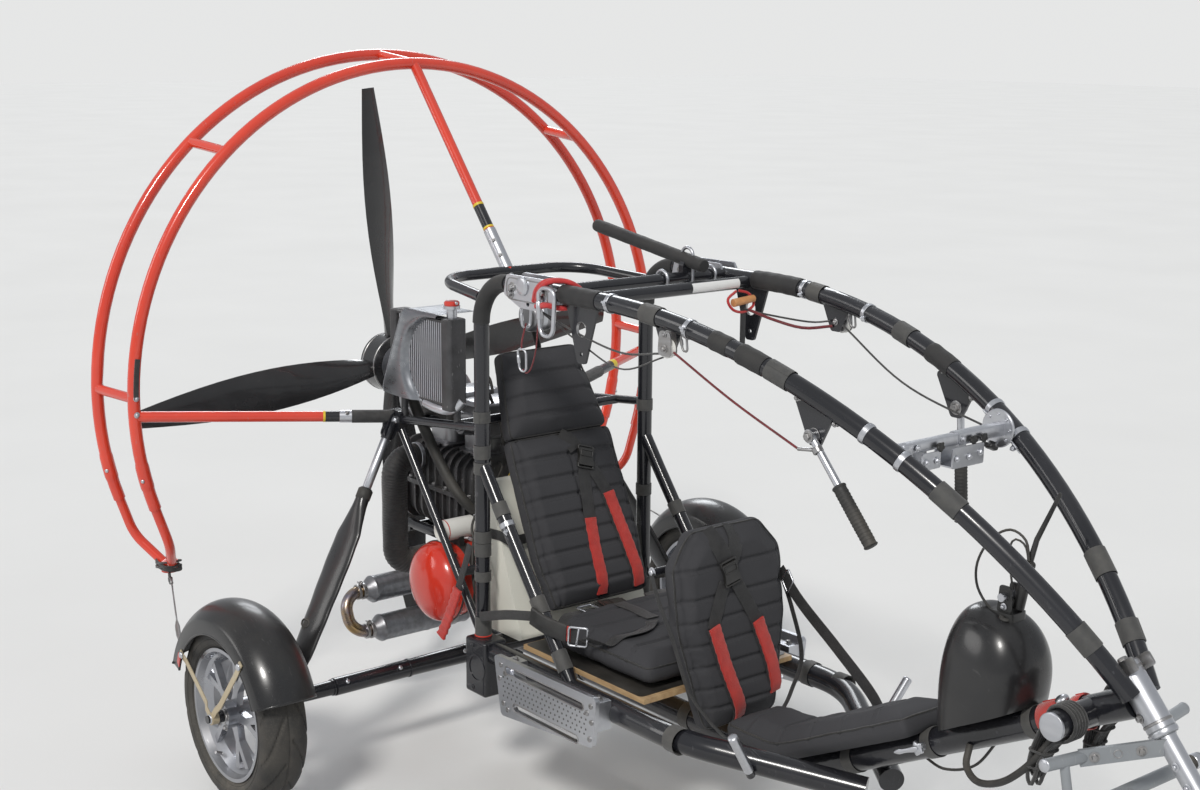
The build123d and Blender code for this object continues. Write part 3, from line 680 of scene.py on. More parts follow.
@dataclass(frozen=True)
class Finish:
    """One surface finish.

    Attributes:
        name: The material's name.
        colour: Main colour, linear.
        variation: Colour that the pattern's tone moves towards.
        roughness: Roughness where the surface is clean.
        spread: How much the tone changes the roughness.
        metallic: 1 for bare metal.
        coat: Weight of the clear coat.
        pattern: Fine structure.
        scale: Size of the structure, in cells per metre.
        relief: Depth of the structure in metres.
        wear: How far the edges are worn.
        bare: Colour under the paint.
        bare_metal: Whether that is metal.
        dust: Amount of field dust.
        sheen: Weight of a cloth's sheen.
        slot: Name of a material slot for the pieces that have the finish; not used.
    """

    name: str
    colour: Colour
    variation: Colour | None = None
    roughness: float = 0.4
    spread: float = 0.08
    metallic: float = 0.0
    coat: float = 0.0
    pattern: Pattern = Pattern.SMOOTH
    scale: float = 400.0
    relief: float = 0.00005
    wear: float = 0.0
    bare: Colour = (0.5, 0.5, 0.5)
    bare_metal: bool = True
    dust: float = 0.12
    sheen: float = 0.0
    slot: str | None = None

    def material(self) -> bpy.types.Material:
        """The finish as a material, built on its first use.

        Returns:
            The material.
        """
        known = bpy.data.materials.get(self.name)
        if known is not None:
            return known
        material = bpy.data.materials.new(self.name)
        material.use_nodes = True
        graph = Graph(material.node_tree)
        shader = graph.add("BsdfPrincipled")
        output = graph.add("OutputMaterial")
        graph.tree.links.new(shader.outputs[0], output.inputs[0])
        structure = self._group(graph, Effects.structure(self.pattern), "Scale", self.scale)
        tone, height = structure.outputs["Tone"], structure.outputs["Height"]
        other = self.variation or tuple(0.72 * part for part in self.colour)
        colour = graph.mix(tone, (*self.colour, 1), (*other, 1))
        roughness = graph.blend(tone, self.roughness - self.spread / 2, self.roughness + self.spread / 2)
        depth = graph.math("MULTIPLY", height, self.relief)
        metal = None
        if self.wear > 0:
            worn = self._group(graph, Effects.wear(), "Amount", self.wear)
            colour = graph.mix(worn.outputs["Mask"], colour, (*self.bare, 1))
            roughness = graph.blend(worn.outputs["Mask"], roughness, 0.38)
            depth = graph.math("ADD", depth, worn.outputs["Height"])
            if self.bare_metal and self.metallic < 1:
                metal = graph.blend(worn.outputs["Mask"], self.metallic, 1.0)
        if self.dust > 0:
            dust = self._group(graph, Effects.dust(), "Amount", self.dust).outputs["Mask"]
            colour = graph.mix(dust, colour, (*DUST_COLOUR, 1))
            roughness = graph.blend(dust, roughness, 0.9)
            base_metal = self.metallic if metal is None else metal
            if self.metallic > 0 or metal is not None:
                metal = graph.blend(dust, base_metal, 0.0)
        bump = graph.add("Bump", {"Strength": 1.0, "Distance": 1.0, "Height": depth})
        graph.tree.links.new(bump.outputs[0], shader.inputs["Normal"])
        graph.tree.links.new(colour, shader.inputs["Base Color"])
        graph.tree.links.new(roughness, shader.inputs["Roughness"])
        if metal is None:
            shader.inputs["Metallic"].default_value = self.metallic
        else:
            graph.tree.links.new(metal, shader.inputs["Metallic"])
        shader.inputs["Coat Weight"].default_value = self.coat
        shader.inputs["Coat Roughness"].default_value = 0.06
        shader.inputs["Sheen Weight"].default_value = self.sheen
        shader.inputs["Sheen Roughness"].default_value = 0.4
        return material

    @staticmethod
    def _group(graph: Graph, tree: bpy.types.NodeTree, socket: str, value: float) -> bpy.types.Node:
        """Place a shared group with one value set.

        Args:
            graph: Graph that gets the node.
            tree: The shared group.
            socket: Name of its input.
            value: Value of that input.

        Returns:
            The group's node.
        """
        node = graph.add("Group", node_tree=tree)
        node.inputs[socket].default_value = value
        return node


BLACK_COAT = Finish("black_powder_coat", (0.009, 0.0095, 0.0125), (0.017, 0.0175, 0.022), 0.23, 0.08,
                    coat=0.3, pattern=Pattern.PEEL, scale=240, relief=0.00002, wear=0.1,
                    bare=(0.3, 0.3, 0.32), dust=0.02, slot="black_paint")
RED_COAT = Finish("red_powder_coat", (0.7, 0.05, 0.02), (0.6, 0.036, 0.015), 0.22, 0.08, coat=0.7,
                  pattern=Pattern.PEEL, scale=220, relief=0.00003, wear=0.2, bare=(0.4, 0.38, 0.36),
                  dust=0.06, slot="red_paint")
BRIGHT_ALLOY = Finish("bright_alloy", (0.6, 0.61, 0.64), (0.54, 0.55, 0.58), 0.36, 0.08, metallic=1,
                      pattern=Pattern.BRUSHED, scale=60, relief=0.00001, wear=0.06, bare=(0.8, 0.8, 0.81),
                      dust=0.0, slot="alloy")
CAST_ALLOY = Finish("cast_alloy", (0.32, 0.32, 0.33), (0.2, 0.2, 0.21), 0.52, 0.15, metallic=0.9,
                    pattern=Pattern.CAST, scale=500, relief=0.00012, wear=0.3, bare=(0.6, 0.6, 0.6), dust=0.2,
                    slot="cast_alloy")
WHEEL_ALLOY = Finish("wheel_alloy", (0.4, 0.41, 0.44), (0.32, 0.33, 0.36), 0.3, 0.12, metallic=1, coat=0.4,
                     pattern=Pattern.PEEL, scale=300, relief=0.00002, wear=0.2, bare=(0.8, 0.8, 0.8),
                     dust=0.22)
STEEL = Finish("worn_steel", (0.42, 0.42, 0.43), (0.3, 0.29, 0.28), 0.36, 0.2, metallic=1,
               pattern=Pattern.BRUSHED, scale=80, relief=0.00002, wear=0.3, bare=(0.62, 0.62, 0.62),
               dust=0.15, slot="steel_grey")
HOT_STEEL = Finish("heated_steel", (0.36, 0.31, 0.26), (0.2, 0.19, 0.22), 0.42, 0.2, metallic=1,
                   pattern=Pattern.CAST, scale=60, relief=0.00005, wear=0.2, bare=(0.6, 0.55, 0.5), dust=0.22,
                   slot="steel_grey")
BLADE = Finish("blade_composite", (0.011, 0.011, 0.012), (0.019, 0.019, 0.02), 0.25, 0.06, coat=0.35,
               scale=60, relief=0.00001, wear=0.04, bare=(0.12, 0.115, 0.11), bare_metal=False, dust=0.012)
GLOSS_MOULD = Finish("gloss_moulding", (0.01, 0.01, 0.011), (0.02, 0.02, 0.021), 0.3, 0.12, coat=0.15,
                     pattern=Pattern.PEEL, scale=90, relief=0.00004, wear=0.2, bare=(0.12, 0.12, 0.12),
                     bare_metal=False, dust=0.05, slot="gloss_black")
RUBBER = Finish("black_rubber", (0.016, 0.016, 0.016), (0.035, 0.034, 0.032), 0.62, 0.16,
                pattern=Pattern.CAST, scale=700, relief=0.00005, dust=0.3, slot="hose_rubber")
TYRE_RUBBER = Finish("tyre_rubber", (0.017, 0.017, 0.017), (0.045, 0.042, 0.038), 0.72, 0.16,
                     pattern=Pattern.CAST, scale=420, relief=0.00006, dust=0.3, slot="tyre")
SEAT_COVER = Finish("seat_cover", (0.017, 0.017, 0.018), (0.03, 0.03, 0.031), 0.5, 0.14,
                    pattern=Pattern.GRAIN, scale=900, relief=0.00012, dust=0.12, sheen=0.25,
                    slot="seat_cover")
RED_MOULD = Finish("red_moulding", (0.66, 0.035, 0.014), (0.5, 0.02, 0.01), 0.22, 0.14, coat=0.5,
                   pattern=Pattern.PEEL, scale=120, relief=0.00006, wear=0.15, bare=(0.75, 0.35, 0.25),
                   bare_metal=False, dust=0.14, slot="red_plastic")
TANK = Finish("tank_plastic", (0.66, 0.66, 0.58), (0.55, 0.53, 0.4), 0.42, 0.14, pattern=Pattern.CAST,
              scale=160, relief=0.00008, dust=0.16)
PLY = Finish("birch_plywood", (0.55, 0.38, 0.2), (0.38, 0.24, 0.12), 0.5, 0.15, pattern=Pattern.BRUSHED,
             scale=120, relief=0.0001, dust=0.15)


# Pieces


def piece(name: str, surface: Surface, finish: Finish, angle: float = 38, body: str = "airframe",
          replaces: Sequence[str] = ()) -> bpy.types.Object:
    """Make an object of a surface, dress it and let it ride on a body.

    Args:
        name: Name of the piece.
        surface: Its surface, in place.
        finish: Its finish.
        angle: Edges sharper than this, in degrees, stay hard.
        body: CAD body that it moves with.
        replaces: CAD nodes that it stands for.

    Returns:
        The object.
    """
    thing = bpy.data.objects.new(name, surface.mesh(name))
    bpy.context.scene.collection.objects.link(thing)
    return dress(thing, finish, angle, body, replaces)


def dress(thing: bpy.types.Object, finish: Finish, angle: float, body: str = "airframe",
          replaces: Sequence[str] = ()) -> bpy.types.Object:
    """Shade an object, give it its finish and let it ride on a body, as piece says.

    Args:
        thing: The object.
        finish: Its finish.
        angle: Edges sharper than this, in degrees, stay hard.
        body: CAD body that it moves with.
        replaces: CAD nodes that it stands for.

    Returns:
        The object.
    """
    mesh = thing.data
    mesh.shade_smooth()
    if angle < 180:
        mesh.set_sharp_from_angle(angle=math.radians(angle))
    mesh.materials.clear()
    mesh.materials.append(finish.material())
    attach(thing, body)
    if replaces:
        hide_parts(*replaces)
    log.info("%s: %d faces on %s", thing.name, len(mesh.polygons), body)
    return thing


def repaint(finish: Finish, *nodes: str) -> None:
    """Give CAD nodes their finish.

    Args:
        finish: The finish.
        *nodes: Names of the nodes.
    """
    for node in nodes:
        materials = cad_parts[node].data.materials
        materials.clear()
        materials.append(finish.material())


# Small parts that several assemblies share


def wrap(centre: Place, direction: Place, radius: float, width: float, thickness: float = 0.0012,
         turns: float = 1.14, start: float = 200.0) -> Surface:
    """Strap wound round a tube: a flat strip whose radius grows with the angle, so that its end laps over.

    Args:
        centre: Middle of the strap on the tube's axis.
        direction: Direction of the tube.
        radius: Radius of the tube.
        width: Width along the tube.
        thickness: Thickness of the strap.
        turns: Turns that it makes.
        start: Angle where it begins, in degrees.

    Returns:
        The strap.
    """
    axis, first, second = basis(direction)
    angle = math.radians(start) + np.linspace(0, 2 * math.pi * turns, int(40 * turns))
    reach = radius + thickness * (0.56 + (angle - angle[0]) / (2 * math.pi))
    spoke = np.cos(angle)[:, None] * first + np.sin(angle)[:, None] * second
    path = np.asarray(centre, float) + reach[:, None] * spoke
    return sweep(path, oblong(thickness, width, thickness * 0.4, 2), steady=axis)


def collar(centre: Place, direction: Place, inner: float, outer: float, width: float,
           soft: float = 0.001, segments: int = 32) -> Surface:
    """Ring with softened rims, turned round an axis.

    Args:
        centre: Its middle.
        direction: Direction of its axis.
        inner: Inner radius.
        outer: Outer radius.
        width: Width along the axis.
        soft: Size of the softened rims.
        segments: Number of steps round the axis.

    Returns:
        The ring.
    """
    half = width / 2
    profile = np.array([(inner, -half), (outer - soft, -half), (outer, -half + soft), (outer, half - soft),
                        (outer - soft, half), (inner, half)])
    return ring_round(centre, direction, profile, segments)


def bolt(at: Place, direction: Place, across: float = 0.010, height: float = 0.006) -> Surface:
    """Hexagon head with a chamfered top on a washer: a six-cornered profile that narrows at its end.

    Args:
        at: Point of the face under the washer.
        direction: Where the head looks.
        across: Size across the flats.
        height: Height of the head.

    Returns:
        Head and washer.
    """
    axis, first, _ = basis(direction)
    start = np.asarray(at, float)
    washer_top, crown = 0.0014, 0.0008
    levels = np.array([0, 0.0001, 0.8, 1.0, 1.0]) * height
    levels[-1] += crown
    widths = np.array([0.98, 1.0, 1.0, 0.86, 0.5]) * across / 2 / math.cos(math.pi / 6)
    head = sweep(start + axis * (levels + washer_top)[:, None], circle(1.0, 6), steady=first, scale=widths)
    return head + lathe(start, axis, [(across * 0.84, 0), (across * 0.9, 0.0004), (across * 0.9, 0.0011),
                                      (across * 0.82, 0.0015)], 20)


def socket_screw(at: Place, direction: Place, radius: float = 0.005, height: float = 0.005) -> Surface:
    """Round screw head with a sunk middle, turned from an open profile.

    Args:
        at: Point of the face under the head.
        direction: Where the head looks.
        radius: Its radius.
        height: Its height.

    Returns:
        The head.
    """
    profile = np.array([(radius, 0), (radius, height * 0.75), (radius * 0.88, height), (radius * 0.5, height),
                        (radius * 0.46, height * 0.45), (radius * 0.1, height * 0.4)])
    return lathe(at, direction, profile, 16)


def dome_cap(at: Place, direction: Place, radius: float, height: float, shoulder: float = 0.3,
             segments: int = 28) -> Surface:
    """Round cap: a straight wall up to the shoulder and a quarter ellipse over it.

    Args:
        at: Middle of its foot.
        direction: Where the dome looks.
        radius: Its radius.
        height: Its height.
        shoulder: Share of the height that the wall takes.
        segments: Number of steps round the axis.

    Returns:
        The cap.
    """
    angle = np.linspace(0, math.pi / 2, 9)[:-1]
    wall = np.array([(radius, 0), (radius, height * shoulder)])
    crown = np.stack([radius * np.cos(angle[1:]), height * (shoulder + (1 - shoulder) * np.sin(angle[1:]))],
                     -1)
    tip = np.array([(radius * 0.03, height)])
    return lathe(at, direction, np.concatenate([wall, crown, tip]), segments)


def hose_clip(centre: Place, direction: Place, radius: float, ear: Place, width: float = 0.012) -> Surface:
    """Band clip: a ring round the tube with an ear to one side and a screw through it.

    Args:
        centre: Its middle.
        direction: Direction of the tube.
        radius: Radius of the tube.
        ear: Direction in which the ear stands.
        width: Width of the band.

    Returns:
        The clip.
    """
    ring = collar(centre, direction, radius + 0.0002, radius + 0.0018, width)
    out = unit(np.asarray(ear, float))
    side = unit(np.cross(unit(np.asarray(direction, float)), out))
    base = np.asarray(centre, float) + out * (radius + 0.0012)
    tab = sweep([base - out * 0.002, base + out * 0.016], oblong(0.0045, width, 0.001, 3), steady=direction)
    screw = bolt(base + out * 0.009 + side * 0.002, side, 0.0075, 0.0045)
    return ring + tab + screw


def cable(points: Rows, radius: float, spacing: float = 0.01, sides: int = 10) -> Surface:
    """Round line along a smooth path through a few points."""
    return sweep(through(points, spacing), circle(radius, sides))


def webbing(points: Rows, across: Place, width: float, thickness: float = 0.0018,
            spacing: float = 0.008) -> Surface:
    """Woven strap along a path: a flat profile whose width keeps to one direction."""
    return sweep(through(points, spacing), oblong(thickness, width, thickness * 0.45, 3), steady=across)


def loop_frame(centre: Place, u_dir: Place, v_dir: Place, width: float, height: float,
               corner: float, radius: float) -> Surface:
    """Closed wire frame: a round profile along a rectangle with round corners.

    Args:
        centre: Its middle.
        u_dir: Direction of its width.
        v_dir: Direction of its height.
        width: Its width.
        height: Its height.
        corner: Radius of its corners.
        radius: Radius of the wire.

    Returns:
        The frame.
    """
    u, v = unit(np.asarray(u_dir, float)), unit(np.asarray(v_dir, float))
    outline = oblong(width, height, corner, 5)
    path = np.asarray(centre, float) + outline[:, :1] * u + outline[:, 1:] * v
    return sweep(path, circle(radius, 10), steady=np.cross(u, v), closed=True)


def carabiner(top: Place, down: Place, side: Place, length: float, radius: float) -> Surface:
    """Snap link: a long closed frame, narrower at its foot, with the gate's sleeve on one side.

    Args:
        top: Its upper end.
        down: Direction of its length.
        side: Direction of its width.
        length: Its length.
        radius: Radius of the wire.

    Returns:
        The link.
    """
    v, u = -unit(np.asarray(down, float)), unit(np.asarray(side, float))
    outline = oblong(length * 0.5, length, length * 0.2, 7)
    outline[:, 0] *= 1 + 0.28 * outline[:, 1] / length
    centre = np.asarray(top, float) - v * length / 2
    path = centre + outline[:, :1] * u + outline[:, 1:] * v
    body = sweep(path, circle(radius, 12), steady=np.cross(u, v), closed=True)
    low, high = centre - u * length * 0.235 - v * length * 0.16, centre - u * length * 0.26 + v * length * 0.2
    return body + rod(low, high, radius * 1.45, sides=16)


def boom_at(x: float | Array, side: int) -> Array:
    """Centre of a boom at a station: straight, then an arc in a plane that leans inward.

    Args:
        x: One station or several.
        side: Side of the boom.

    Returns:
        The centre at each station.
    """
    bend, radius, height, lean = -0.234, 1.540, 1.308, math.atan2(0.232, 0.588)
    x = np.asarray(x, float)
    ahead = np.maximum(x - bend, 0)
    drop = radius - np.sqrt(radius ** 2 - ahead ** 2)
    return np.stack([x, side * (TUBE_Y - drop * math.sin(lean)), height - drop * math.cos(lean)], -1)


def boom_run(x: float, side: int) -> Array:
    """Direction of a boom at a station."""
    return unit(boom_at(x + 0.002, side) - boom_at(x - 0.002, side))


KEEL_BEND, KEEL_Z, KEEL_RISE = 0.180, 0.280, 0.5085
COLUMN_TOP = np.array([0.982, 0.0, 0.756])
COLUMN_LEAN = math.radians(40.7)
COLUMN_UP = np.array([-math.sin(COLUMN_LEAN), 0.0, math.cos(COLUMN_LEAN)])


def keel_at(x: float) -> Array:
    """Centre of the rising keel at a station."""
    return np.array([x, 0.0, KEEL_Z + (x - KEEL_BEND) * KEEL_RISE])


def column_at(distance: float) -> Array:
    """Point on the steering axis, below the top of the head."""
    return COLUMN_TOP - COLUMN_UP * distance


def many(build: Callable[..., Surface], rows: Sequence[Sequence[object]], *more: object) -> Surface:
    """One surface from the same builder called with each row of a table."""
    return together(build(*row, *more) for row in rows)


def both(surface: Surface) -> Surface:
    """A right-hand surface and its mirror image together."""
    return surface + surface.mirrored()


# Seats and harness

EDGING = Finish("seat_edging", (0.01, 0.01, 0.01), (0.02, 0.02, 0.02), 0.6, 0.1, pattern=Pattern.WEAVE,
                scale=700, relief=0.0001, dust=0.1, sheen=0.2, slot="seat_cover")
WEBBING = Finish("black_webbing", (0.012, 0.012, 0.013), (0.026, 0.026, 0.027), 0.62, 0.12,
                 pattern=Pattern.WEAVE, scale=620, relief=0.00025, dust=0.05, sheen=0.12, slot="seat_cover")
RED_WEBBING = Finish("red_webbing", (0.55, 0.026, 0.016), (0.42, 0.018, 0.012), 0.66, 0.12,
                     pattern=Pattern.WEAVE, scale=420, relief=0.0004, dust=0.1, sheen=0.4, slot="red_plastic")
BUCKLE_PLASTIC = Finish("buckle_plastic", (0.012, 0.012, 0.012), (0.03, 0.03, 0.03), 0.38, 0.12,
                        pattern=Pattern.CAST, scale=500, relief=0.00005, dust=0.1, slot="gloss_black")
STUFFING_PRESSURE = 4.0
STUFFING_FRAMES = 20


def onto_spine(points: Array, spine: Array) -> Array:
    """Carry flat pad coordinates onto a bent spine.

    A point's second coordinate is the distance along the spine, its first one is the place across the machine
    and its third one the height over the spine, square to it.

    Args:
        points: Flat coordinates, rows by 3.
        spine: Stations of x and z, from the foot to the head of the pad.

    Returns:
        The points in place.
    """
    steps = np.linalg.norm(np.diff(spine, axis=0), axis=1)
    run = np.concatenate([[0], np.cumsum(steps)])
    tangent = unit(np.gradient(spine, axis=0))
    along = points[:, 1]
    inside = np.clip(along, 0, run[-1])
    base = np.stack([np.interp(inside, run, spine[:, k]) for k in range(2)], -1)
    ahead = unit(np.stack([np.interp(inside, run, tangent[:, k]) for k in range(2)], -1))
    base = base + ahead * (along - inside)[:, None]
    normal = np.stack([ahead[:, 1], -ahead[:, 0]], -1)
    place = base + normal * points[:, 2:3]
    return np.stack([place[:, 0], points[:, 0], place[:, 1]], -1)


@dataclass
class Pad:
    """A stuffed panel with sewn channels.

    Attributes:
        name: Name of the piece.
        outline: Widths and heights of its corners, anticlockwise, in metres.
        spine: Stations of x and z under its face, from its foot to its head.
        thickness: Thickness of the CAD slab.
        corner: Radius of the outline's corners.
        seams: Heights of its channels.
        depth: Depth of a channel.
        split: Heights between which a channel runs up the middle, or nothing.
        side_seam: Distance of a channel from the edge, or nothing.
        cap: How far the stuffing may push a point out, in metres.
        voxel: Size of the remesh.
        inset: How much smaller the pad starts.
        replaces: CAD nodes that it stands for.
        tree: Search tree of the finished pad, on which belts and stitches are landed.
    """

    name: str
    outline: Sequence[tuple[float, float]]
    spine: Sequence[tuple[float, float]]
    thickness: float
    corner: float = 0.02
    seams: Sequence[float] = ()
    depth: float = 0.006
    split: tuple[float, float] | None = None
    side_seam: float | None = None
    cap: float = 0.022
    voxel: float = 0.006
    inset: float = 0.007
    replaces: Sequence[str] = ()
    tree: BVHTree | None = field(default=None, repr=False)

    def shell(self) -> Surface:
        """Flat pad: the outline drawn in by a quarter circle at each face.

        Returns:
            The shell.
        """
        ring, inward = self._rim(0.012)
        edge = min(0.018, self.thickness * 0.42)
        turn = np.linspace(0, math.pi / 2, 5)
        inset = self.inset + np.concatenate([edge * (1 - np.sin(turn)), edge * (1 - np.sin(turn[::-1]))])
        low = -self.thickness + self.inset + edge * (1 - np.cos(turn))
        high = -self.inset - edge * (1 - np.cos(turn[::-1]))
        level = np.concatenate([low, high])
        flat = ring[None] + inward[None] * inset[:, None, None]
        points = np.concatenate([flat, np.broadcast_to(level[:, None, None], flat.shape[:2] + (1,))], -1)
        return grid(points, around=True)

    def stuffed(self) -> bpy.types.Mesh:
        """The shell remeshed and blown up by cloth pressure, no point further than the cap.

        Returns:
            The mesh, bent onto the spine.
        """
        thing = bpy.data.objects.new(self.name + "_form", self.shell().mesh(self.name + "_form"))
        bpy.context.scene.collection.objects.link(thing)
        remesh = thing.modifiers.new("voxels", "REMESH")
        remesh.mode = "VOXEL"
        remesh.voxel_size = self.voxel
        self._apply(thing)
        before = mesh_points(thing.data)
        cloth = thing.modifiers.new("stuffing", "CLOTH")
        cloth.settings.use_pressure = True
        cloth.settings.uniform_pressure_force = STUFFING_PRESSURE
        cloth.settings.effector_weights.gravity = 0.0
        cloth.point_cache.frame_start = 1
        cloth.point_cache.frame_end = STUFFING_FRAMES
        for step in range(1, STUFFING_FRAMES + 1):
            bpy.context.scene.frame_set(step)
        self._apply(thing)
        bpy.context.scene.frame_set(1)
        moved = mesh_points(thing.data) - before
        # the edging holds the outline, so only the bulge out of the faces is kept
        swell = np.clip(moved[:, 2:], -0.25 * self.cap, self.cap) * (0, 0, 1)
        thing.data.vertices.foreach_set("co", (before + swell).astype(np.float32).ravel())
        smooth = thing.modifiers.new("smooth", "SUBSURF")
        smooth.levels = 1
        self._apply(thing)
        mesh = thing.data
        points = onto_spine(self.sewn(mesh_points(mesh)), self._spine())
        mesh.vertices.foreach_set("co", points.astype(np.float32).ravel())
        mesh.update()
        bpy.data.objects.remove(thing)
        return mesh

    def sewn(self, points: Array) -> Array:
        """Press the channels into the face.

        Each is a bell curve of the distance to its line, and small gathers run square to it. A little slack,
        two crossed sines, lies over the whole face.

        Args:
            points: Flat pad coordinates by 3.

        Returns:
            The points with the channels pressed in.
        """
        u, v, w = points.T
        face = np.clip((w + self.thickness * 0.75) / (self.thickness * 0.5), 0, 1)
        press = np.zeros_like(u)
        for height in self.seams:
            away = np.abs(v - height)
            press = press + self.depth * np.exp(-(away / 0.0055) ** 2)
            gather = np.sin(u * 620 + 3 * np.sin(u * 90 + height * 50)) * np.exp(-away / 0.012)
            press = press + 0.0006 * gather * np.exp(-(away / 0.03) ** 2)
        if self.split is not None:
            low, high = self.split
            share = np.clip((v - low) / 0.01, 0, 1) * np.clip((high - v) / 0.01, 0, 1)
            press = press + share * self.depth * 0.9 * np.exp(-((u + 0.004) / 0.0055) ** 2)
        if self.side_seam is not None:
            half = np.interp(v, *self._half_width())
            away = np.abs(np.abs(u) - (half - self.side_seam))
            press = press + self.depth * 0.8 * np.exp(-(away / 0.0045) ** 2)
        slack = 0.0011 * np.sin(u * 41 + 2 * v * 17) * np.sin(v * 37 - u * 13)
        return np.stack([u, v, w - (press + slack) * face], -1)

    def _rim(self, spacing: float) -> tuple[Array, Array]:
        """The rounded outline at even steps, and the inward direction at each of them.

        Args:
            spacing: Distance between two stations.

        Returns:
            Points by 2 and directions by 2.
        """
        outline = rounded(self.outline, self.corner, 7)
        closed = np.concatenate([outline, outline[:1]])
        ring = even(np.pad(closed, ((0, 0), (0, 1))), spacing)[:-1, :2]
        tangent = unit(np.roll(ring, -1, 0) - np.roll(ring, 1, 0))
        return ring, np.stack([-tangent[:, 1], tangent[:, 0]], -1)

    def _half_width(self) -> tuple[Array, Array]:
        """Heights and half widths of the right-hand edge."""
        edge = sorted((height, width) for width, height in self.outline if width > 0)
        return np.array([height for height, _ in edge]), np.array([width for _, width in edge])

    def _spine(self) -> Array:
        """The spine as a smooth line with close stations.

        Returns:
            Stations by 2.
        """
        known = np.array([(x, 0.0, z) for x, z in self.spine])
        path = bent(known, 0.16, 0.01) if len(known) > 2 else even(known, 0.01)
        return path[:, [0, 2]]

    @staticmethod
    def _apply(thing: bpy.types.Object) -> None:
        """Put the result of an object's modifiers into its mesh.

        Args:
            thing: The object.
        """
        graph = bpy.context.evaluated_depsgraph_get()
        result = bpy.data.meshes.new_from_object(thing.evaluated_get(graph))
        thing.modifiers.clear()
        thing.data = result

    def build(self) -> None:
        """Make the pad, its edging and its stitches."""
        mesh = self.stuffed()
        mesh.name = self.name
        thing = bpy.data.objects.new(self.name, mesh)
        bpy.context.scene.collection.objects.link(thing)
        dress(thing, SEAT_COVER, 180, replaces=self.replaces)
        self.tree = BVHTree.FromPolygons([vertex.co for vertex in mesh.vertices],
                                         [face.vertices[:] for face in mesh.polygons])
        self.stitches()
        self.edging()

    def on_face(self, flat: Array, lift: float) -> Array:
        """Land flat coordinates on the stuffed face, from in front of it.

        Args:
            flat: Places across and up the pad, rows by 2.
            lift: Height over the face.

        Returns:
            The points in place.
        """
        above = onto_spine(np.concatenate([flat, np.full((len(flat), 1), 0.12)], -1), self._spine())
        below = onto_spine(np.concatenate([flat, np.full((len(flat), 1), 0.0)], -1), self._spine())
        rays = unit(below - above)
        hits = [self.tree.ray_cast(Vector(start), Vector(ray), 0.3)[0] for start, ray in zip(above, rays)]
        landed = [below[k] if hit is None else np.array(hit) for k, hit in enumerate(hits)]
        return np.array(landed) - rays * lift

    def stitches(self) -> None:
        """A line of thread stitches on each side of every channel, each one a short rounded bar."""
        rows = []
        for height in self.seams:
            half = float(np.interp(height, *self._half_width())) - 0.03
            across = np.arange(-half, half, 0.0085)
            for side in (-0.0075, 0.0075):
                rows.append(np.stack([across, np.full_like(across, height + side)], -1))
        if not rows:
            return
        starts = np.concatenate(rows)
        ends = starts + (0.0052, 0.0)
        heads, tails = self.on_face(starts, 0.0001), self.on_face(ends, 0.0001)
        near = np.linalg.norm(heads - tails, axis=1) < 0.008
        spots = np.stack([heads[near], (heads[near] + tails[near]) / 2, tails[near]], 1)
        threads = together(sweep(run, circle(1.0, 5), (0.2, 0, 1), (0.0004, 0.0006, 0.0004)) for run in spots)
        piece(self.name + "_stitches", threads, EDGING, 80)

    def edging(self) -> None:
        """Piping round the front edge, along the outline drawn in a little."""
        ring, inward = self._rim(0.01)
        path = self.on_face(ring + inward * 0.011, 0.0003)
        for _ in range(3):
            path = (np.roll(path, 1, 0) + 2 * path + np.roll(path, -1, 0)) / 4
        piece(self.name + "_piping", sweep(path, circle(0.0026, 8), closed=True, steady=self.facing()),
              EDGING, 80)

    def facing(self) -> Array:
        """Direction that the pad faces, at its middle.

        Returns:
            The direction.
        """
        spine = self._spine()
        ahead = unit(spine[-1] - spine[0])
        return np.array([ahead[1], 0.0, -ahead[0]])


def mesh_points(mesh: bpy.types.Mesh) -> Array:
    """Vertex places of a mesh as an array.

    Args:
        mesh: The mesh.

    Returns:
        Points by 3.
    """
    flat = np.empty(len(mesh.vertices) * 3, np.float32)
    mesh.vertices.foreach_get("co", flat)
    return flat.reshape(-1, 3).astype(float)


def calmed(path: Array, times: int) -> Array:
    """The path with its inner stations drawn towards their neighbours a few times.

    Args:
        path: Stations by 3.
        times: How often they are drawn.

    Returns:
        The calmer path.
    """
    path = path.copy()
    for _ in range(times):
        path[1:-1] = (path[:-2] + 2 * path[1:-1] + path[2:]) / 4
    return path


def leaning(foot: tuple[float, float], degrees: float, height: float) -> list[tuple[float, float]]:
    """Spine of a flat backrest: a straight line that leans back."""
    lean = math.radians(degrees)
    return [foot, (foot[0] - height * math.sin(lean), foot[1] + height * math.cos(lean))]


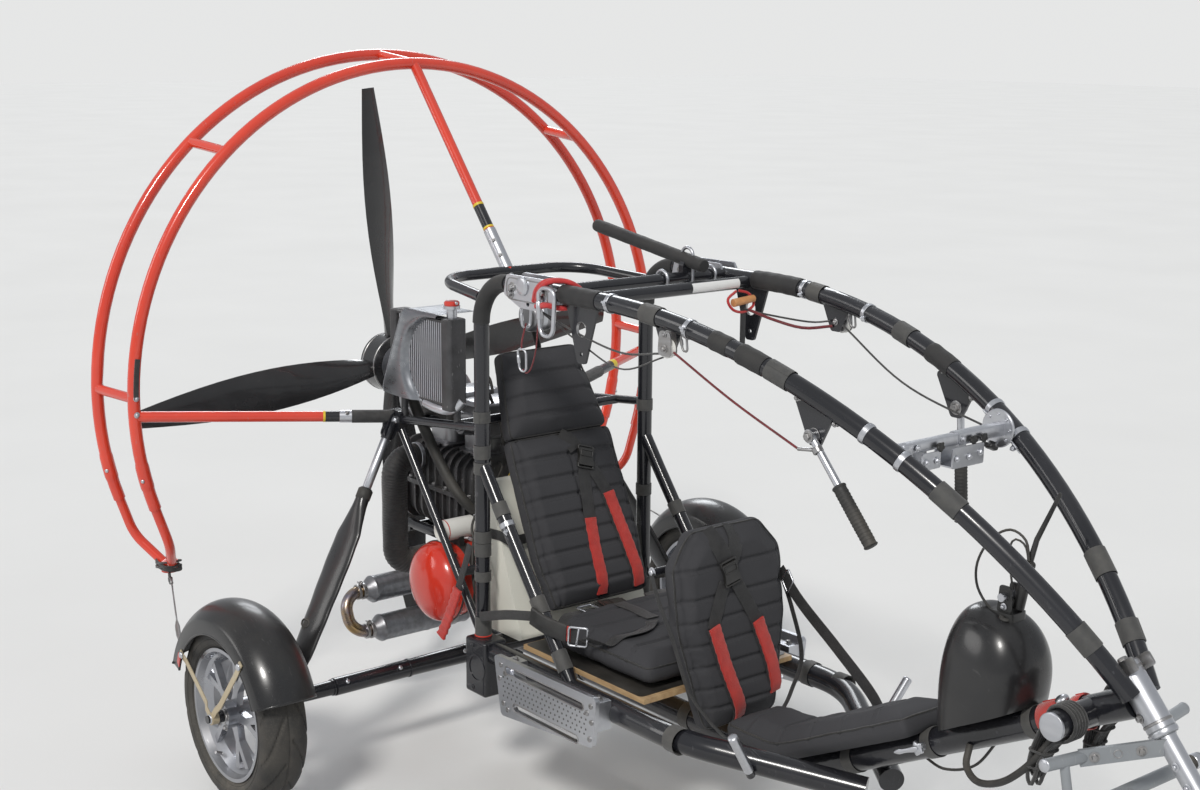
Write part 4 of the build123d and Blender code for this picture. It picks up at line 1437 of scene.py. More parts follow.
@dataclass
class Seats:
    """Both seats with their covers and shoulder belts.

    Attributes:
        rear_lean: Lean of the rear backrest, in degrees.
        front_lean: Lean of the front backrest.
        channel: Heights of the rear backrest's channels.
        front_channel: Heights of the front backrest's channels.
        belts: Rows of name, pad, points of the middle line in the pad's plane, and width.
        buckles: Rows of name, pad, place, turn in degrees, and size.
    """

    rear_lean: float = 24.6
    front_lean: float = 8.5
    channel: Sequence[float] = (0.053, 0.096, 0.142, 0.186, 0.233, 0.280, 0.330, 0.384)
    front_channel: Sequence[float] = (0.060, 0.106, 0.158, 0.210, 0.264, 0.316, 0.384)
    belts: Sequence[tuple[str, str, Sequence[tuple[float, float]], float]] = (
        ("rear_belt_yoke", "back", [(-0.012, 0.436), (0.004, 0.42), (0.016, 0.392)], 0.046),
        ("rear_belt_black_right", "back", [(0.045, 0.344), (0.064, 0.3), (0.078, 0.262)], 0.036),
        ("rear_belt_black_left", "back", [(0.024, 0.344), (0.012, 0.28), (0.002, 0.205)], 0.036),
        ("rear_belt_red_right", "back", [(0.077, 0.268), (0.096, 0.14), (0.112, 0.02)], 0.034),
        ("rear_belt_red_left", "back", [(0.002, 0.212), (-0.006, 0.1), (-0.008, 0.02)], 0.034),
        ("rear_lap_right", "cushion", [(-0.206, 0.33), (-0.13, 0.372), (-0.05, 0.384)], 0.042),
        ("rear_lap_left", "cushion", [(0.206, 0.33), (0.15, 0.36), (0.1, 0.372)], 0.042),
        ("rear_crotch_belt", "cushion", [(-0.01, 0.39), (-0.014, 0.3), (-0.02, 0.21)], 0.036),
        ("front_belt_yoke_right", "front", [(-0.062, 0.468), (-0.05, 0.43), (-0.03, 0.388)], 0.044),
        ("front_belt_yoke_left", "front", [(0.016, 0.468), (0.006, 0.43), (-0.016, 0.388)], 0.044),
        ("front_belt_black_right", "front", [(-0.04, 0.344), (-0.068, 0.29), (-0.086, 0.244)], 0.036),
        ("front_belt_black_left", "front", [(-0.008, 0.344), (0.028, 0.28), (0.05, 0.234)], 0.036),
        ("front_belt_red_right", "front", [(-0.086, 0.25), (-0.052, 0.13), (-0.01, 0.02)], 0.034),
        ("front_belt_red_left", "front", [(0.049, 0.24), (0.082, 0.14), (0.098, 0.06)], 0.034))
    buckles: Sequence[tuple[str, str, tuple[float, float], float, tuple[float, float]]] = (
        ("rear_belt_buckle", "back", (0.034, 0.366), -18, (0.05, 0.046)),
        ("rear_lap_buckle", "cushion", (-0.016, 0.372), 78, (0.05, 0.062)),
        ("front_belt_buckle", "front", (-0.026, 0.366), 12, (0.05, 0.046)))

    def build(self) -> None:
        """Make the pads and then the belts that lie on them."""
        rear = leaning((-0.524, 0.486), self.rear_lean, 0.68)
        front = leaning((-0.016, 0.320), self.front_lean, 0.478)
        self.head = Pad("rear_head_pad", [(-0.167, 0.437), (0.167, 0.437), (0.128, 0.680), (-0.128, 0.680)],
                        rear, 0.062, 0.024, (0.497, 0.548, 0.602), 0.0065)
        self.back = Pad("rear_back_pad", [(-0.158, 0.0), (0.158, 0.0), (0.174, 0.14), (0.169, 0.452),
                                          (-0.169, 0.452), (-0.174, 0.14)], rear, 0.062, 0.022, self.channel,
                        0.0065, (0.0, 0.40), 0.028, replaces=("rear_seat_back",))
        self.rear = Pad("rear_cushion", [(-0.215, 0.0), (0.215, 0.0), (0.215, 0.4), (-0.215, 0.4)],
                        [(-0.112, 0.482), (-0.512, 0.482)], 0.058, 0.035, (0.09, 0.17, 0.25, 0.33), 0.005,
                        replaces=("rear_seat_cushion",))
        self.front = Pad("front_back_pad", [(-0.120, 0.0), (0.120, 0.0), (0.176, 0.24), (0.176, 0.40),
                                            (0.110, 0.478), (-0.110, 0.478), (-0.176, 0.40), (-0.176, 0.24)],
                         front, 0.058, 0.036, self.front_channel, 0.0055, None, 0.026,
                         replaces=("front_seat_back",))
        self.long = Pad("front_cushion", [(-0.092, 0.0), (0.092, 0.0), (0.092, 0.569), (-0.092, 0.569)],
                        [(0.528, 0.545), (0.164, 0.366), (0.0, 0.366)], 0.055, 0.024,
                        (0.1, 0.2, 0.3, 0.4, 0.5), 0.005, replaces=("front_seat_cushion",))
        for pad in (self.head, self.back, self.rear, self.front, self.long):
            pad.build()
        self.harness()

    def belt(self, name: str, pad: Pad, flat: Sequence[tuple[float, float]], width: float, finish: Finish,
             lift: float = 0.0016, ribs: float = 0.0) -> None:
        """Lay a belt over a pad.

        The middle line is landed on the face and smoothed, and its width keeps square to the line in the
        face. Ribs swell its thickness as a sine of the distance along it.

        Args:
            name: Name of the piece.
            pad: Pad that it lies on.
            flat: Points of its middle line in the pad's plane.
            width: Its width.
            finish: Its finish.
            lift: Height over the face.
            ribs: How much the ribs swell, as a share.
        """
        line = through([(across, up, 0.0) for across, up in flat], 0.009)[:, :2]
        path = calmed(pad.on_face(line, lift), 5)
        across = np.cross(unit(np.gradient(path, axis=0)), pad.facing())
        scale = 1 + ribs * np.sin(np.arange(len(path)) * 2.4)
        thickness, corner = (0.0075, 0.0034) if ribs else (0.0022, 0.001)
        strip = sweep(path, oblong(thickness, width, corner, 4), steady=across, scale=scale)
        piece(name, strip, finish, 70)

    def buckle(self, name: str, pad: Pad, at: tuple[float, float], turn: float,
               size: tuple[float, float]) -> None:
        """Side-release buckle: a rounded body with a waist, a bar at each end and two press pads.

        Args:
            name: Name of the piece.
            pad: Pad that it lies on.
            at: Place in the pad's plane.
            turn: Turn in that plane, in degrees.
            size: Width and height.
        """
        width, height = size
        centre = pad.on_face(np.array([at]), 0.007)[0]
        out = pad.facing()
        level = np.array([0.0, 1.0, 0.0])
        up = np.cross(out, level)
        body_thickness = 0.009
        lean = math.radians(turn)
        u, v = level * math.cos(lean) + up * math.sin(lean), up * math.cos(lean) - level * math.sin(lean)
        outline = rounded(np.array([(-0.5, -0.5), (0.5, -0.5), (0.42, -0.1), (0.42, 0.1), (0.5, 0.5),
                                    (-0.5, 0.5), (-0.42, 0.1), (-0.42, -0.1)]) * (width, height), 0.004, 4)
        body = plate(outline, body_thickness, centre, u, v)
        window = loop_frame(centre + out * 0.005 + v * height * 0.2, u, v, width * 0.7, height * 0.34, 0.003,
                            0.0016)
        bars = many(rod, [(centre + v * end * height * 0.62 - u * width * 0.42,
                           centre + v * end * height * 0.62 + u * width * 0.42, 0.0026) for end in (-1, 1)])
        arms = many(rod, [(centre + u * side * width * 0.45 + v * end * height * 0.4,
                           centre + u * side * width * 0.45 + v * end * height * 0.64, 0.0026)
                          for side in SIDES for end in (-1, 1)])
        piece(name, together([body, window, bars, arms]), BUCKLE_PLASTIC, 35)

    def harness(self) -> None:
        """Lay the belts of both seats from their table and set the buckles."""
        pads = {"back": self.back, "cushion": self.rear, "front": self.front}
        for name, pad, flat, width in self.belts:
            red = "red" in name
            self.belt(name, pads[pad], flat, width + 0.010 * red, WEBBING, 0.003)
            if red:
                self.belt(name + "_face", pads[pad], flat, width, RED_WEBBING, 0.0062, 0.05)
        for name, pad, at, turn, size in self.buckles:
            self.buckle(name, pads[pad], at, turn, size)
        line = through([(across, up, 0.0) for across, up in [(-0.205, 0.172), (-0.165, 0.150), (-0.10, 0.152),
                                                             (-0.04, 0.19)]], 0.009)[:, :2]
        strap = np.concatenate([[(-0.300, -0.250, 0.503), (-0.290, -0.232, 0.508)],
                                self.rear.on_face(line, 0.004)])
        strip = sweep(even(calmed(strap, 3), 0.008), oblong(0.0022, 0.036, 0.001, 4), steady=(1, 0.2, 0.25))
        piece("rear_side_laps", both(strip), WEBBING, 70)
        spot = self.rear.on_face(np.array([(-0.10, 0.374), (-0.066, 0.379)]), 0.009)
        tongue = loop_frame(spot.mean(0), spot[1] - spot[0], (-1, 0, 0), 0.05, 0.052, 0.006, 0.003)
        piece("rear_lap_adjuster", tongue, BRIGHT_ALLOY, 50)
        # black sheet over the top of the plywood seat board: painted shade that darkens the board round the
        # rear cushion
        face = plate(rounded([(-0.556, -0.232), (-0.116, -0.232), (-0.116, 0.232), (-0.556, 0.232)], 0.012),
                     0.0016, (0, 0, 0.4114), AHEAD, ACROSS)
        piece("seat_board_painted_shade", face, BUCKLE_PLASTIC, 30)


@dataclass
class SideStraps:
    """Straps beside the seats: the lap belt from the mast, and those of the front seat.

    Attributes:
        bar_x: Station of the bar behind the front backrest.
        bar_z: Height of that bar.
        bar_half: Half of its length.
    """

    bar_x: float = -0.140
    bar_z: float = 0.692
    bar_half: float = 0.182

    def build(self) -> None:
        """Make straps, adjusters and the bar."""
        outer = webbing([(-0.677, -0.284, 0.461), (-0.56, -0.286, 0.498), (-0.452, -0.286, 0.524)],
                        (0.25, 0, 1), 0.024, 0.0026)
        outer = outer + webbing([(-0.36, -0.2695, 0.506), (-0.330, -0.262, 0.505), (-0.318, -0.258, 0.504)],
                                (0.25, 0, 1), 0.038, 0.0026)
        long_strap = webbing([(-0.095, 0.181, 0.642), (-0.015, 0.171, 0.583), (0.14, 0.137, 0.518),
                              (0.288, 0.102, 0.452), (0.315, 0.096, 0.40), (0.31, 0.075, 0.372)],
                             (0.45, 0.1, 0.9), 0.030, 0.0024)
        piece("side_straps", both(outer) + long_strap, WEBBING, 70)
        pad = webbing([(-0.458, -0.2865, 0.524), (-0.43, -0.286, 0.519), (-0.40, -0.281, 0.512),
                       (-0.345, -0.267, 0.5055)], (0.25, 0, 1), 0.046, 0.009)
        piece("side_belt_latches", both(pad), BUCKLE_PLASTIC, 60)
        tab = webbing([(-0.352, -0.2695, 0.508), (-0.335, -0.2635, 0.506)], (0.25, 0, 1), 0.040, 0.0035,
                      0.004)
        piece("side_belt_tabs", both(tab), RED_WEBBING, 70)
        frames = [loop_frame((-0.316, -0.257, 0.504), (0.8, 0.55, 0), (0.2, -0.1, 1), 0.046, 0.05, 0.006,
                             0.0028), rod((-0.320, -0.259, 0.482), (-0.312, -0.257, 0.527), 0.0026)]
        sliders = both(together(frames)) + loop_frame((-0.066, 0.1785, 0.620), (0.64, -0.1, -0.76),
                                                      (0.45, 0.1, 0.9), 0.034, 0.034, 0.005, 0.0026)
        piece("side_belt_adjusters", sliders, BRIGHT_ALLOY, 50)
        bar = rod((self.bar_x, -self.bar_half, self.bar_z), (self.bar_x, self.bar_half, self.bar_z), 0.0085)
        piece("front_back_bar", bar, BLACK_COAT)
        ends = bolt((self.bar_x, -self.bar_half, self.bar_z), (0, -1, 0), 0.013, 0.006)
        piece("front_bar_bolts", both(ends), BRIGHT_ALLOY, 35)
        thin = webbing([(-0.142, -0.186, 0.695), (-0.105, -0.191, 0.63), (-0.060, -0.188, 0.555),
                        (-0.014, -0.180, 0.449), (0.0, -0.135, 0.376), (0.004, -0.105, 0.340),
                        (0.0, -0.075, 0.312)], (1, 0, 0.35), 0.014, 0.002)
        piece("front_side_straps", both(thin), WEBBING, 70)


# Engine, cooling, exhaust and rescue canister

DARK_CAST = Finish("dark_casting", (0.06, 0.06, 0.063), (0.1, 0.1, 0.105), 0.5, 0.16, metallic=0.7,
                   pattern=Pattern.CAST, scale=520, relief=0.00012, wear=0.35, bare=(0.5, 0.5, 0.5), dust=0.2,
                   slot="cast_alloy")
SCOOP_SHEET = Finish("scoop_sheet", (0.3, 0.31, 0.33), (0.24, 0.25, 0.27), 0.3, 0.14, metallic=1,
                     pattern=Pattern.BRUSHED, scale=90, relief=0.00002, wear=0.12, bare=(0.6, 0.6, 0.6),
                     dust=0.05, slot="alloy")
CORE = Finish("cooler_core", (0.03, 0.03, 0.032), (0.06, 0.06, 0.062), 0.5, 0.2, metallic=0.5,
              pattern=Pattern.BRUSHED, scale=200, relief=0.0001, dust=0.2, slot="cast_alloy")
TINTED_STEEL = Finish("tinted_steel", (0.42, 0.29, 0.14), (0.2, 0.2, 0.27), 0.26, 0.14, metallic=1,
                      pattern=Pattern.CAST, scale=26, relief=0.00004, wear=0.15, bare=(0.7, 0.6, 0.45),
                      dust=0.14, slot="steel_grey")
CAN_STEEL = Finish("can_steel", (0.3, 0.31, 0.33), (0.22, 0.22, 0.235), 0.38, 0.16, metallic=1,
                   pattern=Pattern.BRUSHED, scale=70, relief=0.00003, wear=0.3, bare=(0.55, 0.55, 0.55),
                   dust=0.2, slot="steel_grey")
WHITE_TUBE = Finish("white_tube", (0.8, 0.8, 0.78), (0.68, 0.67, 0.63), 0.36, 0.12, pattern=Pattern.PEEL,
                    scale=90, relief=0.00004, wear=0.1, bare=(0.5, 0.5, 0.48), bare_metal=False, dust=0.14,
                    slot="tank_plastic")
HOSE_CLOTH = Finish("hose_cloth", (0.012, 0.012, 0.013), (0.03, 0.03, 0.031), 0.6, 0.12,
                    pattern=Pattern.WEAVE, scale=520, relief=0.0002, dust=0.16, sheen=0.3, slot="hose_rubber")
YELLOW_WIRE = Finish("yellow_wire", (0.72, 0.5, 0.04), (0.6, 0.4, 0.03), 0.42, 0.1, dust=0.15,
                     slot="hose_rubber")


@dataclass
class Engine:
    """Twin in-line engine: ribbed crankcase, two water-jacketed barrels, reduction drive and pipework.

    Attributes:
        case: Lowest and highest corner of the crankcase.
        barrels: Stations of the two barrels.
        drive: Centre of the drive housing.
    """

    case: tuple[Point, Point] = ((-1.24, -0.148, 0.566), (-0.90, 0.148, 0.80))
    barrels: tuple[float, float] = (-1.15, -0.99)
    drive: Point = (-1.29, 0.0, 0.886)

    def build(self) -> None:
        """Make the castings first and then what is bolted on."""
        piece("crankcase", self.crankcase(), DARK_CAST, replaces=("engine",))
        piece("barrels", together(self.barrel(x) for x in self.barrels), CAST_ALLOY)
        piece("reduction_drive", self.reduction(), CAST_ALLOY)
        piece("engine_fasteners", self.fasteners(), STEEL, 30)
        piece("engine_hoses", self.hoses(), RUBBER, 60)
        piece("engine_hose_clips", self.clips(), BRIGHT_ALLOY, 35)
        piece("engine_auxiliaries", self.auxiliaries(), DARK_CAST)
        piece("ignition_leads", self.leads(), RUBBER, 60)
        piece("engine_yellow_wires", self.wires(), YELLOW_WIRE, 60)
        piece("drive_hub", self.hub(), STEEL, 30, body="propeller")

    def crankcase(self) -> Surface:
        """An oblong section carried fore and aft, whose size steps up at each rib and at both end flanges.

        Returns:
            The crankcase with its seam and sump.
        """
        low, high = np.array(self.case[0]), np.array(self.case[1])
        middle = (low + high) / 2
        size = high - low
        ribs = np.linspace(0.05, 0.95, 10)
        share, scale = [0.0, 0.004, 0.03, 0.034], [0.95, 1.0, 1.0, 0.90]
        for rib in ribs[1:-1]:
            share += [rib - 0.012, rib - 0.009, rib + 0.009, rib + 0.012]
            scale += [0.90, 0.96, 0.96, 0.90]
        share += [0.966, 0.97, 0.996, 1.0]
        scale += [0.90, 1.0, 1.0, 0.95]
        path = np.stack([low[0] + np.array(share) * size[0], np.full(len(share), middle[1]),
                         np.full(len(share), middle[2])], -1)
        body = sweep(path, oblong(size[1], size[2], 0.05, 7), UP, np.array(scale))
        seam = plate(rounded([(-0.17, -0.148), (0.17, -0.148), (0.17, 0.148), (-0.17, 0.148)], 0.03),
                     0.012, middle, AHEAD, ACROSS)
        sump = sweep([middle - (0, 0, 0.117), middle - (0, 0, 0.121)], oblong(0.27, 0.2, 0.03, 5), ACROSS)
        return together([body, seam, sump])

    def barrel(self, x: float) -> Surface:
        """Base flange, jacket with two bands, head and its cover, each an oblong section carried upward.

        Args:
            x: Its station.

        Returns:
            The barrel.
        """
        # height, width of the section as a share
        rows = np.array([(0.786, 0.96), (0.788, 1.0), (0.797, 1.0), (0.799, 0.86), (0.835, 0.86),
                         (0.837, 0.9), (0.842, 0.9), (0.844, 0.86), (0.878, 0.86), (0.880, 0.97),
                         (0.884, 1.0), (0.898, 1.0), (0.900, 0.93), (0.920, 0.93), (0.928, 0.86),
                         (0.930, 0.8)])
        path = np.stack([np.full(len(rows), x), np.zeros(len(rows)), rows[:, 0]], -1)
        jacket = sweep(path, oblong(0.2, 0.13, 0.034, 6), AHEAD, rows[:, 1])
        plugs = many(rod, [((x, y, 0.926), (x, y, 0.946), 0.011, 0.009) for y in (-0.045, 0.045)])
        spigot = rod((x, -0.09, 0.86), (x, -0.124, 0.868), 0.02)
        exhaust = rod((x, 0.085, 0.84), (x, 0.128, 0.82), 0.026, 0.023)
        return together([jacket, plugs, spigot, exhaust])

    def reduction(self) -> Surface:
        """Round housing turned from its profile, with a neck to the propeller's shaft.

        Returns:
            The housing.
        """
        profile = np.array([(0.0891, -0.055), (0.092, -0.051), (0.092, -0.036), (0.084, -0.033),
                            (0.082, 0.02), (0.092, 0.024), (0.092, 0.048), (0.084, 0.055), (0.05, 0.056)])
        housing = lathe(self.drive, AHEAD, profile, 48)
        neck = lathe((-1.36, 0, SHAFT_Z), (-1, 0, 0), [(0.046, -0.06), (0.044, 0.0), (0.034, 0.014),
                                                       (0.03, 0.07), (0.03, 0.118)], 36)
        ear = sweep([(-1.31, 0, 0.9), (-1.31, 0, 0.95)], oblong(0.1, 0.1, 0.03, 5), ACROSS)
        ribs = many(plate,
                    [(np.array([(-0.048, -0.01), (0.048, -0.01), (0.048, 0.012), (-0.048, 0.012)]), 0.006,
                      np.array(self.drive) + 0.078 * np.array([0, math.cos(a), math.sin(a)]), AHEAD,
                      (0, math.cos(a), math.sin(a))) for a in np.arange(8) * math.pi / 4 + 0.3])
        return together([housing, neck, ear, ribs])

    def hub(self) -> Surface:
        """Bolt circle on the propeller's drum, and its clamp plates.

        Returns:
            Bolts, disc and bands.
        """
        x = DRUM_X
        angle = np.arange(8) * math.pi / 4
        rear = many(bolt,
                    [((x - 0.0392, 0.05 * math.cos(a), SHAFT_Z + 0.05 * math.sin(a)), (-1, 0, 0), 0.013,
                      0.008) for a in angle])
        disc = lathe((x - 0.039, 0, SHAFT_Z), (-1, 0, 0), [(0.034, 0), (0.034, 0.006), (0.026, 0.008),
                                                           (0.02, 0.016), (0.012, 0.017)], 28)
        bands = many(collar, [((x + step, 0, SHAFT_Z), AHEAD, 0.0838, 0.0852, 0.006)
                              for step in (-0.03, 0.03)])
        return together([rear, disc, bands])

    def fasteners(self) -> Surface:
        """Head bolts, case bolts and the ring of bolts on the drive.

        Returns:
            The bolts.
        """
        rows = [((x + dx, dy, 0.899), UP, 0.012, 0.007) for x in self.barrels
                for dx in (-0.052, 0.052) for dy in (-0.08, -0.028, 0.028, 0.08)]
        rows += [((x, side * 0.139, 0.689), UP, 0.01, 0.006) for x in np.linspace(-1.21, -0.93, 6)
                 for side in SIDES]
        rows += [((-0.9, side * 0.12, z), AHEAD, 0.011, 0.006) for side in SIDES for z in (0.6, 0.766)]
        rows += [((-1.235, 0.087 * math.cos(a), 0.886 + 0.087 * math.sin(a)), AHEAD, 0.009, 0.005)
                 for a in np.arange(8) * math.pi / 4 + 0.2]
        return many(bolt, rows)

    def hoses(self) -> Surface:
        """Coolant hoses between the heads, the radiator and the pump, and the breather.

        Returns:
            The hoses.
        """
        routes = [([(-0.99, -0.12, 0.868), (-0.965, -0.17, 0.9), (-0.90, -0.2, 0.94), (-0.855, -0.235, 0.965),
                    (-0.84, -0.262, 0.99)], 0.0145),
                  ([(-1.15, -0.12, 0.868), (-1.1, -0.165, 0.9), (-1.02, -0.175, 0.91),
                    (-0.965, -0.165, 0.895)], 0.013),
                  ([(-1.04, -0.25, 0.975), (-1.05, -0.215, 0.9), (-1.0, -0.185, 0.78), (-0.93, -0.17, 0.7),
                    (-0.895, -0.12, 0.64)], 0.0145),
                  ([(-0.85, 0.0, 1.16), (-0.88, 0.05, 1.08), (-0.92, 0.07, 1.0), (-0.96, 0.04, 0.945)],
                   0.008),
                  ([(-0.93, 0.13, 0.74), (-0.86, 0.17, 0.72), (-0.82, 0.2, 0.62), (-0.81, 0.19, 0.5)], 0.006)]
        return together(cable(points, radius, 0.012, 14) for points, radius in routes)

    def clips(self) -> Surface:
        """Worm-drive clips at the hose ends.

        Returns:
            The clips.
        """
        # place, direction, hose radius
        rows = [((-0.985, -0.133, 0.874), (0.4, -0.8, 0.4), 0.0146),
                ((-0.844, -0.255, 0.984), (0.2, -0.5, 0.8), 0.0146),
                ((-1.142, -0.13, 0.873), (0.5, -0.8, 0.3), 0.0131),
                ((-1.042, -0.244, 0.962), (0.1, 0.4, -0.9), 0.0146),
                ((-0.905, -0.133, 0.652), (0.4, 0.6, -0.6), 0.0146)]
        return together(hose_clip(at, run, radius, UP) for at, run, radius in rows)

    def auxiliaries(self) -> Surface:
        """Carburettors, starter motor and coils beside the block.

        Returns:
            The auxiliaries.
        """
        carbs = []
        for x in self.barrels:
            carbs.append(lathe((x, 0.1, 0.84), (0, 1, -0.1),
                               [(0.026, 0), (0.026, 0.02), (0.022, 0.022), (0.022, 0.036), (0.03, 0.04),
                                (0.03, 0.052), (0.024, 0.056)], 28))
            carbs.append(lathe((x, 0.135, 0.79), (0, 0, -1), [(0.024, -0.02), (0.025, 0), (0.025, 0.028),
                                                              (0.018, 0.034), (0.006, 0.038)], 24))
            carbs.append(dome_cap((x, 0.135, 0.835), UP, 0.022, 0.04))
        starter = lathe((-1.23, 0.09, 0.73), (-1, 0, 0), [(0.034, 0), (0.036, 0.004), (0.036, 0.07),
                                                          (0.032, 0.076), (0.014, 0.08)], 30)
        coils = [sweep([(x, -0.04, 0.806), (x, 0.04, 0.806)], oblong(0.03, 0.026, 0.006), UP)
                 for x in (-1.07, -0.925)]
        pump = lathe((-0.897, -0.09, 0.63), AHEAD, [(0.05, 0), (0.05, 0.01), (0.044, 0.016),
                                                    (0.04, 0.03), (0.02, 0.036)], 30)
        filter_body = lathe((-0.93, 0.02, 0.72), AHEAD, [(0.03, -0.03), (0.036, -0.02), (0.036, 0.035),
                                                         (0.03, 0.045), (0.012, 0.048)], 30)
        return together(carbs + [starter, pump, filter_body] + coils)

    def leads(self) -> Surface:
        """Thick ignition leads from the coils to the plugs, and the loom down the front of the block.

        Returns:
            Leads and loom.
        """
        leads = []
        for x, coil in zip(self.barrels, (-1.07, -0.925)):
            for y in (-0.045, 0.045):
                leads.append(cable([(x, y, 0.945), (x, y, 0.968), (x + (coil - x) * 0.5, y * 1.25, 0.955),
                                    (coil, y * 0.9, 0.88), (coil, y * 0.7, 0.82)], 0.0042))
        loom = [cable([(-0.9, y, 0.78), (-0.86, y - 0.03, 0.76), (-0.80, -0.16 + y, 0.66),
                       (-0.75, -0.22, 0.58), (-0.725, -0.236, 0.50), (-0.722, -0.24, 0.42)], 0.0035)
                for y in (-0.06, -0.02, 0.03)]
        return together(leads + loom)

    def wires(self) -> Surface:
        """Two thin yellow wires that cross the front of the block.

        Returns:
            The wires.
        """
        return together(cable(points, 0.0016, 0.012, 6) for points in (
            [(-0.89, -0.02, 0.79), (-0.87, -0.06, 0.74), (-0.86, -0.12, 0.71), (-0.84, -0.16, 0.66)],
            [(-0.89, -0.10, 0.77), (-0.875, -0.12, 0.72), (-0.868, -0.1, 0.66), (-0.875, -0.05, 0.61)]))


@dataclass
class Cooler:
    """Radiator with its polished scoop, filler neck and lower elbow, and the bottle behind the head pad.

    Attributes:
        x: Rear and front edge of the core.
        z: Lower and upper edge of the core.
        face: Outer face of the core.
        tubes: Number of upright tubes.
    """

    x: tuple[float, float] = (-1.02, -0.822)
    z: tuple[float, float] = (0.982, 1.184)
    face: float = -0.290
    tubes: int = 22

    def build(self) -> None:
        """Make core, tanks, scoop and neck."""
        piece("radiator_core", self.core(), CORE, 30, replaces=("radiator",))
        piece("radiator_tubes", self.upright_tubes(), BRIGHT_ALLOY, 30)
        piece("radiator_tanks", self.tanks(), DARK_CAST)
        piece("radiator_scoop", self.scoop(), SCOOP_SHEET, 30, replaces=("radiator_shroud",))
        piece("radiator_neck", self.neck(), BRIGHT_ALLOY, 30)
        cap = lathe((-0.806, -0.272, 1.2285), UP, [(0.0185, 0), (0.0195, 0.002), (0.0195, 0.008),
                                                   (0.016, 0.011), (0.004, 0.0115)], 24)
        piece("radiator_cap", cap, RED_MOULD)
        piece("bottle_fittings", self.bottle(), BRIGHT_ALLOY, 30)

    def upright_tubes(self) -> Surface:
        """Flat upright tubes side by side, edge on.

        Returns:
            The tubes.
        """
        low, high = self.z
        stations = np.linspace(self.x[0] + 0.006, self.x[1] - 0.004, self.tubes)
        return together(sweep([(x, self.face + 0.001, low), (x, self.face + 0.001, high)],
                              oblong(0.0036, 0.008, 0.001, 3), ACROSS) for x in stations)

    def core(self) -> Surface:
        """Dark slab behind the tubes with fine level fins on its face.

        Returns:
            Slab and fins.
        """
        low, high = self.z
        centre = (sum(self.x) / 2, self.face + 0.021, sum(self.z) / 2)
        slab = plate(np.array([(-0.5, -0.5), (0.5, -0.5), (0.5, 0.5), (-0.5, 0.5)])
                     * (self.x[1] - self.x[0], high - low), 0.032, centre, AHEAD, UP)
        fins = [sweep([(self.x[0], self.face + 0.0052, z), (self.x[1], self.face + 0.0052, z)],
                      oblong(0.0008, 0.003, 0.0003, 2), ACROSS) for z in np.linspace(low, high, 46)]
        return together(fins + [slab])

    def tanks(self) -> Surface:
        """Rounded end tanks carried upward, with header plates and a drain boss.

        Returns:
            The tanks with their rims and feet.
        """
        front = sweep([(-0.8, -0.272, 0.966), (-0.8, -0.272, 0.968), (-0.8, -0.272, 1.194),
                       (-0.8, -0.272, 1.196)], oblong(0.042, 0.056, 0.012, 5), ACROSS,
                      [0.9, 1, 1, 0.9])
        rear = sweep([(-1.04, -0.272, 0.97), (-1.04, -0.272, 0.972), (-1.04, -0.272, 1.19),
                      (-1.04, -0.272, 1.192)], oblong(0.03, 0.056, 0.01, 5), ACROSS,
                     [0.9, 1, 1, 0.9])
        rims = [sweep([(-1.03, -0.272, z), (-0.82, -0.272, z)], oblong(0.044, 0.007, 0.002, 3), UP)
                for z in (0.979, 1.187)]
        feet = rod((-1.042, -0.263, 0.9), (-1.042, -0.263, 0.975), 0.009)
        feet += rod((-0.8, -0.263, 0.926), (-0.8, -0.263, 0.975), 0.009)
        return together([front, rear, feet] + rims)

    def scoop(self) -> Surface:
        """Folded sheet: a crescent face with a curled lip, and the walls behind its outer edge.

        Returns:
            Sheet, walls, hem and rivets.
        """
        lip = through([(-0.913, 0, 0.972), (-0.958, 0, 1.02), (-0.972, 0, 1.077), (-0.948, 0, 1.14),
                       (-0.885, 0, 1.186), (-0.822, 0, 1.194)], 0.012)
        outer = even(np.array([(-1.076, 0, 0.972), (-1.082, 0, 0.985), (-0.985, 0, 1.196), (-0.972, 0, 1.203),
                               (-0.822, 0, 1.204)]), 0.01)
        share = np.linspace(0, 1, 24)[:, None]
        rows = np.linspace(0, 1, len(lip))
        edge = np.stack([np.interp(rows, np.linspace(0, 1, len(outer)), outer[:, k]) for k in range(3)], -1)
        face = lip[None] * (1 - share[:, :, None]) + edge[None] * share[:, :, None]
        curl = 0.012 * np.exp(-(share / 0.14) ** 2) - 0.006 * np.sin(share * math.pi)
        face[:, :, 1] = -0.3045 + curl
        back = face.copy()
        back[:, :, 1] += 0.0018
        sheet = grid(np.concatenate([face, back[::-1]]), along=True)
        wall = edge.copy()
        depth = np.array([-0.304, -0.19])
        ruled = np.stack([np.stack([wall[:, 0], np.full(len(wall), y), wall[:, 2]], -1) for y in depth])
        inside = ruled + (0.0018, 0, 0)
        walls = grid(np.concatenate([ruled, inside[::-1]]), along=True)
        hem = sweep(edge + (0, -0.3035, 0), circle(0.0022, 8), ACROSS)
        spots = [(-1.05, 0.99), (-1.02, 1.06), (-0.99, 1.13), (-0.955, 1.185), (-0.89, 1.197)]
        rivets = many(socket_screw, [((x, -0.3046, z), (0, -1, 0), 0.0032, 0.0018) for x, z in spots])
        return together([sheet, walls, hem, rivets])

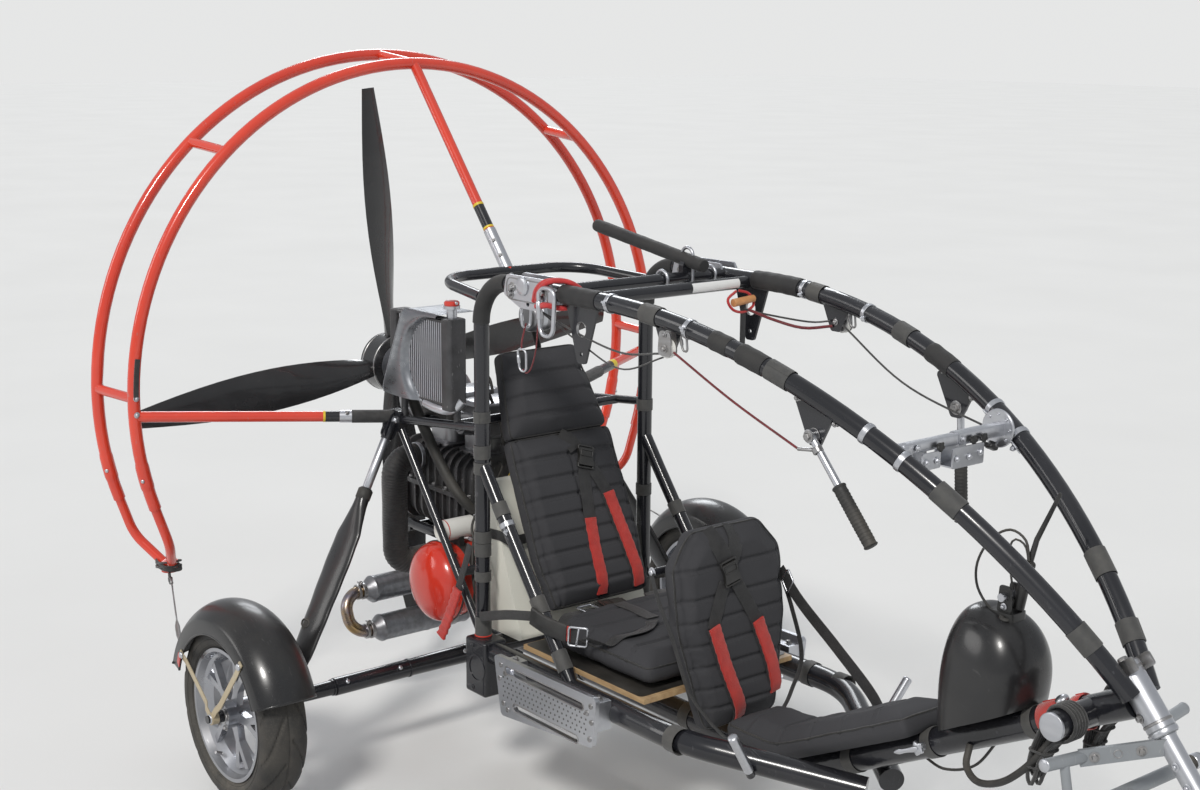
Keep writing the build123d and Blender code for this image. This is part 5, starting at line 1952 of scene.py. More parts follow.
    def neck(self) -> Surface:
        """Filler neck with its rolled rim, and the cast elbow under the core.

        Returns:
            Neck, elbow and ears.
        """
        neck = lathe((-0.806, -0.272, 1.188), UP,
                     [(0.02, 0), (0.02, 0.004), (0.013, 0.008), (0.013, 0.03), (0.02, 0.032), (0.021, 0.04),
                      (0.019, 0.041)], 26)
        elbow = cable([(-0.905, -0.286, 0.968), (-0.86, -0.288, 0.964), (-0.815, -0.286, 0.964),
                       (-0.79, -0.276, 0.972), (-0.778, -0.262, 0.99)], 0.0125, 0.01, 16)
        ears = rod((-0.828, -0.272, 1.236), (-0.784, -0.272, 1.236), 0.004)
        return together([neck, elbow, ears])

    def bottle(self) -> Surface:
        """Clamp band, screw cap and hose tail of the coolant bottle.

        Returns:
            The bottle's fittings.
        """
        band = collar((-0.82, 0.0, 1.175), ACROSS, 0.0402, 0.0416, 0.014)
        cap = dome_cap((-0.81, -0.01, 1.214), (0.2, 0, 1), 0.013, 0.012, 0.6)
        tail = lathe((-0.852, 0.0, 1.16), (-0.9, 0, -0.2), [(0.011, -0.01), (0.011, 0.008), (0.009, 0.012)],
                     16)
        return together([band, cap, tail])


@dataclass
class Exhaust:
    """Two cans across the machine, joined by a heat-tinted return pipe.

    Attributes:
        cans: Stations and heights of the cans.
        radius: Radius of a can.
        pipe: Radius of the return pipe.
    """

    cans: Sequence[tuple[float, float]] = ((-1.372, 0.330), (-1.330, 0.226))
    radius: float = 0.039
    pipe: float = 0.0172

    def build(self) -> None:
        """Make cans, pipes and clamps."""
        piece("silencer_cans", together(self.can(x, z) for x, z in self.cans), CAN_STEEL,
              replaces=("silencers",))
        piece("return_pipe", self.pipes(), TINTED_STEEL, 50)
        piece("silencer_clamps", self.clamps(), STEEL, 35)
        manifold = together(cable([(x, 0.12, 0.822), (x + 0.005, 0.165, 0.78),
                                   (-1.1 + (x + 1.07) * 0.4, 0.17, 0.66), (-1.18, 0.10, 0.55),
                                   (-1.185, 0.062, 0.5)], 0.019, 0.012, 16) for x in (-1.15, -0.99))
        piece("exhaust_manifold", manifold, HOT_STEEL, 50)

    def can(self, x: float, z: float) -> Surface:
        """Can turned from its profile: tail, cone, rolled seam, wall with a bead, seam and domed end.

        Args:
            x: Its station.
            z: Its height.

        Returns:
            The can.
        """
        r = self.radius
        profile = np.array([(0.019, -0.208), (0.021, -0.204), (0.0225, -0.196), (r * 0.86, -0.184),
                            (r * 0.97, -0.178), (r, -0.176), (r, -0.170), (r * 0.965, -0.168),
                            (r * 0.965, -0.03), (r * 0.99, -0.027), (r * 0.99, -0.021), (r * 0.965, -0.018),
                            (r * 0.965, 0.1), (r, 0.102), (r, 0.108), (r * 0.9, 0.116), (r * 0.5, 0.12),
                            (r * 0.15, 0.121)])
        return lathe((x, 0, z), ACROSS, profile, 44)

    def pipes(self) -> Surface:
        """Return pipe with its two bends, and the pipe that comes down from the engine.

        Returns:
            Both pipes.
        """
        (x0, z0), (x1, z1) = self.cans
        bend = bent([(x0, -0.19, z0), (x0, -0.268, z0), (x1, -0.268, z1), (x1, -0.19, z1)], 0.05, 0.006)
        down = bent([(-1.18, 0.06, 0.575), (-1.18, 0.06, 0.47), (-1.33, 0.06, 0.42), (-1.372, 0.06, 0.365)],
                    0.06, 0.01)
        return sweep(bend, circle(self.pipe, 24), (1, 0, -0.4)) + sweep(down, circle(0.0202, 22), ACROSS)

    def clamps(self) -> Surface:
        """Band clamps with their bolts at the four joints, and the bracket that ties the cans.

        Returns:
            Clamps and bracket.
        """
        (x0, z0), (x1, z1) = self.cans
        found = []
        for x, z in self.cans:
            found.append(collar((x, -0.205, z), ACROSS, 0.019, 0.0238, 0.011))
            found.append(collar((x, -0.221, z), ACROSS, 0.0172, 0.0218, 0.008))
            found.append(bolt((x + 0.004, -0.213, z + 0.025), AHEAD, 0.008, 0.006))
            found.append(rod((x - 0.012, -0.213, z + 0.025), (x + 0.012, -0.213, z + 0.025), 0.003))
            found.append(collar((x, 0.06, z), ACROSS, 0.0388, 0.0404, 0.02))
        found.append(rod((x0, 0.06, z0 - 0.03), (x1, 0.06, z1 + 0.03), 0.012))
        return together(found)


@dataclass
class Canister:
    """Rescue canister with its dome, retaining ring and pull ribbon, and the launcher tube above it.

    Attributes:
        centre: Station and height of the canister's axis.
        radius: Radius of its flange; not used.
    """

    centre: tuple[float, float] = (-0.916, 0.484)
    radius: float = 0.106

    def build(self) -> None:
        """Make the dome and body, the ring, the launcher and the ribbon."""
        x, z = self.centre
        body = np.array([(0.05, 0.149), (0.09, 0.15), (0.098, 0.156), (0.098, 0.228), (0.104, 0.231),
                         (0.106, 0.235), (0.106, 0.249), (0.1035, 0.252)])
        turn = np.linspace(0.05, math.pi / 2, 16)
        dome = np.stack([0.1035 * np.cos(turn) ** 0.86, 0.252 + 0.052 * np.sin(turn)], -1)
        dome[-1, 0] = 0.001
        piece("canister", lathe((x, 0, z), (0, -1, 0), np.concatenate([body, dome]), 64), RED_MOULD, 50,
              replaces=("rescue_container",))
        ring = together([collar((x, -0.2415, z), ACROSS, 0.1045, 0.1085, 0.005, segments=56),
                         collar((x, -0.19, z), ACROSS, 0.0982, 0.1, 0.03, segments=56)])
        ears = many(rod,
                    [((x + 0.108 * math.cos(a), -0.2415, z + 0.108 * math.sin(a)),
                      (x + 0.114 * math.cos(a), -0.2415, z + 0.114 * math.sin(a)), 0.005)
                     for a in (0.9, 2.6, 4.4)])
        piece("canister_straps", ring + ears, BUCKLE_PLASTIC)
        tube = lathe((-0.905, 0, 0.622), (0, -1, 0), [(0.024, 0.148), (0.028, 0.152), (0.028, 0.247),
                                                      (0.0265, 0.25), (0.024, 0.25), (0.024, 0.243),
                                                      (0.002, 0.243)], 36)
        piece("launcher_tube", tube, WHITE_TUBE, 30)
        piece("launcher_ring", collar((-0.905, -0.236, 0.622), ACROSS, 0.028, 0.0284, 0.004), RED_MOULD)
        saddle = plate(rounded([(-0.03, -0.05), (0.03, -0.05), (0.022, 0.05), (-0.022, 0.05)], 0.006), 0.014,
                       (-0.908, -0.196, 0.588), AHEAD, UP)
        piece("launcher_saddle", saddle, BUCKLE_PLASTIC)
        top = [(-0.712, -0.288, 0.64), (-0.722, -0.292, 0.60), (-0.734, -0.298, 0.556),
               (-0.746, -0.302, 0.520)]
        low = [(-0.746, -0.303, 0.519), (-0.762, -0.309, 0.47), (-0.782, -0.315, 0.42),
               (-0.80, -0.319, 0.384)]
        piece("pull_ribbon", webbing(top, (0.9, 0.1, 0.4), 0.022), WEBBING, 70)
        path = through(low, 0.006)
        fold = 1 + 0.12 * np.sin(np.arange(len(path)) * 1.9)
        handle = sweep(path, oblong(0.010, 0.03, 0.004, 4), (0.9, 0.1, 0.4), fold)
        piece("pull_handle", handle, RED_WEBBING, 70)


@dataclass
class Intake:
    """Wide cloth hose that loops down beside the engine, and the tank's cap, strap and line.

    Attributes:
        radius: Radius of the hose.
        pitch: Distance between two of its rings.
    """

    radius: float = 0.0345
    pitch: float = 0.0075

    def build(self) -> None:
        """Make hose, end rings and the tank's fittings."""
        route = bent([(-1.16, -0.14, 0.76), (-1.16, -0.225, 0.76), (-1.16, -0.225, 0.47),
                      (-1.16, -0.044, 0.47), (-1.16, -0.044, 0.575)], 0.046, self.pitch / 4)
        turn = np.arange(len(route)) * math.pi / 2
        ripple = 1 + 0.022 * np.cos(turn) + 0.012 * np.sin(np.arange(len(route)) * 0.11)
        hose = sweep(route, circle(self.radius, 32), AHEAD, ripple)
        piece("intake_hose_cover", hose, HOSE_CLOTH, 75, replaces=("intake_hose",))
        ends = together([collar((-1.16, -0.152, 0.76), ACROSS, 0.035, 0.0375, 0.012),
                         collar((-1.16, -0.044, 0.558), UP, 0.035, 0.0375, 0.012)])
        piece("intake_hose_bands", ends, BRIGHT_ALLOY)
        cap = lathe((-0.765, 0.12, 0.779), UP,
                    [(0.03, 0), (0.03, 0.012), (0.034, 0.013), (0.034, 0.026), (0.03, 0.03), (0.008, 0.031)],
                    30)
        piece("tank_cap", cap, BUCKLE_PLASTIC)
        edge = [(-0.782, 0.645), (-0.70, 0.652), (-0.676, 0.64)]
        side = np.array([(x, y, z) for y, (x, z) in [(-0.2065, edge[0]), (-0.2065, edge[1]), (-0.19, edge[2]),
                                                     (0.19, edge[2]), (0.2065, edge[1]), (0.2065, edge[0])]])
        strip = even(side, 0.01)
        piece("tank_strap", sweep(strip + (0.003, 0, 0), oblong(0.0022, 0.026, 0.001, 3), UP), WEBBING, 60)
        line = together([cable([(-0.76, -0.2, 0.42), (-0.79, -0.215, 0.46), (-0.815, -0.21, 0.56),
                                (-0.85, -0.17, 0.64), (-0.89, -0.1, 0.68)], 0.0038),
                         cable([(-0.765, 0.12, 0.81), (-0.775, 0.15, 0.84), (-0.79, 0.19, 0.8),
                                (-0.795, 0.214, 0.7), (-0.79, 0.218, 0.5)], 0.0032)])
        piece("fuel_lines", line, RUBBER, 60)


# Wheels, mudguards and gear struts

BEIGE_BAR = Finish("beige_bar", (0.52, 0.44, 0.3), (0.4, 0.33, 0.22), 0.42, 0.12, metallic=0.25,
                   pattern=Pattern.PEEL, scale=200, relief=0.00003, wear=0.3, bare=(0.6, 0.58, 0.55),
                   dust=0.2, slot="alloy")


def lens_form(path: Array, chords: Array, depths: Array, chord_dir: Place, sides: int = 28) -> Surface:
    """Closed form along a path whose section is an ellipse with its own chord and depth at each station.

    Args:
        path: Stations by 3.
        chords: Chord at each station.
        depths: Depth at each station.
        chord_dir: Direction of the chord.
        sides: Corners of a section.

    Returns:
        The closed form.
    """
    tangents = unit(np.gradient(path, axis=0))
    chord = np.broadcast_to(np.asarray(chord_dir, float), path.shape)
    chord = unit(chord - (chord * tangents).sum(1, keepdims=True) * tangents)
    depth = np.cross(tangents, chord)
    angle = full_turn(sides)[None, :, None]
    section = (np.cos(angle) * chord[:, None] * chords[:, None, None] / 2
               + np.sin(angle) * depth[:, None] * depths[:, None, None] / 2)
    return grid(path[:, None] + section, around=True)


@dataclass
class Wheel:
    """Tyre with its tread, and the small parts on its rim.

    Attributes:
        name: Prefix of its pieces.
        body: Body that it turns with.
        tyre: CAD node that the tyre stands for.
        centre: Centre of the wheel.
        side: Side that its outer face looks to.
        section: Radius and distance from the middle of the tyre's section, from bead to crown.
        grooves: Number of curved grooves on each half of the tread.
        face: Radius of the bolt circle and distance of the hub's face from the middle.
        bolt_height: Height of the wheel bolts.
    """

    name: str
    body: str
    tyre: str
    centre: Point
    side: int
    section: Sequence[tuple[float, float]]
    grooves: int = 12
    face: tuple[float, float] = (0.030, 0.0585)
    bolt_height: float = 0.005

    def build(self) -> None:
        """Make the tyre and what sits on the rim."""
        piece(self.name + "_tyre_tread", self.tread(), TYRE_RUBBER, 50, body=self.body, replaces=(self.tyre,))
        piece(self.name + "_hub_bolts", self.bolts(), STEEL, 30, body=self.body)

    def tread(self) -> Surface:
        """Section turned round the axle; grooves sink where a mask of angle and width is high.

        A groove runs outward from near the middle and sweeps back, because its angle grows with the distance
        from the middle. A narrow groove follows the middle all round.

        Returns:
            The tyre.
        """
        half = np.array([(r, y, 0) for r, y in self.section], float)
        right = through(half, 0.0045)[:, :2]
        outline = np.concatenate([right * (1, 1), right[::-1][1:] * (1, -1)])
        crown = outline[:, 0].max()
        segments, sink_depth, groove_width = 448, 0.0052, 0.060
        angle = full_turn(segments)[:, None]
        width = np.abs(outline[:, 1]) / np.abs(outline[:, 1]).max()
        half_turn = np.where(outline[:, 1] > 0, 0.5, 0.0)
        phase = (angle * self.grooves / (2 * math.pi) + half_turn + 1.15 * width ** 1.6) % 1.0
        on_tread = (outline[:, 0] > crown - 0.03) & (width > 0.14)
        curved = np.exp(-((phase - 0.5) / groove_width) ** 2) * on_tread
        middle = np.exp(-(outline[:, 1] / 0.0035) ** 2) * (outline[:, 0] > crown - 0.01)
        sink = sink_depth * np.maximum(curved, middle * 0.6)
        radius = outline[:, 0] - sink
        points = np.stack([radius * np.cos(angle), np.broadcast_to(outline[:, 1], sink.shape),
                           radius * np.sin(angle)], -1)
        rings = [ring_round((0, side * y, 0), ACROSS, circle(0.0011, 6) + (r, 0), 96)
                 for side in SIDES for r, y in [self.section[1], self.section[2]]]
        return together([grid(points, around=True, along=True)] + rings).moved(self.centre)

    def bolts(self) -> Surface:
        """Ring of wheel bolts, a thin hub washer on each face, the valve and two balance weights.

        Returns:
            The bolts and small parts.
        """
        reach, face = self.face
        found = []
        for side in SIDES:
            out = (0, side, 0)
            for turn in np.arange(5) * 2 * math.pi / 5 + 0.3:
                at = np.array([reach * math.cos(turn), side * face, reach * math.sin(turn)])
                found.append(bolt(at, out, 0.010, self.bolt_height))
            found.append(collar((0, side * (face + 0.0006), 0), out, 0.0155, 0.021, 0.003))
        bead, depth = self.section[0]
        valve = np.array([math.cos(4.2), 0, math.sin(4.2)]) * (bead - 0.012)
        found.append(rod(valve + (0, self.side * depth * 0.7, 0),
                         valve * 0.93 + (0, self.side * (depth + 0.008), 0), 0.004))
        for turn in (1.9, 3.6):
            at = np.array([math.cos(turn), 0, math.sin(turn)]) * (bead - 0.004) + (0, self.side * depth, 0)
            run = np.array([-math.sin(turn), 0, math.cos(turn)])
            found.append(sweep([at - run * 0.012, at + run * 0.012], oblong(0.004, 0.007, 0.001, 3), ACROSS))
        return together(found).moved(self.centre)


@dataclass
class Mudguard:
    """Round-crowned shell over a main wheel, held by two flat bent stays.

    Attributes:
        centre: Centre of the right-hand wheel.
        crown: Radius of the shell's top line.
        half: Half width of the shell.
        shoulder: How far the arch drops to the side walls.
        depth: How far the side walls drop.
        wall: Thickness.
        angles: Front and rear edge, in degrees from straight ahead.
    """

    centre: Point = WHEEL_AT
    crown: float = 0.282
    half: float = 0.078
    shoulder: float = 0.040
    depth: float = 0.074
    wall: float = 0.004
    angles: tuple[float, float] = (22.0, 162.0)

    def build(self) -> None:
        """Make shell, stays and bolts for both sides."""
        shell, stays, bolts = self.shell(), self.stays(), self.bolts()
        for side, side_name in SIDE_NAMES.items():
            name = "mudguard_" + side_name
            piece(name, shell.on_side(side), GLOSS_MOULD, 50, replaces=("fender_" + side_name,))
            piece(name + "_stays", stays.on_side(side), BEIGE_BAR, 40)
            piece(name + "_bolts", bolts.on_side(side), BRIGHT_ALLOY, 35)

    def shell(self) -> Surface:
        """Section of an arch between two walls with rolled edges, carried round the wheel.

        Returns:
            The shell.
        """
        lift = (self.half ** 2 + self.shoulder ** 2) / (2 * self.shoulder)
        limit = math.atan2(self.half, lift - self.shoulder)
        angle = np.linspace(limit, -limit, 25)
        arch = np.stack([lift * np.sin(angle), lift * np.cos(angle) - lift], -1)
        foot = np.array([(self.half, -self.depth)])
        outer = np.concatenate([foot, arch, foot * (-1, 1)])
        inward = np.array([0, -lift])
        inner = inward + unit(arch - inward) * (lift - self.wall)
        inner_foot = np.array([(self.half - self.wall, -self.depth)])
        profile = np.concatenate([outer, inner_foot * (-1, 1), inner[::-1], inner_foot])
        turn = np.radians(np.linspace(*self.angles, 90))
        spoke = np.stack([np.cos(turn), 0 * turn, np.sin(turn)], -1)
        ends = np.clip(np.minimum(turn - turn[0], turn[-1] - turn) / 0.02, 0, 1)
        body = sweep(np.array(self.centre) + self.crown * spoke, profile[::-1], spoke, 0.985 + 0.015 * ends)
        edges = [sweep(np.array(self.centre) + (self.crown - self.depth) * spoke
                       + (0, side * (self.half - 0.002), 0), circle(0.0032, 10), ACROSS)
                 for side in SIDES]
        rims = [sweep(np.array(self.centre) + (0, 1, 0) * arch[:, :1] + spoke[k]
                      * (self.crown + arch[:, 1:] - 0.002), circle(0.0032, 10),
                      np.array([-spoke[k][2], 0, spoke[k][0]])) for k in (0, -1)]
        return together([body] + edges + rims)

    def stays(self) -> Surface:
        """Two flat bars from the hub, each with a step near the hub and one at its tip.

        Returns:
            The stays.
        """
        hub = np.array([self.centre[0], -0.866, self.centre[2]])
        found = []
        for tip in ((-1.156, -0.862, 0.350), (-0.846, -0.862, 0.411)):
            reach = np.array(tip) - hub
            across = np.cross(unit(reach), ACROSS)
            share = np.array([-0.06, 0.0, 0.16, 0.24, 0.9, 1.0, 1.06])
            out = np.array([-0.002, -0.002, -0.002, 0.004, 0.004, 0.001, 0.001])
            path = hub + share[:, None] * reach + out[:, None] * (0, 1, 0)
            found.append(sweep(path, oblong(0.0035, 0.016, 0.0012, 3), across))
        found.append(rod((hub[0], -0.853, hub[2]), (hub[0], -0.872, hub[2]), 0.0155))
        return together(found)

    def bolts(self) -> Surface:
        """Bolts with domed nuts at the tips and at the hub.

        Returns:
            The bolts and small parts.
        """
        rows = [((-1.156, -0.8625, 0.350), 0.009), ((-0.846, -0.8625, 0.411), 0.009),
                ((WHEEL_AT[0], -0.871, WHEEL_AT[2]), 0.012)]
        return together(dome_cap(at, (0, -1, 0), radius, 0.006) for at, radius in rows)


@dataclass
class GearStrut:
    """Strut of one main wheel: forked bracket, steel rod, collar and a broad fairing with a slot.

    Attributes:
        top: Upper pin of the right-hand strut.
        foot: Lower pin of the right-hand strut.
        stations: Rows of share of the length, chord and thickness of the fairing.
    """

    top: Point = (-1.070, -0.282, 0.894)
    foot: Point = (-0.989, -0.655, 0.262)
    stations: Sequence[tuple[float, float, float]] = (
        (0.262, 0.030, 0.030), (0.272, 0.036, 0.035), (0.30, 0.038, 0.034),
        (0.33, 0.046, 0.032), (0.38, 0.074, 0.028), (0.43, 0.098, 0.026),
        (0.50, 0.104, 0.025), (0.62, 0.101, 0.025), (0.76, 0.094, 0.024),
        (0.88, 0.083, 0.023), (0.94, 0.062, 0.021), (0.975, 0.044, 0.019),
        (0.985, 0.036, 0.015))

    def build(self) -> None:
        """Make both sides of every part."""
        top, foot = np.array(self.top), np.array(self.foot)
        run = foot - top
        down = unit(run)
        rows = np.array(self.stations)
        share = np.linspace(rows[0, 0], rows[-1, 0], 70)
        wave = 1 + 0.012 * np.sin(share * 61) + 0.009 * np.sin(share * 23 + 1)
        chord, depth = np.interp(share, rows[:, 0], rows[:, 1]), np.interp(share, rows[:, 0], rows[:, 2])
        path = top + share[:, None] * run
        fairing = lens_form(path, np.minimum(chord * wave, 0.106), depth, AHEAD, 36)
        collar_at = top + run * 0.285
        outward = unit(np.cross(AHEAD, down))
        outward = outward if outward[1] < 0 else -outward
        slot_at = top + run * 0.775 + outward * 0.0112 + (-0.020, 0, 0)
        slot = loop_frame(slot_at, AHEAD, down, 0.034, 0.017, 0.008, 0.0024)
        floor = sweep([slot_at - outward * 0.004, slot_at + outward * 0.0006],
                      oblong(0.033, 0.016, 0.0075, 5), AHEAD)
        steel = rod(top + down * 0.024, top + run * 0.3, 0.0118)
        band = collar(collar_at, down, 0.012, 0.0195, 0.03, 0.003)
        cheeks = together(plate(rounded([(-0.017, -0.052), (0.017, -0.052), (0.017, 0.02), (-0.017, 0.02)],
                                        0.014), 0.004, top + (0.0085 * side, 0, 0),
                                unit(np.cross(down, AHEAD)), -down) for side in SIDES)
        barrel = rod(top + down * 0.008, top + down * 0.055, 0.0145)
        pin = many(bolt, [(top + (step, 0, 0), (step, 0, 0), 0.013, 0.007) for step in (0.0105, -0.0105)])
        eye = collar(foot, AHEAD, 0.005, 0.0125, 0.016, 0.002)
        eye += rod(top + run * 0.975, foot - down * 0.01, 0.009)
        foot_pin = bolt(foot + (0.008, 0, 0), AHEAD, 0.011, 0.006)
        parts = [("fairing", fairing, GLOSS_MOULD), ("slot", slot + floor, RUBBER),
                 ("rod", steel, BRIGHT_ALLOY), ("collar", band, RUBBER),
                 ("fork", cheeks + barrel, BLACK_COAT), ("pins", pin + foot_pin, BRIGHT_ALLOY),
                 ("eye", eye, BLACK_COAT)]
        for side, side_name in SIDE_NAMES.items():
            for label, surface, finish in parts:
                stands_for = ("gear_strut_" + side_name,) if label == "fairing" else ()
                piece(f"strut_{label}_{side_name}", surface.on_side(side), finish, 45, replaces=stands_for)


@dataclass
class AxleDress:
    """Sleeve seams and bolts on the half axles.

    Attributes:
        x: Station of the axles.
        z: Height of the axles.
        wide: Radius at the inner end.
        taper: How much the radius shrinks over a metre.
    """

    x: float = WHEEL_AT[0]
    z: float = WHEEL_AT[2]
    wide: float = 0.026
    taper: float = 0.009 / 0.638

    def radius(self, y: float) -> float:
        """Radius of the tapered axle at a distance from the middle."""
        return self.wide - (y - 0.058) * self.taper

    def build(self) -> None:
        """Make what sits on both half axles."""
        seams = [collar((self.x, -y, self.z), ACROSS, self.radius(y) - 0.0006, self.radius(y) + 0.0022,
                        width, 0.0008) for y, width in ((0.30, 0.006), (0.415, 0.22), (0.53, 0.006),
                                                        (0.672, 0.03))]
        piece("axle_sleeves", both(together(seams)), BLACK_COAT)
        heads = many(dome_cap, [((self.x + 0.019, -y, self.z + 0.014), (0.8, 0, 0.6), 0.006, 0.005)
                                for y in (0.13, 0.335, 0.495)])
        piece("axle_bolts", both(heads), BRIGHT_ALLOY)


MAIN_SECTION = ((0.162, 0.040), (0.176, 0.053), (0.190, 0.0595), (0.205, 0.0595), (0.218, 0.054),
                (0.2295, 0.038), (0.2345, 0.021), (0.2358, 0.0))
FRONT_SECTION = ((0.112, 0.028), (0.124, 0.041), (0.138, 0.0465), (0.158, 0.0468), (0.178, 0.042),
                 (0.192, 0.029), (0.1975, 0.016), (0.1998, 0.0))
WHEELS = (
    Wheel("right_wheel", "wheel_right", "main_tyre_right", WHEEL_AT, RIGHT, MAIN_SECTION),
    Wheel("left_wheel", "wheel_left", "main_tyre_left", (WHEEL_AT[0], -WHEEL_AT[1], WHEEL_AT[2]), LEFT,
          MAIN_SECTION),
    Wheel("nose_wheel", "front_wheel", "front_tyre", (1.400, 0.0, 0.200), RIGHT, FRONT_SECTION, 11,
          (0.026, 0.0545), 0.0026))


# Bands, clips and fittings on the frame

BAND = Finish("rubber_band", (0.05, 0.05, 0.05), (0.075, 0.074, 0.07), 0.66, 0.12, pattern=Pattern.WEAVE,
              scale=700, relief=0.00008, dust=0.12, sheen=0.2, slot="hose_rubber")
FOAM = Finish("foam_sleeve", (0.017, 0.017, 0.018), (0.028, 0.028, 0.028), 0.7, 0.1, pattern=Pattern.CAST,
              scale=800, relief=0.0001, dust=0.08, sheen=0.12, slot="hose_rubber")
SLING = Finish("red_sling", (0.62, 0.03, 0.03), (0.45, 0.02, 0.022), 0.6, 0.12, pattern=Pattern.WEAVE,
               scale=800, relief=0.0003, dust=0.08, sheen=0.3, slot="red_plastic")
BLANK_LABEL = Finish("blank_label", (0.78, 0.78, 0.77), (0.7, 0.7, 0.68), 0.35, 0.08, pattern=Pattern.PEEL,
                     scale=90, relief=0.00002, wear=0.2, bare=(0.4, 0.4, 0.4), bare_metal=False, dust=0.1,
                     slot="tank_plastic")
WOOD_TOGGLE = Finish("toggle", (0.62, 0.3, 0.12), (0.5, 0.22, 0.08), 0.5, 0.12, pattern=Pattern.BRUSHED,
                     scale=90, relief=0.0001, dust=0.1, slot="red_plastic")
LINE_BLACK = Finish("braided_line", (0.02, 0.02, 0.021), (0.05, 0.05, 0.05), 0.7, 0.1, pattern=Pattern.WEAVE,
                    scale=1500, relief=0.0002, dust=0.1, sheen=0.3, slot="hose_rubber")
LINE_RED = Finish("braided_red_line", (0.2, 0.014, 0.02), (0.12, 0.01, 0.015), 0.7, 0.1,
                  pattern=Pattern.WEAVE, scale=1500, relief=0.0002, dust=0.1, sheen=0.3, slot="red_plastic")
DIMPLE = Finish("dark_dimple", (0.03, 0.03, 0.03), (0.06, 0.06, 0.06), 0.7, 0.1, dust=0.2, slot="hose_rubber")


def tube_at(tube: str, place: float, side: int) -> tuple[Array, Array, float]:
    """Centre, direction and radius of a frame tube at a height or a station.

    Args:
        tube: Kind of tube.
        place: Height on a mast, station on the other tubes.
        side: Side of the machine.

    Returns:
        Its centre, direction and radius.
    """
    y = side * TUBE_Y
    if tube == "mast":
        return np.array([-0.694, y, place]), np.array([0.0, 0.0, 1.0]), 0.019
    if tube == "rail":
        return np.array([place, y, 0.370]), np.array([1.0, 0.0, 0.0]), 0.028
    if tube == "diagonal":
        height = 0.770 + (-0.634 - place) * 0.4 / 0.312
        return np.array([place, y, height]), unit(np.array([-0.312, 0, 0.4])), 0.017
    return boom_at(place, side), boom_run(place, side), 0.020


@dataclass
class FrameBands:
    """Rubber bands, padded sleeves and band clips on the tubes.

    Attributes:
        bands: Rows of tube, place, side and width of the band.
        sleeves: Rows of side, first and last station and thickness of the sleeves on the booms.
        clips: Rows of place and side of the band clips on the booms.
    """

    bands: Sequence[tuple[str, float, int, float]] = (
        ("mast", 0.966, RIGHT, 0.028), ("mast", 0.878, RIGHT, 0.034), ("mast", 0.837, RIGHT, 0.030),
        ("mast", 0.662, RIGHT, 0.030), ("mast", 0.629, RIGHT, 0.034), ("mast", 0.425, RIGHT, 0.060),
        ("mast", 0.560, RIGHT, 0.026), ("mast", 0.93, LEFT, 0.03), ("mast", 0.70, LEFT, 0.03),
        ("mast", 0.43, LEFT, 0.05),
        ("diagonal", -0.615, RIGHT, 0.036), ("diagonal", -0.457, RIGHT, 0.044),
        ("diagonal", -0.369, RIGHT, 0.050), ("diagonal", -0.56, LEFT, 0.036),
        ("diagonal", -0.40, LEFT, 0.044),
        ("rail", 0.043, RIGHT, 0.034), ("rail", 0.043, LEFT, 0.034), ("rail", -0.06, LEFT, 0.03),
        ("boom", -0.063, RIGHT, 0.052), ("boom", 0.294, RIGHT, 0.058), ("boom", 0.674, RIGHT, 0.062),
        ("boom", 0.931, RIGHT, 0.052), ("boom", -0.075, LEFT, 0.044), ("boom", 0.215, LEFT, 0.050),
        ("boom", 0.841, LEFT, 0.058), ("boom", 0.942, LEFT, 0.046))
    sleeves: Sequence[tuple[int, float, float, float]] = (
        (RIGHT, 0.118, 0.166, 0.0012), (RIGHT, 0.192, 0.262, 0.0022), (RIGHT, -0.368, -0.232, 0.0022),
        (LEFT, -0.286, -0.128, 0.0026), (LEFT, 0.296, 0.372, 0.0018))
    clips: Sequence[tuple[float, int]] = ((-0.196, RIGHT), (0.050, RIGHT), (0.092, LEFT), (-0.115, LEFT))

    def build(self) -> None:
        """Make bands, sleeves and clips."""
        found = []
        for number, (tube, place, side, width) in enumerate(self.bands):
            centre, run, radius = tube_at(tube, place, side)
            found.append(wrap(centre, run, radius + 0.0002, width, 0.0012, 1.1 + 0.05 * (number % 3),
                              47.0 * number))
        piece("tube_bands", together(found), BAND)
        sleeves = []
        for side, start, end, thick in self.sleeves:
            x = np.arange(start, end, 0.006)
            swell = 1 + 0.015 * np.sin(x * 170) + 0.01 * np.sin(x * 71)
            swell[[0, -1]] = 0.97
            sleeves.append(sweep(boom_at(x, side), circle(0.0202 + thick, 28), ACROSS, swell))
        piece("boom_sleeves", together(sleeves), FOAM)
        clips = together(hose_clip(boom_at(x, side), boom_run(x, side), 0.0204, (0.3, -0.9, -0.2 * side),
                                   0.011) for x, side in self.clips)
        at, run, radius = tube_at("diagonal", -0.590, RIGHT)
        clips = clips + hose_clip(at, run, radius, (0.6, -0.6, -0.3), 0.014)
        piece("band_clips", clips, BRIGHT_ALLOY)


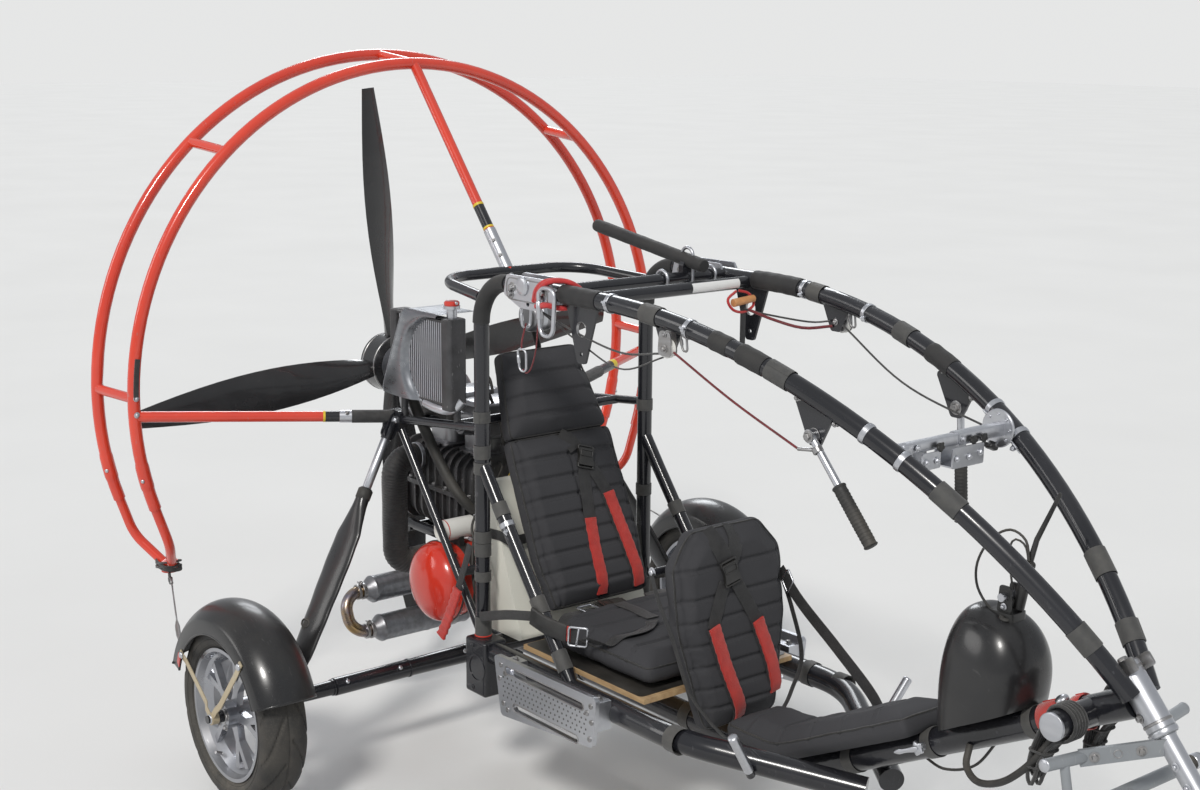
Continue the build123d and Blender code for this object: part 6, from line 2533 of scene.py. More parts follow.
@dataclass
class HangPoint:
    """Bolts on the hinge plates, the red sling, and the two snap links under the right-hand one.

    Attributes:
        centre: Middle of the right-hand hinge.
    """

    centre: Point = (-0.470, -0.262, 1.308)

    def build(self) -> None:
        """Make both hinges and what hangs on the right-hand one."""
        x, y, z = self.centre
        bolts = [bolt((x + dx, y - 0.026, z + dz), (0, -1, 0), 0.013, 0.008) for dx, dz in
                 [(-0.06, 0), (0.06, 0), (-0.066, -0.016), (0.074, 0.014)]]
        bolts += [bolt((x + dx, y + 0.0255, z), ACROSS, 0.013, 0.008) for dx in (-0.06, 0.06)]
        rim = loop_frame((x - 0.004, y - 0.0262, z - 0.004), AHEAD, UP, 0.158, 0.05, 0.016, 0.0016)
        piece("hinge_bolts", both(together(bolts + [rim])), STEEL, 30)
        ring = lathe((x - 0.02, y - 0.0262, z + 0.006), (0, -1, 0),
                     [(0.022, 0), (0.022, 0.003), (0.018, 0.006), (0.01, 0.006)], 30)
        piece("hinge_discs", both(ring), BRIGHT_ALLOY)
        sling = []
        for step in (0.0, 0.011):
            loop = [(-0.445 + step, -0.289, 1.285), (-0.425 + step, -0.296, 1.315),
                    (-0.400 + step, -0.29, 1.335), (-0.372 + step, -0.262, 1.338),
                    (-0.352 + step, -0.238, 1.322), (-0.350 + step, -0.232, 1.300),
                    (-0.362 + step, -0.24, 1.282), (-0.380 + step, -0.27, 1.276),
                    (-0.40 + step, -0.292, 1.282), (-0.43 + step, -0.294, 1.275)]
            sling.append(cable(loop, 0.0062, 0.006, 12))
        piece("hang_sling", together(sling), SLING, 80)
        link = carabiner((-0.387, -0.297, 1.322), (0, 0, -1), AHEAD, 0.11, 0.0052)
        small = carabiner((-0.497, -0.286, 1.165), (0.1, 0, -1), (1, 0.1, 0), 0.052, 0.0026)
        shackle = carabiner((-0.512, -0.262, 1.262), (0, 0, -1), ACROSS, 0.05, 0.003)
        piece("snap_links", together([link, small, shackle]), BRIGHT_ALLOY, 50)
        cord = [cable([(-0.512, -0.262, 1.222), (-0.508, -0.272, 1.20), (-0.502, -0.282, 1.18),
                       (-0.497, -0.286, 1.162)], 0.0022, 0.006, 8),
                cable([(-0.492, -0.286, 1.118), (-0.482, -0.283, 1.110), (-0.470, -0.278, 1.125),
                       (-0.460, -0.272, 1.17), (-0.462, -0.264, 1.235)], 0.0018, 0.006, 8)]
        piece("hang_cords", together(cord), LINE_RED, 80)
        guard = sweep(bent([(-0.694, y - 0.0005, 1.20), (-0.694, y - 0.0005, z), (-0.58, y - 0.0005, z)],
                           0.11, 0.008), circle(0.0212, 24), ACROSS)
        piece("mast_bend_sleeves", both(guard), FOAM)


@dataclass
class TopTubes:
    """Foam on the padded bar, its U-bolts, the blank label, the toggle and the pulleys with their lines.

    Attributes:
        bar: Both ends of the padded bar.
        pulley_x: Station of the plates that carry the pulleys.
    """

    bar: tuple[Point, Point] = ((-0.330, 0.130, 1.346), (-0.760, 0.150, 1.404))
    pulley_x: float = -0.012

    def build(self) -> None:
        """Make the fittings of the upper tubes."""
        start, end = np.array(self.bar[0]), np.array(self.bar[1])
        share = np.linspace(-0.004, 1.004, 60)[:, None]
        swell = 1 + 0.012 * np.sin(share[:, 0] * 37) + 0.008 * np.sin(share[:, 0] * 91 + 1)
        swell[[0, -1]] = 0.9
        foam = sweep(start + share * (end - start), circle(0.0165, 28), ACROSS, swell)
        away = unit(end - start)
        rim = collar(end + away * 0.0005, away, 0.010, 0.0152, 0.004)
        piece("padded_bar_foam", foam + rim, FOAM)
        hoops = []
        for y in (0.053, 0.133, 0.208):
            top = 0.072 if y == 0.133 else 0.022
            arc = bent([(-0.412, y, 1.285), (-0.412, y, 1.312 + top), (-0.372, y, 1.312 + top),
                        (-0.372, y, 1.285)], 0.019, 0.004)
            hoops.append(sweep(arc, circle(0.0042, 12), ACROSS))
            hoops.append(sweep([(-0.422, y, 1.2925), (-0.362, y, 1.2925)], oblong(0.016, 0.004, 0.001, 3),
                               UP))
            hoops += [bolt((x, y, 1.290), (0, 0, -1), 0.008, 0.005) for x in (-0.412, -0.372)]
        piece("u_bolts", together(hoops), BRIGHT_ALLOY)
        angle, y = np.meshgrid(np.radians(np.linspace(-38, 52, 18)), np.linspace(0.057, 0.208, 8))
        label = np.stack([-0.3 + 0.01545 * np.cos(angle), y, 1.302 + 0.01545 * np.sin(angle)], -1)
        piece("tube_label", grid(label), BLANK_LABEL)
        toggle = rod((-0.262, 0.165, 1.262), (-0.262, 0.232, 1.268), 0.0098, 0.0088)
        piece("line_toggle", toggle, WOOD_TOGGLE)
        red = cable([(-0.285, 0.195, 1.285), (-0.27, 0.155, 1.27), (-0.262, 0.165, 1.246),
                     (-0.262, 0.20, 1.238), (-0.262, 0.232, 1.252), (-0.272, 0.226, 1.278),
                     (-0.287, 0.205, 1.286)], 0.0034, 0.005, 10)
        piece("toggle_loop", red, SLING, 80)
        strap = webbing([(-0.262, 0.198, 1.256), (-0.262, 0.198, 1.225), (-0.262, 0.198, 1.185),
                         (-0.262, 0.198, 1.125)], ACROSS, 0.017, 0.003)
        piece("toggle_strap", strap, WEBBING, 80)
        for side in SIDES:
            self.pulley(side)
        self.lines()
        holes = together(self.plate_holes(side) for side in SIDES)
        piece("boom_plate_bolts", holes, STEEL, 30)

    def pulley(self, side: int) -> None:
        """Sheave between two cheeks under a boom plate, turned from a grooved profile.

        Args:
            side: Side of the machine.
        """
        at = boom_at(self.pulley_x, side) + (0.010, 0, -0.056)
        groove = np.array([(0.006, -0.006), (0.0205, -0.006), (0.021, -0.0045), (0.0165, -0.001),
                           (0.0165, 0.001), (0.021, 0.0045), (0.0205, 0.006), (0.006, 0.006)])
        name = SIDE_NAMES[side]
        out = side * 0.012
        piece("sheave_" + name, ring_round(at + (0, out, 0), ACROSS, groove, 36), WHITE_TUBE)
        outline = rounded([(-0.022, -0.02), (0.022, -0.02), (0.018, 0.034), (-0.018, 0.034)], 0.012)
        cheeks = together(plate(outline, 0.0018, at + (0, out + step, 0.004), AHEAD, UP)
                          for step in (-0.0082, 0.0082))
        pins = many(bolt, [(at + (0, out + side * 0.0092, 0), (0, side, 0), 0.010, 0.006),
                           (at + (0, out + side * 0.0092, 0.03), (0, side, 0), 0.007, 0.004)])
        shackle = carabiner(at + (0.036, 0, 0.032), (0.2, 0, -1), AHEAD, 0.034, 0.0026)
        piece("pulley_cheeks_" + name, cheeks + pins + shackle, STEEL, 40)

    def plate_holes(self, side: int) -> Surface:
        """Bolt heads on the boom plates, and the grommet rings round the wide holes.

        Args:
            side: Side of the machine.

        Returns:
            Bolt heads and rings.
        """
        found = []
        for x, drop, across in [(-0.012, 0.052, 0.009), (0.384, 0.074, 0.017), (0.34, 0.022, 0.008),
                                (0.43, 0.024, 0.008)]:
            at = boom_at(x, side) - (0, 0, drop)
            found.append(bolt(at + (0, -0.0032, 0), (0, -1, 0), across, across * 0.55))
            found.append(bolt(at + (0, 0.0032, 0), ACROSS, across, across * 0.55))
        at = boom_at(-0.3, side) - (0, 0, 0.072)
        found.append(collar(at, ACROSS, 0.0168, 0.0185, 0.0066))
        return together(found)

    def lines(self) -> None:
        """Taut lines from the pulleys to the cross bar, the right-hand lever and the toggle."""
        right, left = boom_at(self.pulley_x, RIGHT), boom_at(self.pulley_x, LEFT)
        black = [cable([left + (0.03, -0.01, -0.055), (0.25, 0.203, 1.142), (0.53, 0.165, 1.094)], 0.0024,
                       0.03, 8),
                 cable([(-0.46, -0.255, 1.255), (-0.3, -0.262, 1.222), (-0.15, -0.268, 1.205),
                        right + (-0.01, -0.012, -0.07)], 0.0024, 0.02, 8),
                 cable([(-0.46, -0.250, 1.25), (-0.32, -0.25, 1.20), (-0.17, -0.255, 1.165),
                        right + (0, -0.012, -0.076)], 0.002, 0.02, 8),
                 cable([left + (-0.01, -0.01, -0.05), (-0.10, 0.255, 1.23), (-0.22, 0.23, 1.235),
                        (-0.262, 0.20, 1.245)], 0.0024, 0.02, 8)]
        turn = np.linspace(0, 9, 16)
        coil = np.stack([0.535 + 0.008 * np.cos(turn), 0.163 + 0.008 * np.sin(turn), 1.094 + 0.002 * turn],
                        -1)
        piece("control_lines", together(black + [cable(coil, 0.0024, 0.004, 8)]), LINE_BLACK, 80)
        red = [cable([right + (0.03, -0.012, -0.062), (0.18, -0.249, 1.152), (0.355, -0.233, 1.083)], 0.0026,
                     0.03, 8),
               cable([left + (-0.008, -0.004, -0.062), left + (-0.08, -0.026, -0.074),
                      left + (-0.17, -0.034, -0.066), (-0.25, 0.205, 1.244)], 0.0036, 0.02, 10)]
        piece("red_lines", together(red), LINE_RED, 80)


@dataclass
class CrossBarDress:
    """Telescoping bar between the booms with its clamps, flange, boxes and knobs, and the lever grips.

    Attributes:
        x: Station of the bar.
    """

    x: float = 0.552

    def build(self) -> None:
        """Make the fittings."""
        y, z = abs(boom_at(self.x, RIGHT)[1]), boom_at(self.x, RIGHT)[2]
        x = self.x
        beam = (sweep([(x, 0.004, z), (x, y - 0.036, z)], oblong(0.026, 0.026, 0.003, 3), UP)
                + sweep([(x, 0.026 - y, z), (x, 0.006, z)], oblong(0.0215, 0.0215, 0.0025, 3), UP))
        piece("cross_bar_beam", beam, BRIGHT_ALLOY, 35, replaces=("cross_bar",))
        metal = []
        for side in SIDES:
            for station in (x - 0.052, x + 0.026):
                at, run = boom_at(station, side), boom_run(station, side)
                metal += [collar(at, run, 0.0203, 0.0218, 0.0125, 0.0006, 40),
                          hose_clip(at, run, 0.0206, (0.1, -side * 0.8, -0.7), 0.008)]
            spots = np.linspace(x - 0.066, x + 0.04, 14)
            metal.append(sweep(boom_at(spots, side) + (0, -side * 0.0165, -0.0165),
                               oblong(0.004, 0.026, 0.0015, 3), (0, 1, -side)))
            metal.append(rod((x, side * (y - 0.04), z), (x, side * (y - 0.012), z), 0.0125))
        disc = np.array([(0.012, -0.003), (0.038, -0.003), (0.04, -0.0015), (0.04, 0.0015), (0.038, 0.003),
                         (0.012, 0.003)])
        flange_at = np.array([x - 0.006, y - 0.034, z])
        metal.append(ring_round(flange_at, ACROSS, disc, 48))
        metal += [socket_screw(flange_at + (0.03 * math.cos(a), -0.003, 0.03 * math.sin(a)), (0, -1, 0),
                               0.0032, 0.002) for a in np.arange(8) * math.pi / 4]
        for low, high, deep, reach in [(-0.027, 0.068, 0.054, 0.0225), (-0.112, -0.058, 0.046, 0.018)]:
            box = rounded([(low, -deep), (high, -deep), (high, -0.012), (low, -0.012)], 0.004)
            for side in SIDES:
                metal.append(plate(box, 0.003, (x + side * reach, 0, z), ACROSS, UP))
            metal.append(sweep([(x, low + 0.002, z - deep + 0.002), (x, high - 0.002, z - deep + 0.002)],
                               oblong(2 * reach, 0.003, 0.001, 3), UP))
        # distance in front of the bar's middle, across the machine, below the bar's middle
        heads = [(0.0135, -0.12, 0.0), (0.0135, 0.014, 0.0), (0.0245, -0.015, 0.034), (0.0245, 0.022, 0.034),
                 (0.0245, 0.056, 0.03), (0.02, -0.1, 0.03), (0.02, -0.07, 0.03)]
        metal += [bolt((x + ahead, across, z - drop), AHEAD, 0.008, 0.004) for ahead, across, drop in heads]
        knobs = [self.knob((x + 0.013, across, z - 0.004), AHEAD, 0.0095) for across in (-0.06, 0.04, 0.071)]
        knobs.append(self.knob((x - 0.006, y - 0.05, z - 0.026), (0, -0.5, -0.85), 0.014))
        piece("cross_bar_fittings", together(metal), BRIGHT_ALLOY, 35)
        piece("cross_bar_knobs", together(knobs), BUCKLE_PLASTIC, 40)
        grips = self.grip(RIGHT, 42.0) + self.grip(LEFT, 4.0)
        piece("lever_grips", grips, RUBBER, 50)
        pivots = together(bolt(boom_at(LEVER_X, side) + (0, side * 0.0205, -LEVER_DROP), (0, side, 0), 0.014,
                               0.007) for side in SIDES)
        at, run = np.array([0.405, -0.229, 1.089]), (0.656, 0, -0.755)
        clip = collar(at, run, 0.0082, 0.0112, 0.012) + rod(at, at + (-0.05, -0.004, -0.006), 0.004)
        piece("lever_pivots", pivots + clip, STEEL, 30)

    @staticmethod
    def knob(at: Place, direction: Point, size: float) -> Surface:
        """Lobed hand knob: a turned body whose rim swells five times round.

        Args:
            at: Middle of its foot.
            direction: Where it looks.
            size: Its radius.

        Returns:
            The knob.
        """
        axis, first, second = basis(direction)
        angle = full_turn(40)[None, :, None]
        # height, radius, how much it swells, all as shares of the size
        rows = np.array([(0.0, 0.5, 0), (0.35, 0.5, 0), (0.45, 0.85, 1), (0.6, 1.0, 1), (0.95, 1.0, 1),
                         (1.1, 0.84, 1), (1.15, 0.5, 0.3)]) * (size, size, 1)
        radius = rows[:, 1, None, None] * (1 + 0.13 * rows[:, 2, None, None] * np.cos(5 * angle))
        spoke = np.cos(angle) * first + np.sin(angle) * second
        return grid(np.array(at) + axis * rows[:, 0, None, None] + radius * spoke, around=True)

    @staticmethod
    def grip(side: int, swing: float) -> Surface:
        """Ribbed rubber grip with a thicker rim at each end, along a hand lever.

        Args:
            side: Side of the lever.
            swing: How far the lever swings forward, in degrees.

        Returns:
            The grip.
        """
        pivot = boom_at(LEVER_X, side) + (0, side * 0.012, -LEVER_DROP)
        lean = math.radians(swing)
        down = np.array([math.sin(lean), 0, -math.cos(lean)])
        reach = np.linspace(0.1155, 0.2515, 90)
        ridge = np.sin((reach - 0.13) * 2 * math.pi / 0.0075) > 0
        ribs = 0.0134 + 0.0007 * ridge * (reach > 0.13) * (reach < 0.24)
        ribs[:4], ribs[-3:] = 0.0148, 0.0148
        ribs[[0, -1]] = 0.0132
        return sweep(pivot + reach[:, None] * down, circle(1.0, 26), ACROSS, ribs)


@dataclass
class StepPlateDress:
    """Rows of dimples, countersunk screws, raised rims round the slots, and the mast boots' bolts.

    Attributes:
        face: Outer face of the right-hand plate.
        slots: Rows of centre x, centre z and length of the slots.
    """

    face: float = -0.336
    slots: Sequence[tuple[float, float, float]] = ((-0.346, 0.388, 0.300), (-0.340, 0.302, 0.250))

    def build(self) -> None:
        """Make both sides."""
        pins = []
        for row, z in enumerate(np.arange(0.322, 0.372, 0.012)):
            start = -0.505 + 0.006 * (row % 2)
            pins += [lathe((x, self.face + 0.0003, z - (x + 0.35) * -0.02), (0, -1, 0),
                           [(0.0027, 0), (0.0026, 0.0005), (0.0012, 0.0006)], 10)
                     for x in np.arange(start, -0.175, 0.0165)]
        piece("step_dimples", both(together(pins)), DIMPLE)
        spots = [(-0.515, 0.395), (-0.497, 0.378), (-0.52, 0.36), (-0.505, 0.30), (-0.168, 0.398),
                 (-0.182, 0.378), (-0.165, 0.36), (-0.172, 0.318), (-0.488, 0.288)]
        screws = many(socket_screw, [((x, self.face, z), (0, -1, 0), 0.0068, 0.0025) for x, z in spots])
        rims = together(loop_frame((x, self.face, z), AHEAD, UP, run + 0.004, 0.020, 0.0098,
                                   0.0016) for x, z, run in self.slots)
        clamp = together(bolt((x, -0.304, z), (0, 0, step), 0.011, 0.006) for x in (-0.5, -0.18)
                         for z, step in [(0.404, 1), (0.336, -1)])
        piece("step_screws", both(screws + rims + clamp), STEEL, 30)
        boot = together(dome_cap((-0.69, -0.298, z), (0, -1, 0), 0.006, 0.004) for z in (0.275, 0.386))
        boot = boot + collar((-0.672, -0.298, 0.33), ACROSS, 0.030, 0.0345, 0.004, 0.0012, 44)
        piece("mast_boot_discs", both(boot), BLACK_COAT)
        ring = collar((-0.694, -0.262, 0.405), UP, 0.0196, 0.0222, 0.004)
        piece("mast_boot_rings", both(ring), RED_MOULD)
        posts = both(dome_cap((0.232, -0.274, 0.44), (0.15, -0.617, 0.917), 0.0108, 0.006)
                     + rod((0.2165, -0.2095, 0.344), (0.232, -0.274, 0.44), 0.0108, sides=20))
        piece("post_caps", posts, BRIGHT_ALLOY)


# Propeller guard

YELLOW_TAPE = Finish("yellow_tape", (0.75, 0.56, 0.03), (0.62, 0.44, 0.02), 0.4, 0.1, pattern=Pattern.PEEL,
                     scale=200, relief=0.00003, wear=0.3, bare=(0.05, 0.05, 0.05), bare_metal=False, dust=0.1,
                     slot="red_plastic")


@dataclass
class GuardDress:
    """Joint sleeves, yellow bands, tail joints and stay wires of the guard, and the face of the propeller's
    drum.

    Attributes:
        spokes: Foot and hoop end of the right-hand, the left-hand and the top spoke.
        radius: Radius of the spokes.
    """

    spokes: tuple[tuple[Point, Point], ...] = (
        ((-1.076, -0.282, 0.902), (-1.384, -0.8567, 0.922)),
        ((-1.076, 0.282, 0.902), (-1.384, 0.8567, 0.922)),
        ((-0.944, 0.0, 1.276), (-1.384, 0.0, 1.803)))
    radius: float = 0.014

    def build(self) -> None:
        """Make sleeves, bands, tail joints and wires."""
        kinds = {"ribbed": LINE_BLACK, "plain": BLACK_COAT, "silver": BRIGHT_ALLOY, "yellow": YELLOW_TAPE}
        # spoke, kind, x where it starts and ends, extra radius
        rows = [(0, "ribbed", -1.074, -1.125, 0.0030), (0, "silver", -1.125, -1.140, 0.0022),
                (0, "plain", -1.140, -1.158, 0.0006), (0, "yellow", -1.157, -1.160, 0.0008),
                (1, "ribbed", -1.074, -1.20, 0.0030), (1, "plain", -1.20, -1.241, 0.0006),
                (1, "yellow", -1.241, -1.253, 0.0008), (2, "silver", -0.948, -1.028, 0.0024),
                (2, "plain", -1.030, -1.079, 0.0006), (2, "yellow", -1.030, -1.034, 0.0010),
                (2, "yellow", -1.076, -1.081, 0.0010)]
        for kind, finish in kinds.items():
            found = together(self.sleeve(self.spokes[spoke], start, end, self.radius + extra)
                             for spoke, label, start, end, extra in rows if label == kind)
            piece(f"spoke_{kind}_sleeves", found, finish)
        screws = together(bolt(self.on_spoke(2, x) + (0.011, -0.011, 0.004), (0.7, -0.65, 0.25), 0.007, 0.004)
                          for x in (-0.975, -1.005))
        screws += bolt(self.on_spoke(0, -1.132) + (0.012, -0.004, 0.012), (0.7, -0.1, 0.7), 0.007, 0.004)
        piece("spoke_screws", screws, STEEL, 30)
        self.hoop_joints()
        self.wires()
        drum = lathe((DRUM_X, 0, SHAFT_Z), AHEAD, [(0.06, 0.0385), (0.062, 0.041), (0.05, 0.0415)], 40)
        piece("drum_face", drum, CAN_STEEL, body="propeller")

    def on_spoke(self, spoke: int, x: float) -> Array:
        """Point of a spoke's axis at a station."""
        foot, tip = (np.array(end) for end in self.spokes[spoke])
        return foot + (tip - foot) * (x - foot[0]) / (tip[0] - foot[0])

    @staticmethod
    def sleeve(spoke: tuple[Point, Point], start: float, end: float, radius: float) -> Surface:
        """Sleeve on a spoke between two stations, with soft ends.

        Args:
            spoke: Foot and hoop end of the spoke.
            start: Station where it starts.
            end: Station where it ends.
            radius: Its radius.

        Returns:
            The sleeve.
        """
        foot, tip = np.array(spoke[0]), np.array(spoke[1])
        share = (np.array([start, end]) - foot[0]) / (tip[0] - foot[0])
        return rod(foot + share[0] * (tip - foot), foot + share[1] * (tip - foot), radius, sides=28)

    def hoop_joints(self) -> None:
        """Thicker sleeves at the tail joints of the hoops, with their screws, and the foam at the top."""
        sleeves, screws = [], []
        angle = np.radians(180 + np.linspace(10.0, 14.8, 9))
        for x, radius in ((HOOP_X, HOOP_RADIUS), (-1.562, 0.878)):
            for side in SIDES:
                path = np.stack([np.full(9, x), side * np.abs(radius * np.cos(angle)),
                                 SHAFT_Z + radius * np.sin(angle)], -1)
                sleeves.append(sweep(path, circle(0.0178, 24), AHEAD, [0.93] + [1] * 7 + [0.93]))
                screws.append(dome_cap(path[5] + (0.012, side * 0.013, 0), (0.68, side * 0.73, 0), 0.005,
                                       0.004))
        piece("hoop_sleeves", together(sleeves), RED_COAT)
        for side in SIDES:
            screws += [bolt((HOOP_X + 0.0155, side * HOOP_RADIUS * math.cos(a),
                             SHAFT_Z + HOOP_RADIUS * math.sin(a)), AHEAD, 0.009, 0.005)
                       for a in (-0.02, 0.03)]
        piece("hoop_screws", together(screws), BRIGHT_ALLOY)
        pad = np.radians(np.linspace(1.5, 8.5, 12))
        strips = [np.stack([np.full(12, HOOP_X), side * HOOP_RADIUS * np.cos(pad),
                            SHAFT_Z + HOOP_RADIUS * np.sin(pad)], -1) for side in SIDES]
        covers = together(sweep(strip + (0.0145, 0, 0), oblong(0.006, 0.014, 0.002, 3), ACROSS)
                          for strip in strips)
        piece("hoop_pads", covers, LINE_BLACK)

    def wires(self) -> None:
        """Cord lashing at each tail joint and the stay wire to the mudguard, with its turnbuckle and tag."""
        joint = np.array([-1.468, -0.742, 0.484])
        foot = np.array([-1.162, -0.861, 0.356])
        run = unit(foot - joint)
        lash = []
        for number in range(5):
            level, swing = 0.004 * number - 0.004, 0.25 * math.sin(number * 1.9)
            lash.append(loop_frame(joint + (0, -0.002, level), (1, 0, swing), (0, 1, 0.3 * swing - 0.1),
                                   0.080, 0.052, 0.024, 0.0028))
        lash.append(carabiner(joint + (0.004, -0.004, -0.012), run, UP, 0.046, 0.003))
        piece("tail_lashings", both(together(lash)), LINE_BLACK, 80)
        start, end = joint + run * 0.052, foot - run * 0.012
        wire = [rod(start, start + (end - start) * 0.62, 0.0022, sides=10)]
        ferrule = rod(start, start + run * 0.024, 0.0042, sides=12)
        low = start + (end - start) * 0.62
        body = lens_form(low + np.linspace(0, 1, 9)[:, None] * (end - low) * 0.7,
                         np.array([0.006, 0.009, 0.0125, 0.013, 0.013, 0.013, 0.0125, 0.009, 0.006]),
                         np.full(9, 0.007), ACROSS, 16)
        hook = carabiner(low + (end - low) * 0.68, run, UP, 0.03, 0.002)
        piece("stay_wires", both(together(wire + [ferrule, body, hook])), STEEL, 50)
        tag_at = foot + (-0.006, -0.004, -0.022)
        tag = plate(rounded([(-0.012, -0.016), (0.012, -0.012), (0.013, 0.014), (-0.011, 0.016)], 0.003),
                    0.002, tag_at, (0.7, -0.2, -0.4), (0.3, 0, 1))
        piece("stay_tags", both(tag), RED_WEBBING)


# Nose, pod and foot controls

GREY_PAINT = Finish("grey_paint", (0.3, 0.32, 0.34), (0.24, 0.255, 0.27), 0.42, 0.12, metallic=0.3,
                    pattern=Pattern.PEEL, scale=200, relief=0.00003, wear=0.3, bare=(0.5, 0.5, 0.5),
                    dust=0.14)


def power(values: Array, exponent: float) -> Array:
    """Signed power, which squares a circle up."""
    return np.sign(values) * np.abs(values) ** exponent


@dataclass
class Pod:
    """Smooth dome over the rising keel, with its bracket, cable and aerial.

    Attributes:
        centre_x: Middle of the dome.
        half_length: Half of its length.
        half_width: Half of its width.
        top: Height of its crown.
    """

    centre_x: float = 0.684
    half_length: float = 0.101
    half_width: float = 0.0955
    top: float = 0.798

    def build(self) -> None:
        """Make the dome and what is on it."""
        piece("pod_shell", self.shell(), GLOSS_MOULD, 60, replaces=("instrument_pod",))
        lugs = together(plate(rounded([(-0.017, -0.026), (0.017, -0.026), (0.013, 0.03), (-0.013, 0.03)],
                                      0.007), 0.004, (0.712, y, 0.818), AHEAD, UP)
                        for y in (-0.016, 0.016))
        foot = plate(rounded([(-0.03, -0.024), (0.03, -0.024), (0.03, 0.024), (-0.03, 0.024)], 0.008), 0.018,
                     (0.706, 0, 0.7865), AHEAD, ACROSS)
        mast = rod((0.722, 0.012, 0.80), (0.738, 0.016, 0.888), 0.013, 0.012)
        mast += dome_cap((0.738, 0.016, 0.888), (0.2, 0, 1), 0.0135, 0.012)
        aerial = sweep([(0.737, 0.018, 0.885), (0.751, 0.02, 0.943), (0.797, 0.02, 1.042),
                        (0.7985, 0.02, 1.046)], oblong(0.011, 0.007, 0.003, 4), ACROSS,
                       [1.2, 1.0, 0.72, 0.5])
        piece("pod_bracket", together([lugs, foot, mast, aerial]), BUCKLE_PLASTIC)
        tube = rod((0.712, -0.03, 0.826), (0.712, 0.024, 0.826), 0.0085)
        tube += bolt((0.712, -0.0185, 0.806), (0, -1, 0), 0.008, 0.005)
        piece("pod_bracket_tube", tube, BRIGHT_ALLOY)
        loop = [(0.742, 0.012, 0.900), (0.730, 0.014, 0.938), (0.695, 0.01, 0.952), (0.655, 0.004, 0.925),
                (0.632, -0.004, 0.875), (0.64, -0.012, 0.83), (0.675, -0.018, 0.797), (0.712, -0.022, 0.789),
                (0.724, -0.022, 0.778)]
        second = [(0.742, 0.012, 0.895), (0.725, 0.02, 0.925), (0.70, 0.02, 0.932), (0.69, 0.018, 0.91),
                  (0.70, 0.012, 0.87), (0.712, 0.008, 0.83)]
        grommet = collar((0.720, -0.022, 0.7868), (0.3, -0.25, 1), 0.004, 0.0125, 0.006, 0.002, 24)
        piece("pod_cable", cable(loop, 0.0026) + cable(second, 0.0022) + grommet, RUBBER, 70)

    def shell(self) -> Surface:
        """Squared dome: plan and rise are circles raised to a power.

        Half-way up it has a belly, its foot slopes with the keel and its crown falls forward.

        Returns:
            The shell.
        """
        turn = full_turn(72)
        rise = np.concatenate([np.linspace(0, math.pi / 2, 34)[:-1], [math.pi / 2 - 0.004]])[:, None]
        plan_x, plan_y = power(np.cos(turn), 0.78), power(np.sin(turn), 0.8)
        foot_z = KEEL_Z + (self.centre_x + self.half_length * plan_x - KEEL_BEND) * KEEL_RISE + 0.034
        lift = np.sin(rise) ** 0.74
        width = np.cos(rise) ** 0.6
        slant = 1 - 0.05 * (1 - lift) * (plan_x < 0)
        belly = 1 + 0.06 * np.sin(math.pi * lift)
        x = self.centre_x + self.half_length * plan_x * width * slant * belly + 0.004 * lift
        y = self.half_width * plan_y * width * belly
        crown = self.top - 0.2 * (x - self.centre_x + 0.018)
        z = foot_z * (1 - lift) + crown * lift
        outer = np.stack([x, y, z], -1)
        middle = outer[0].mean(0)
        inner = outer[:1] + unit(middle - outer[:1]) * 0.003
        return grid(np.concatenate([inner, outer]), around=True)


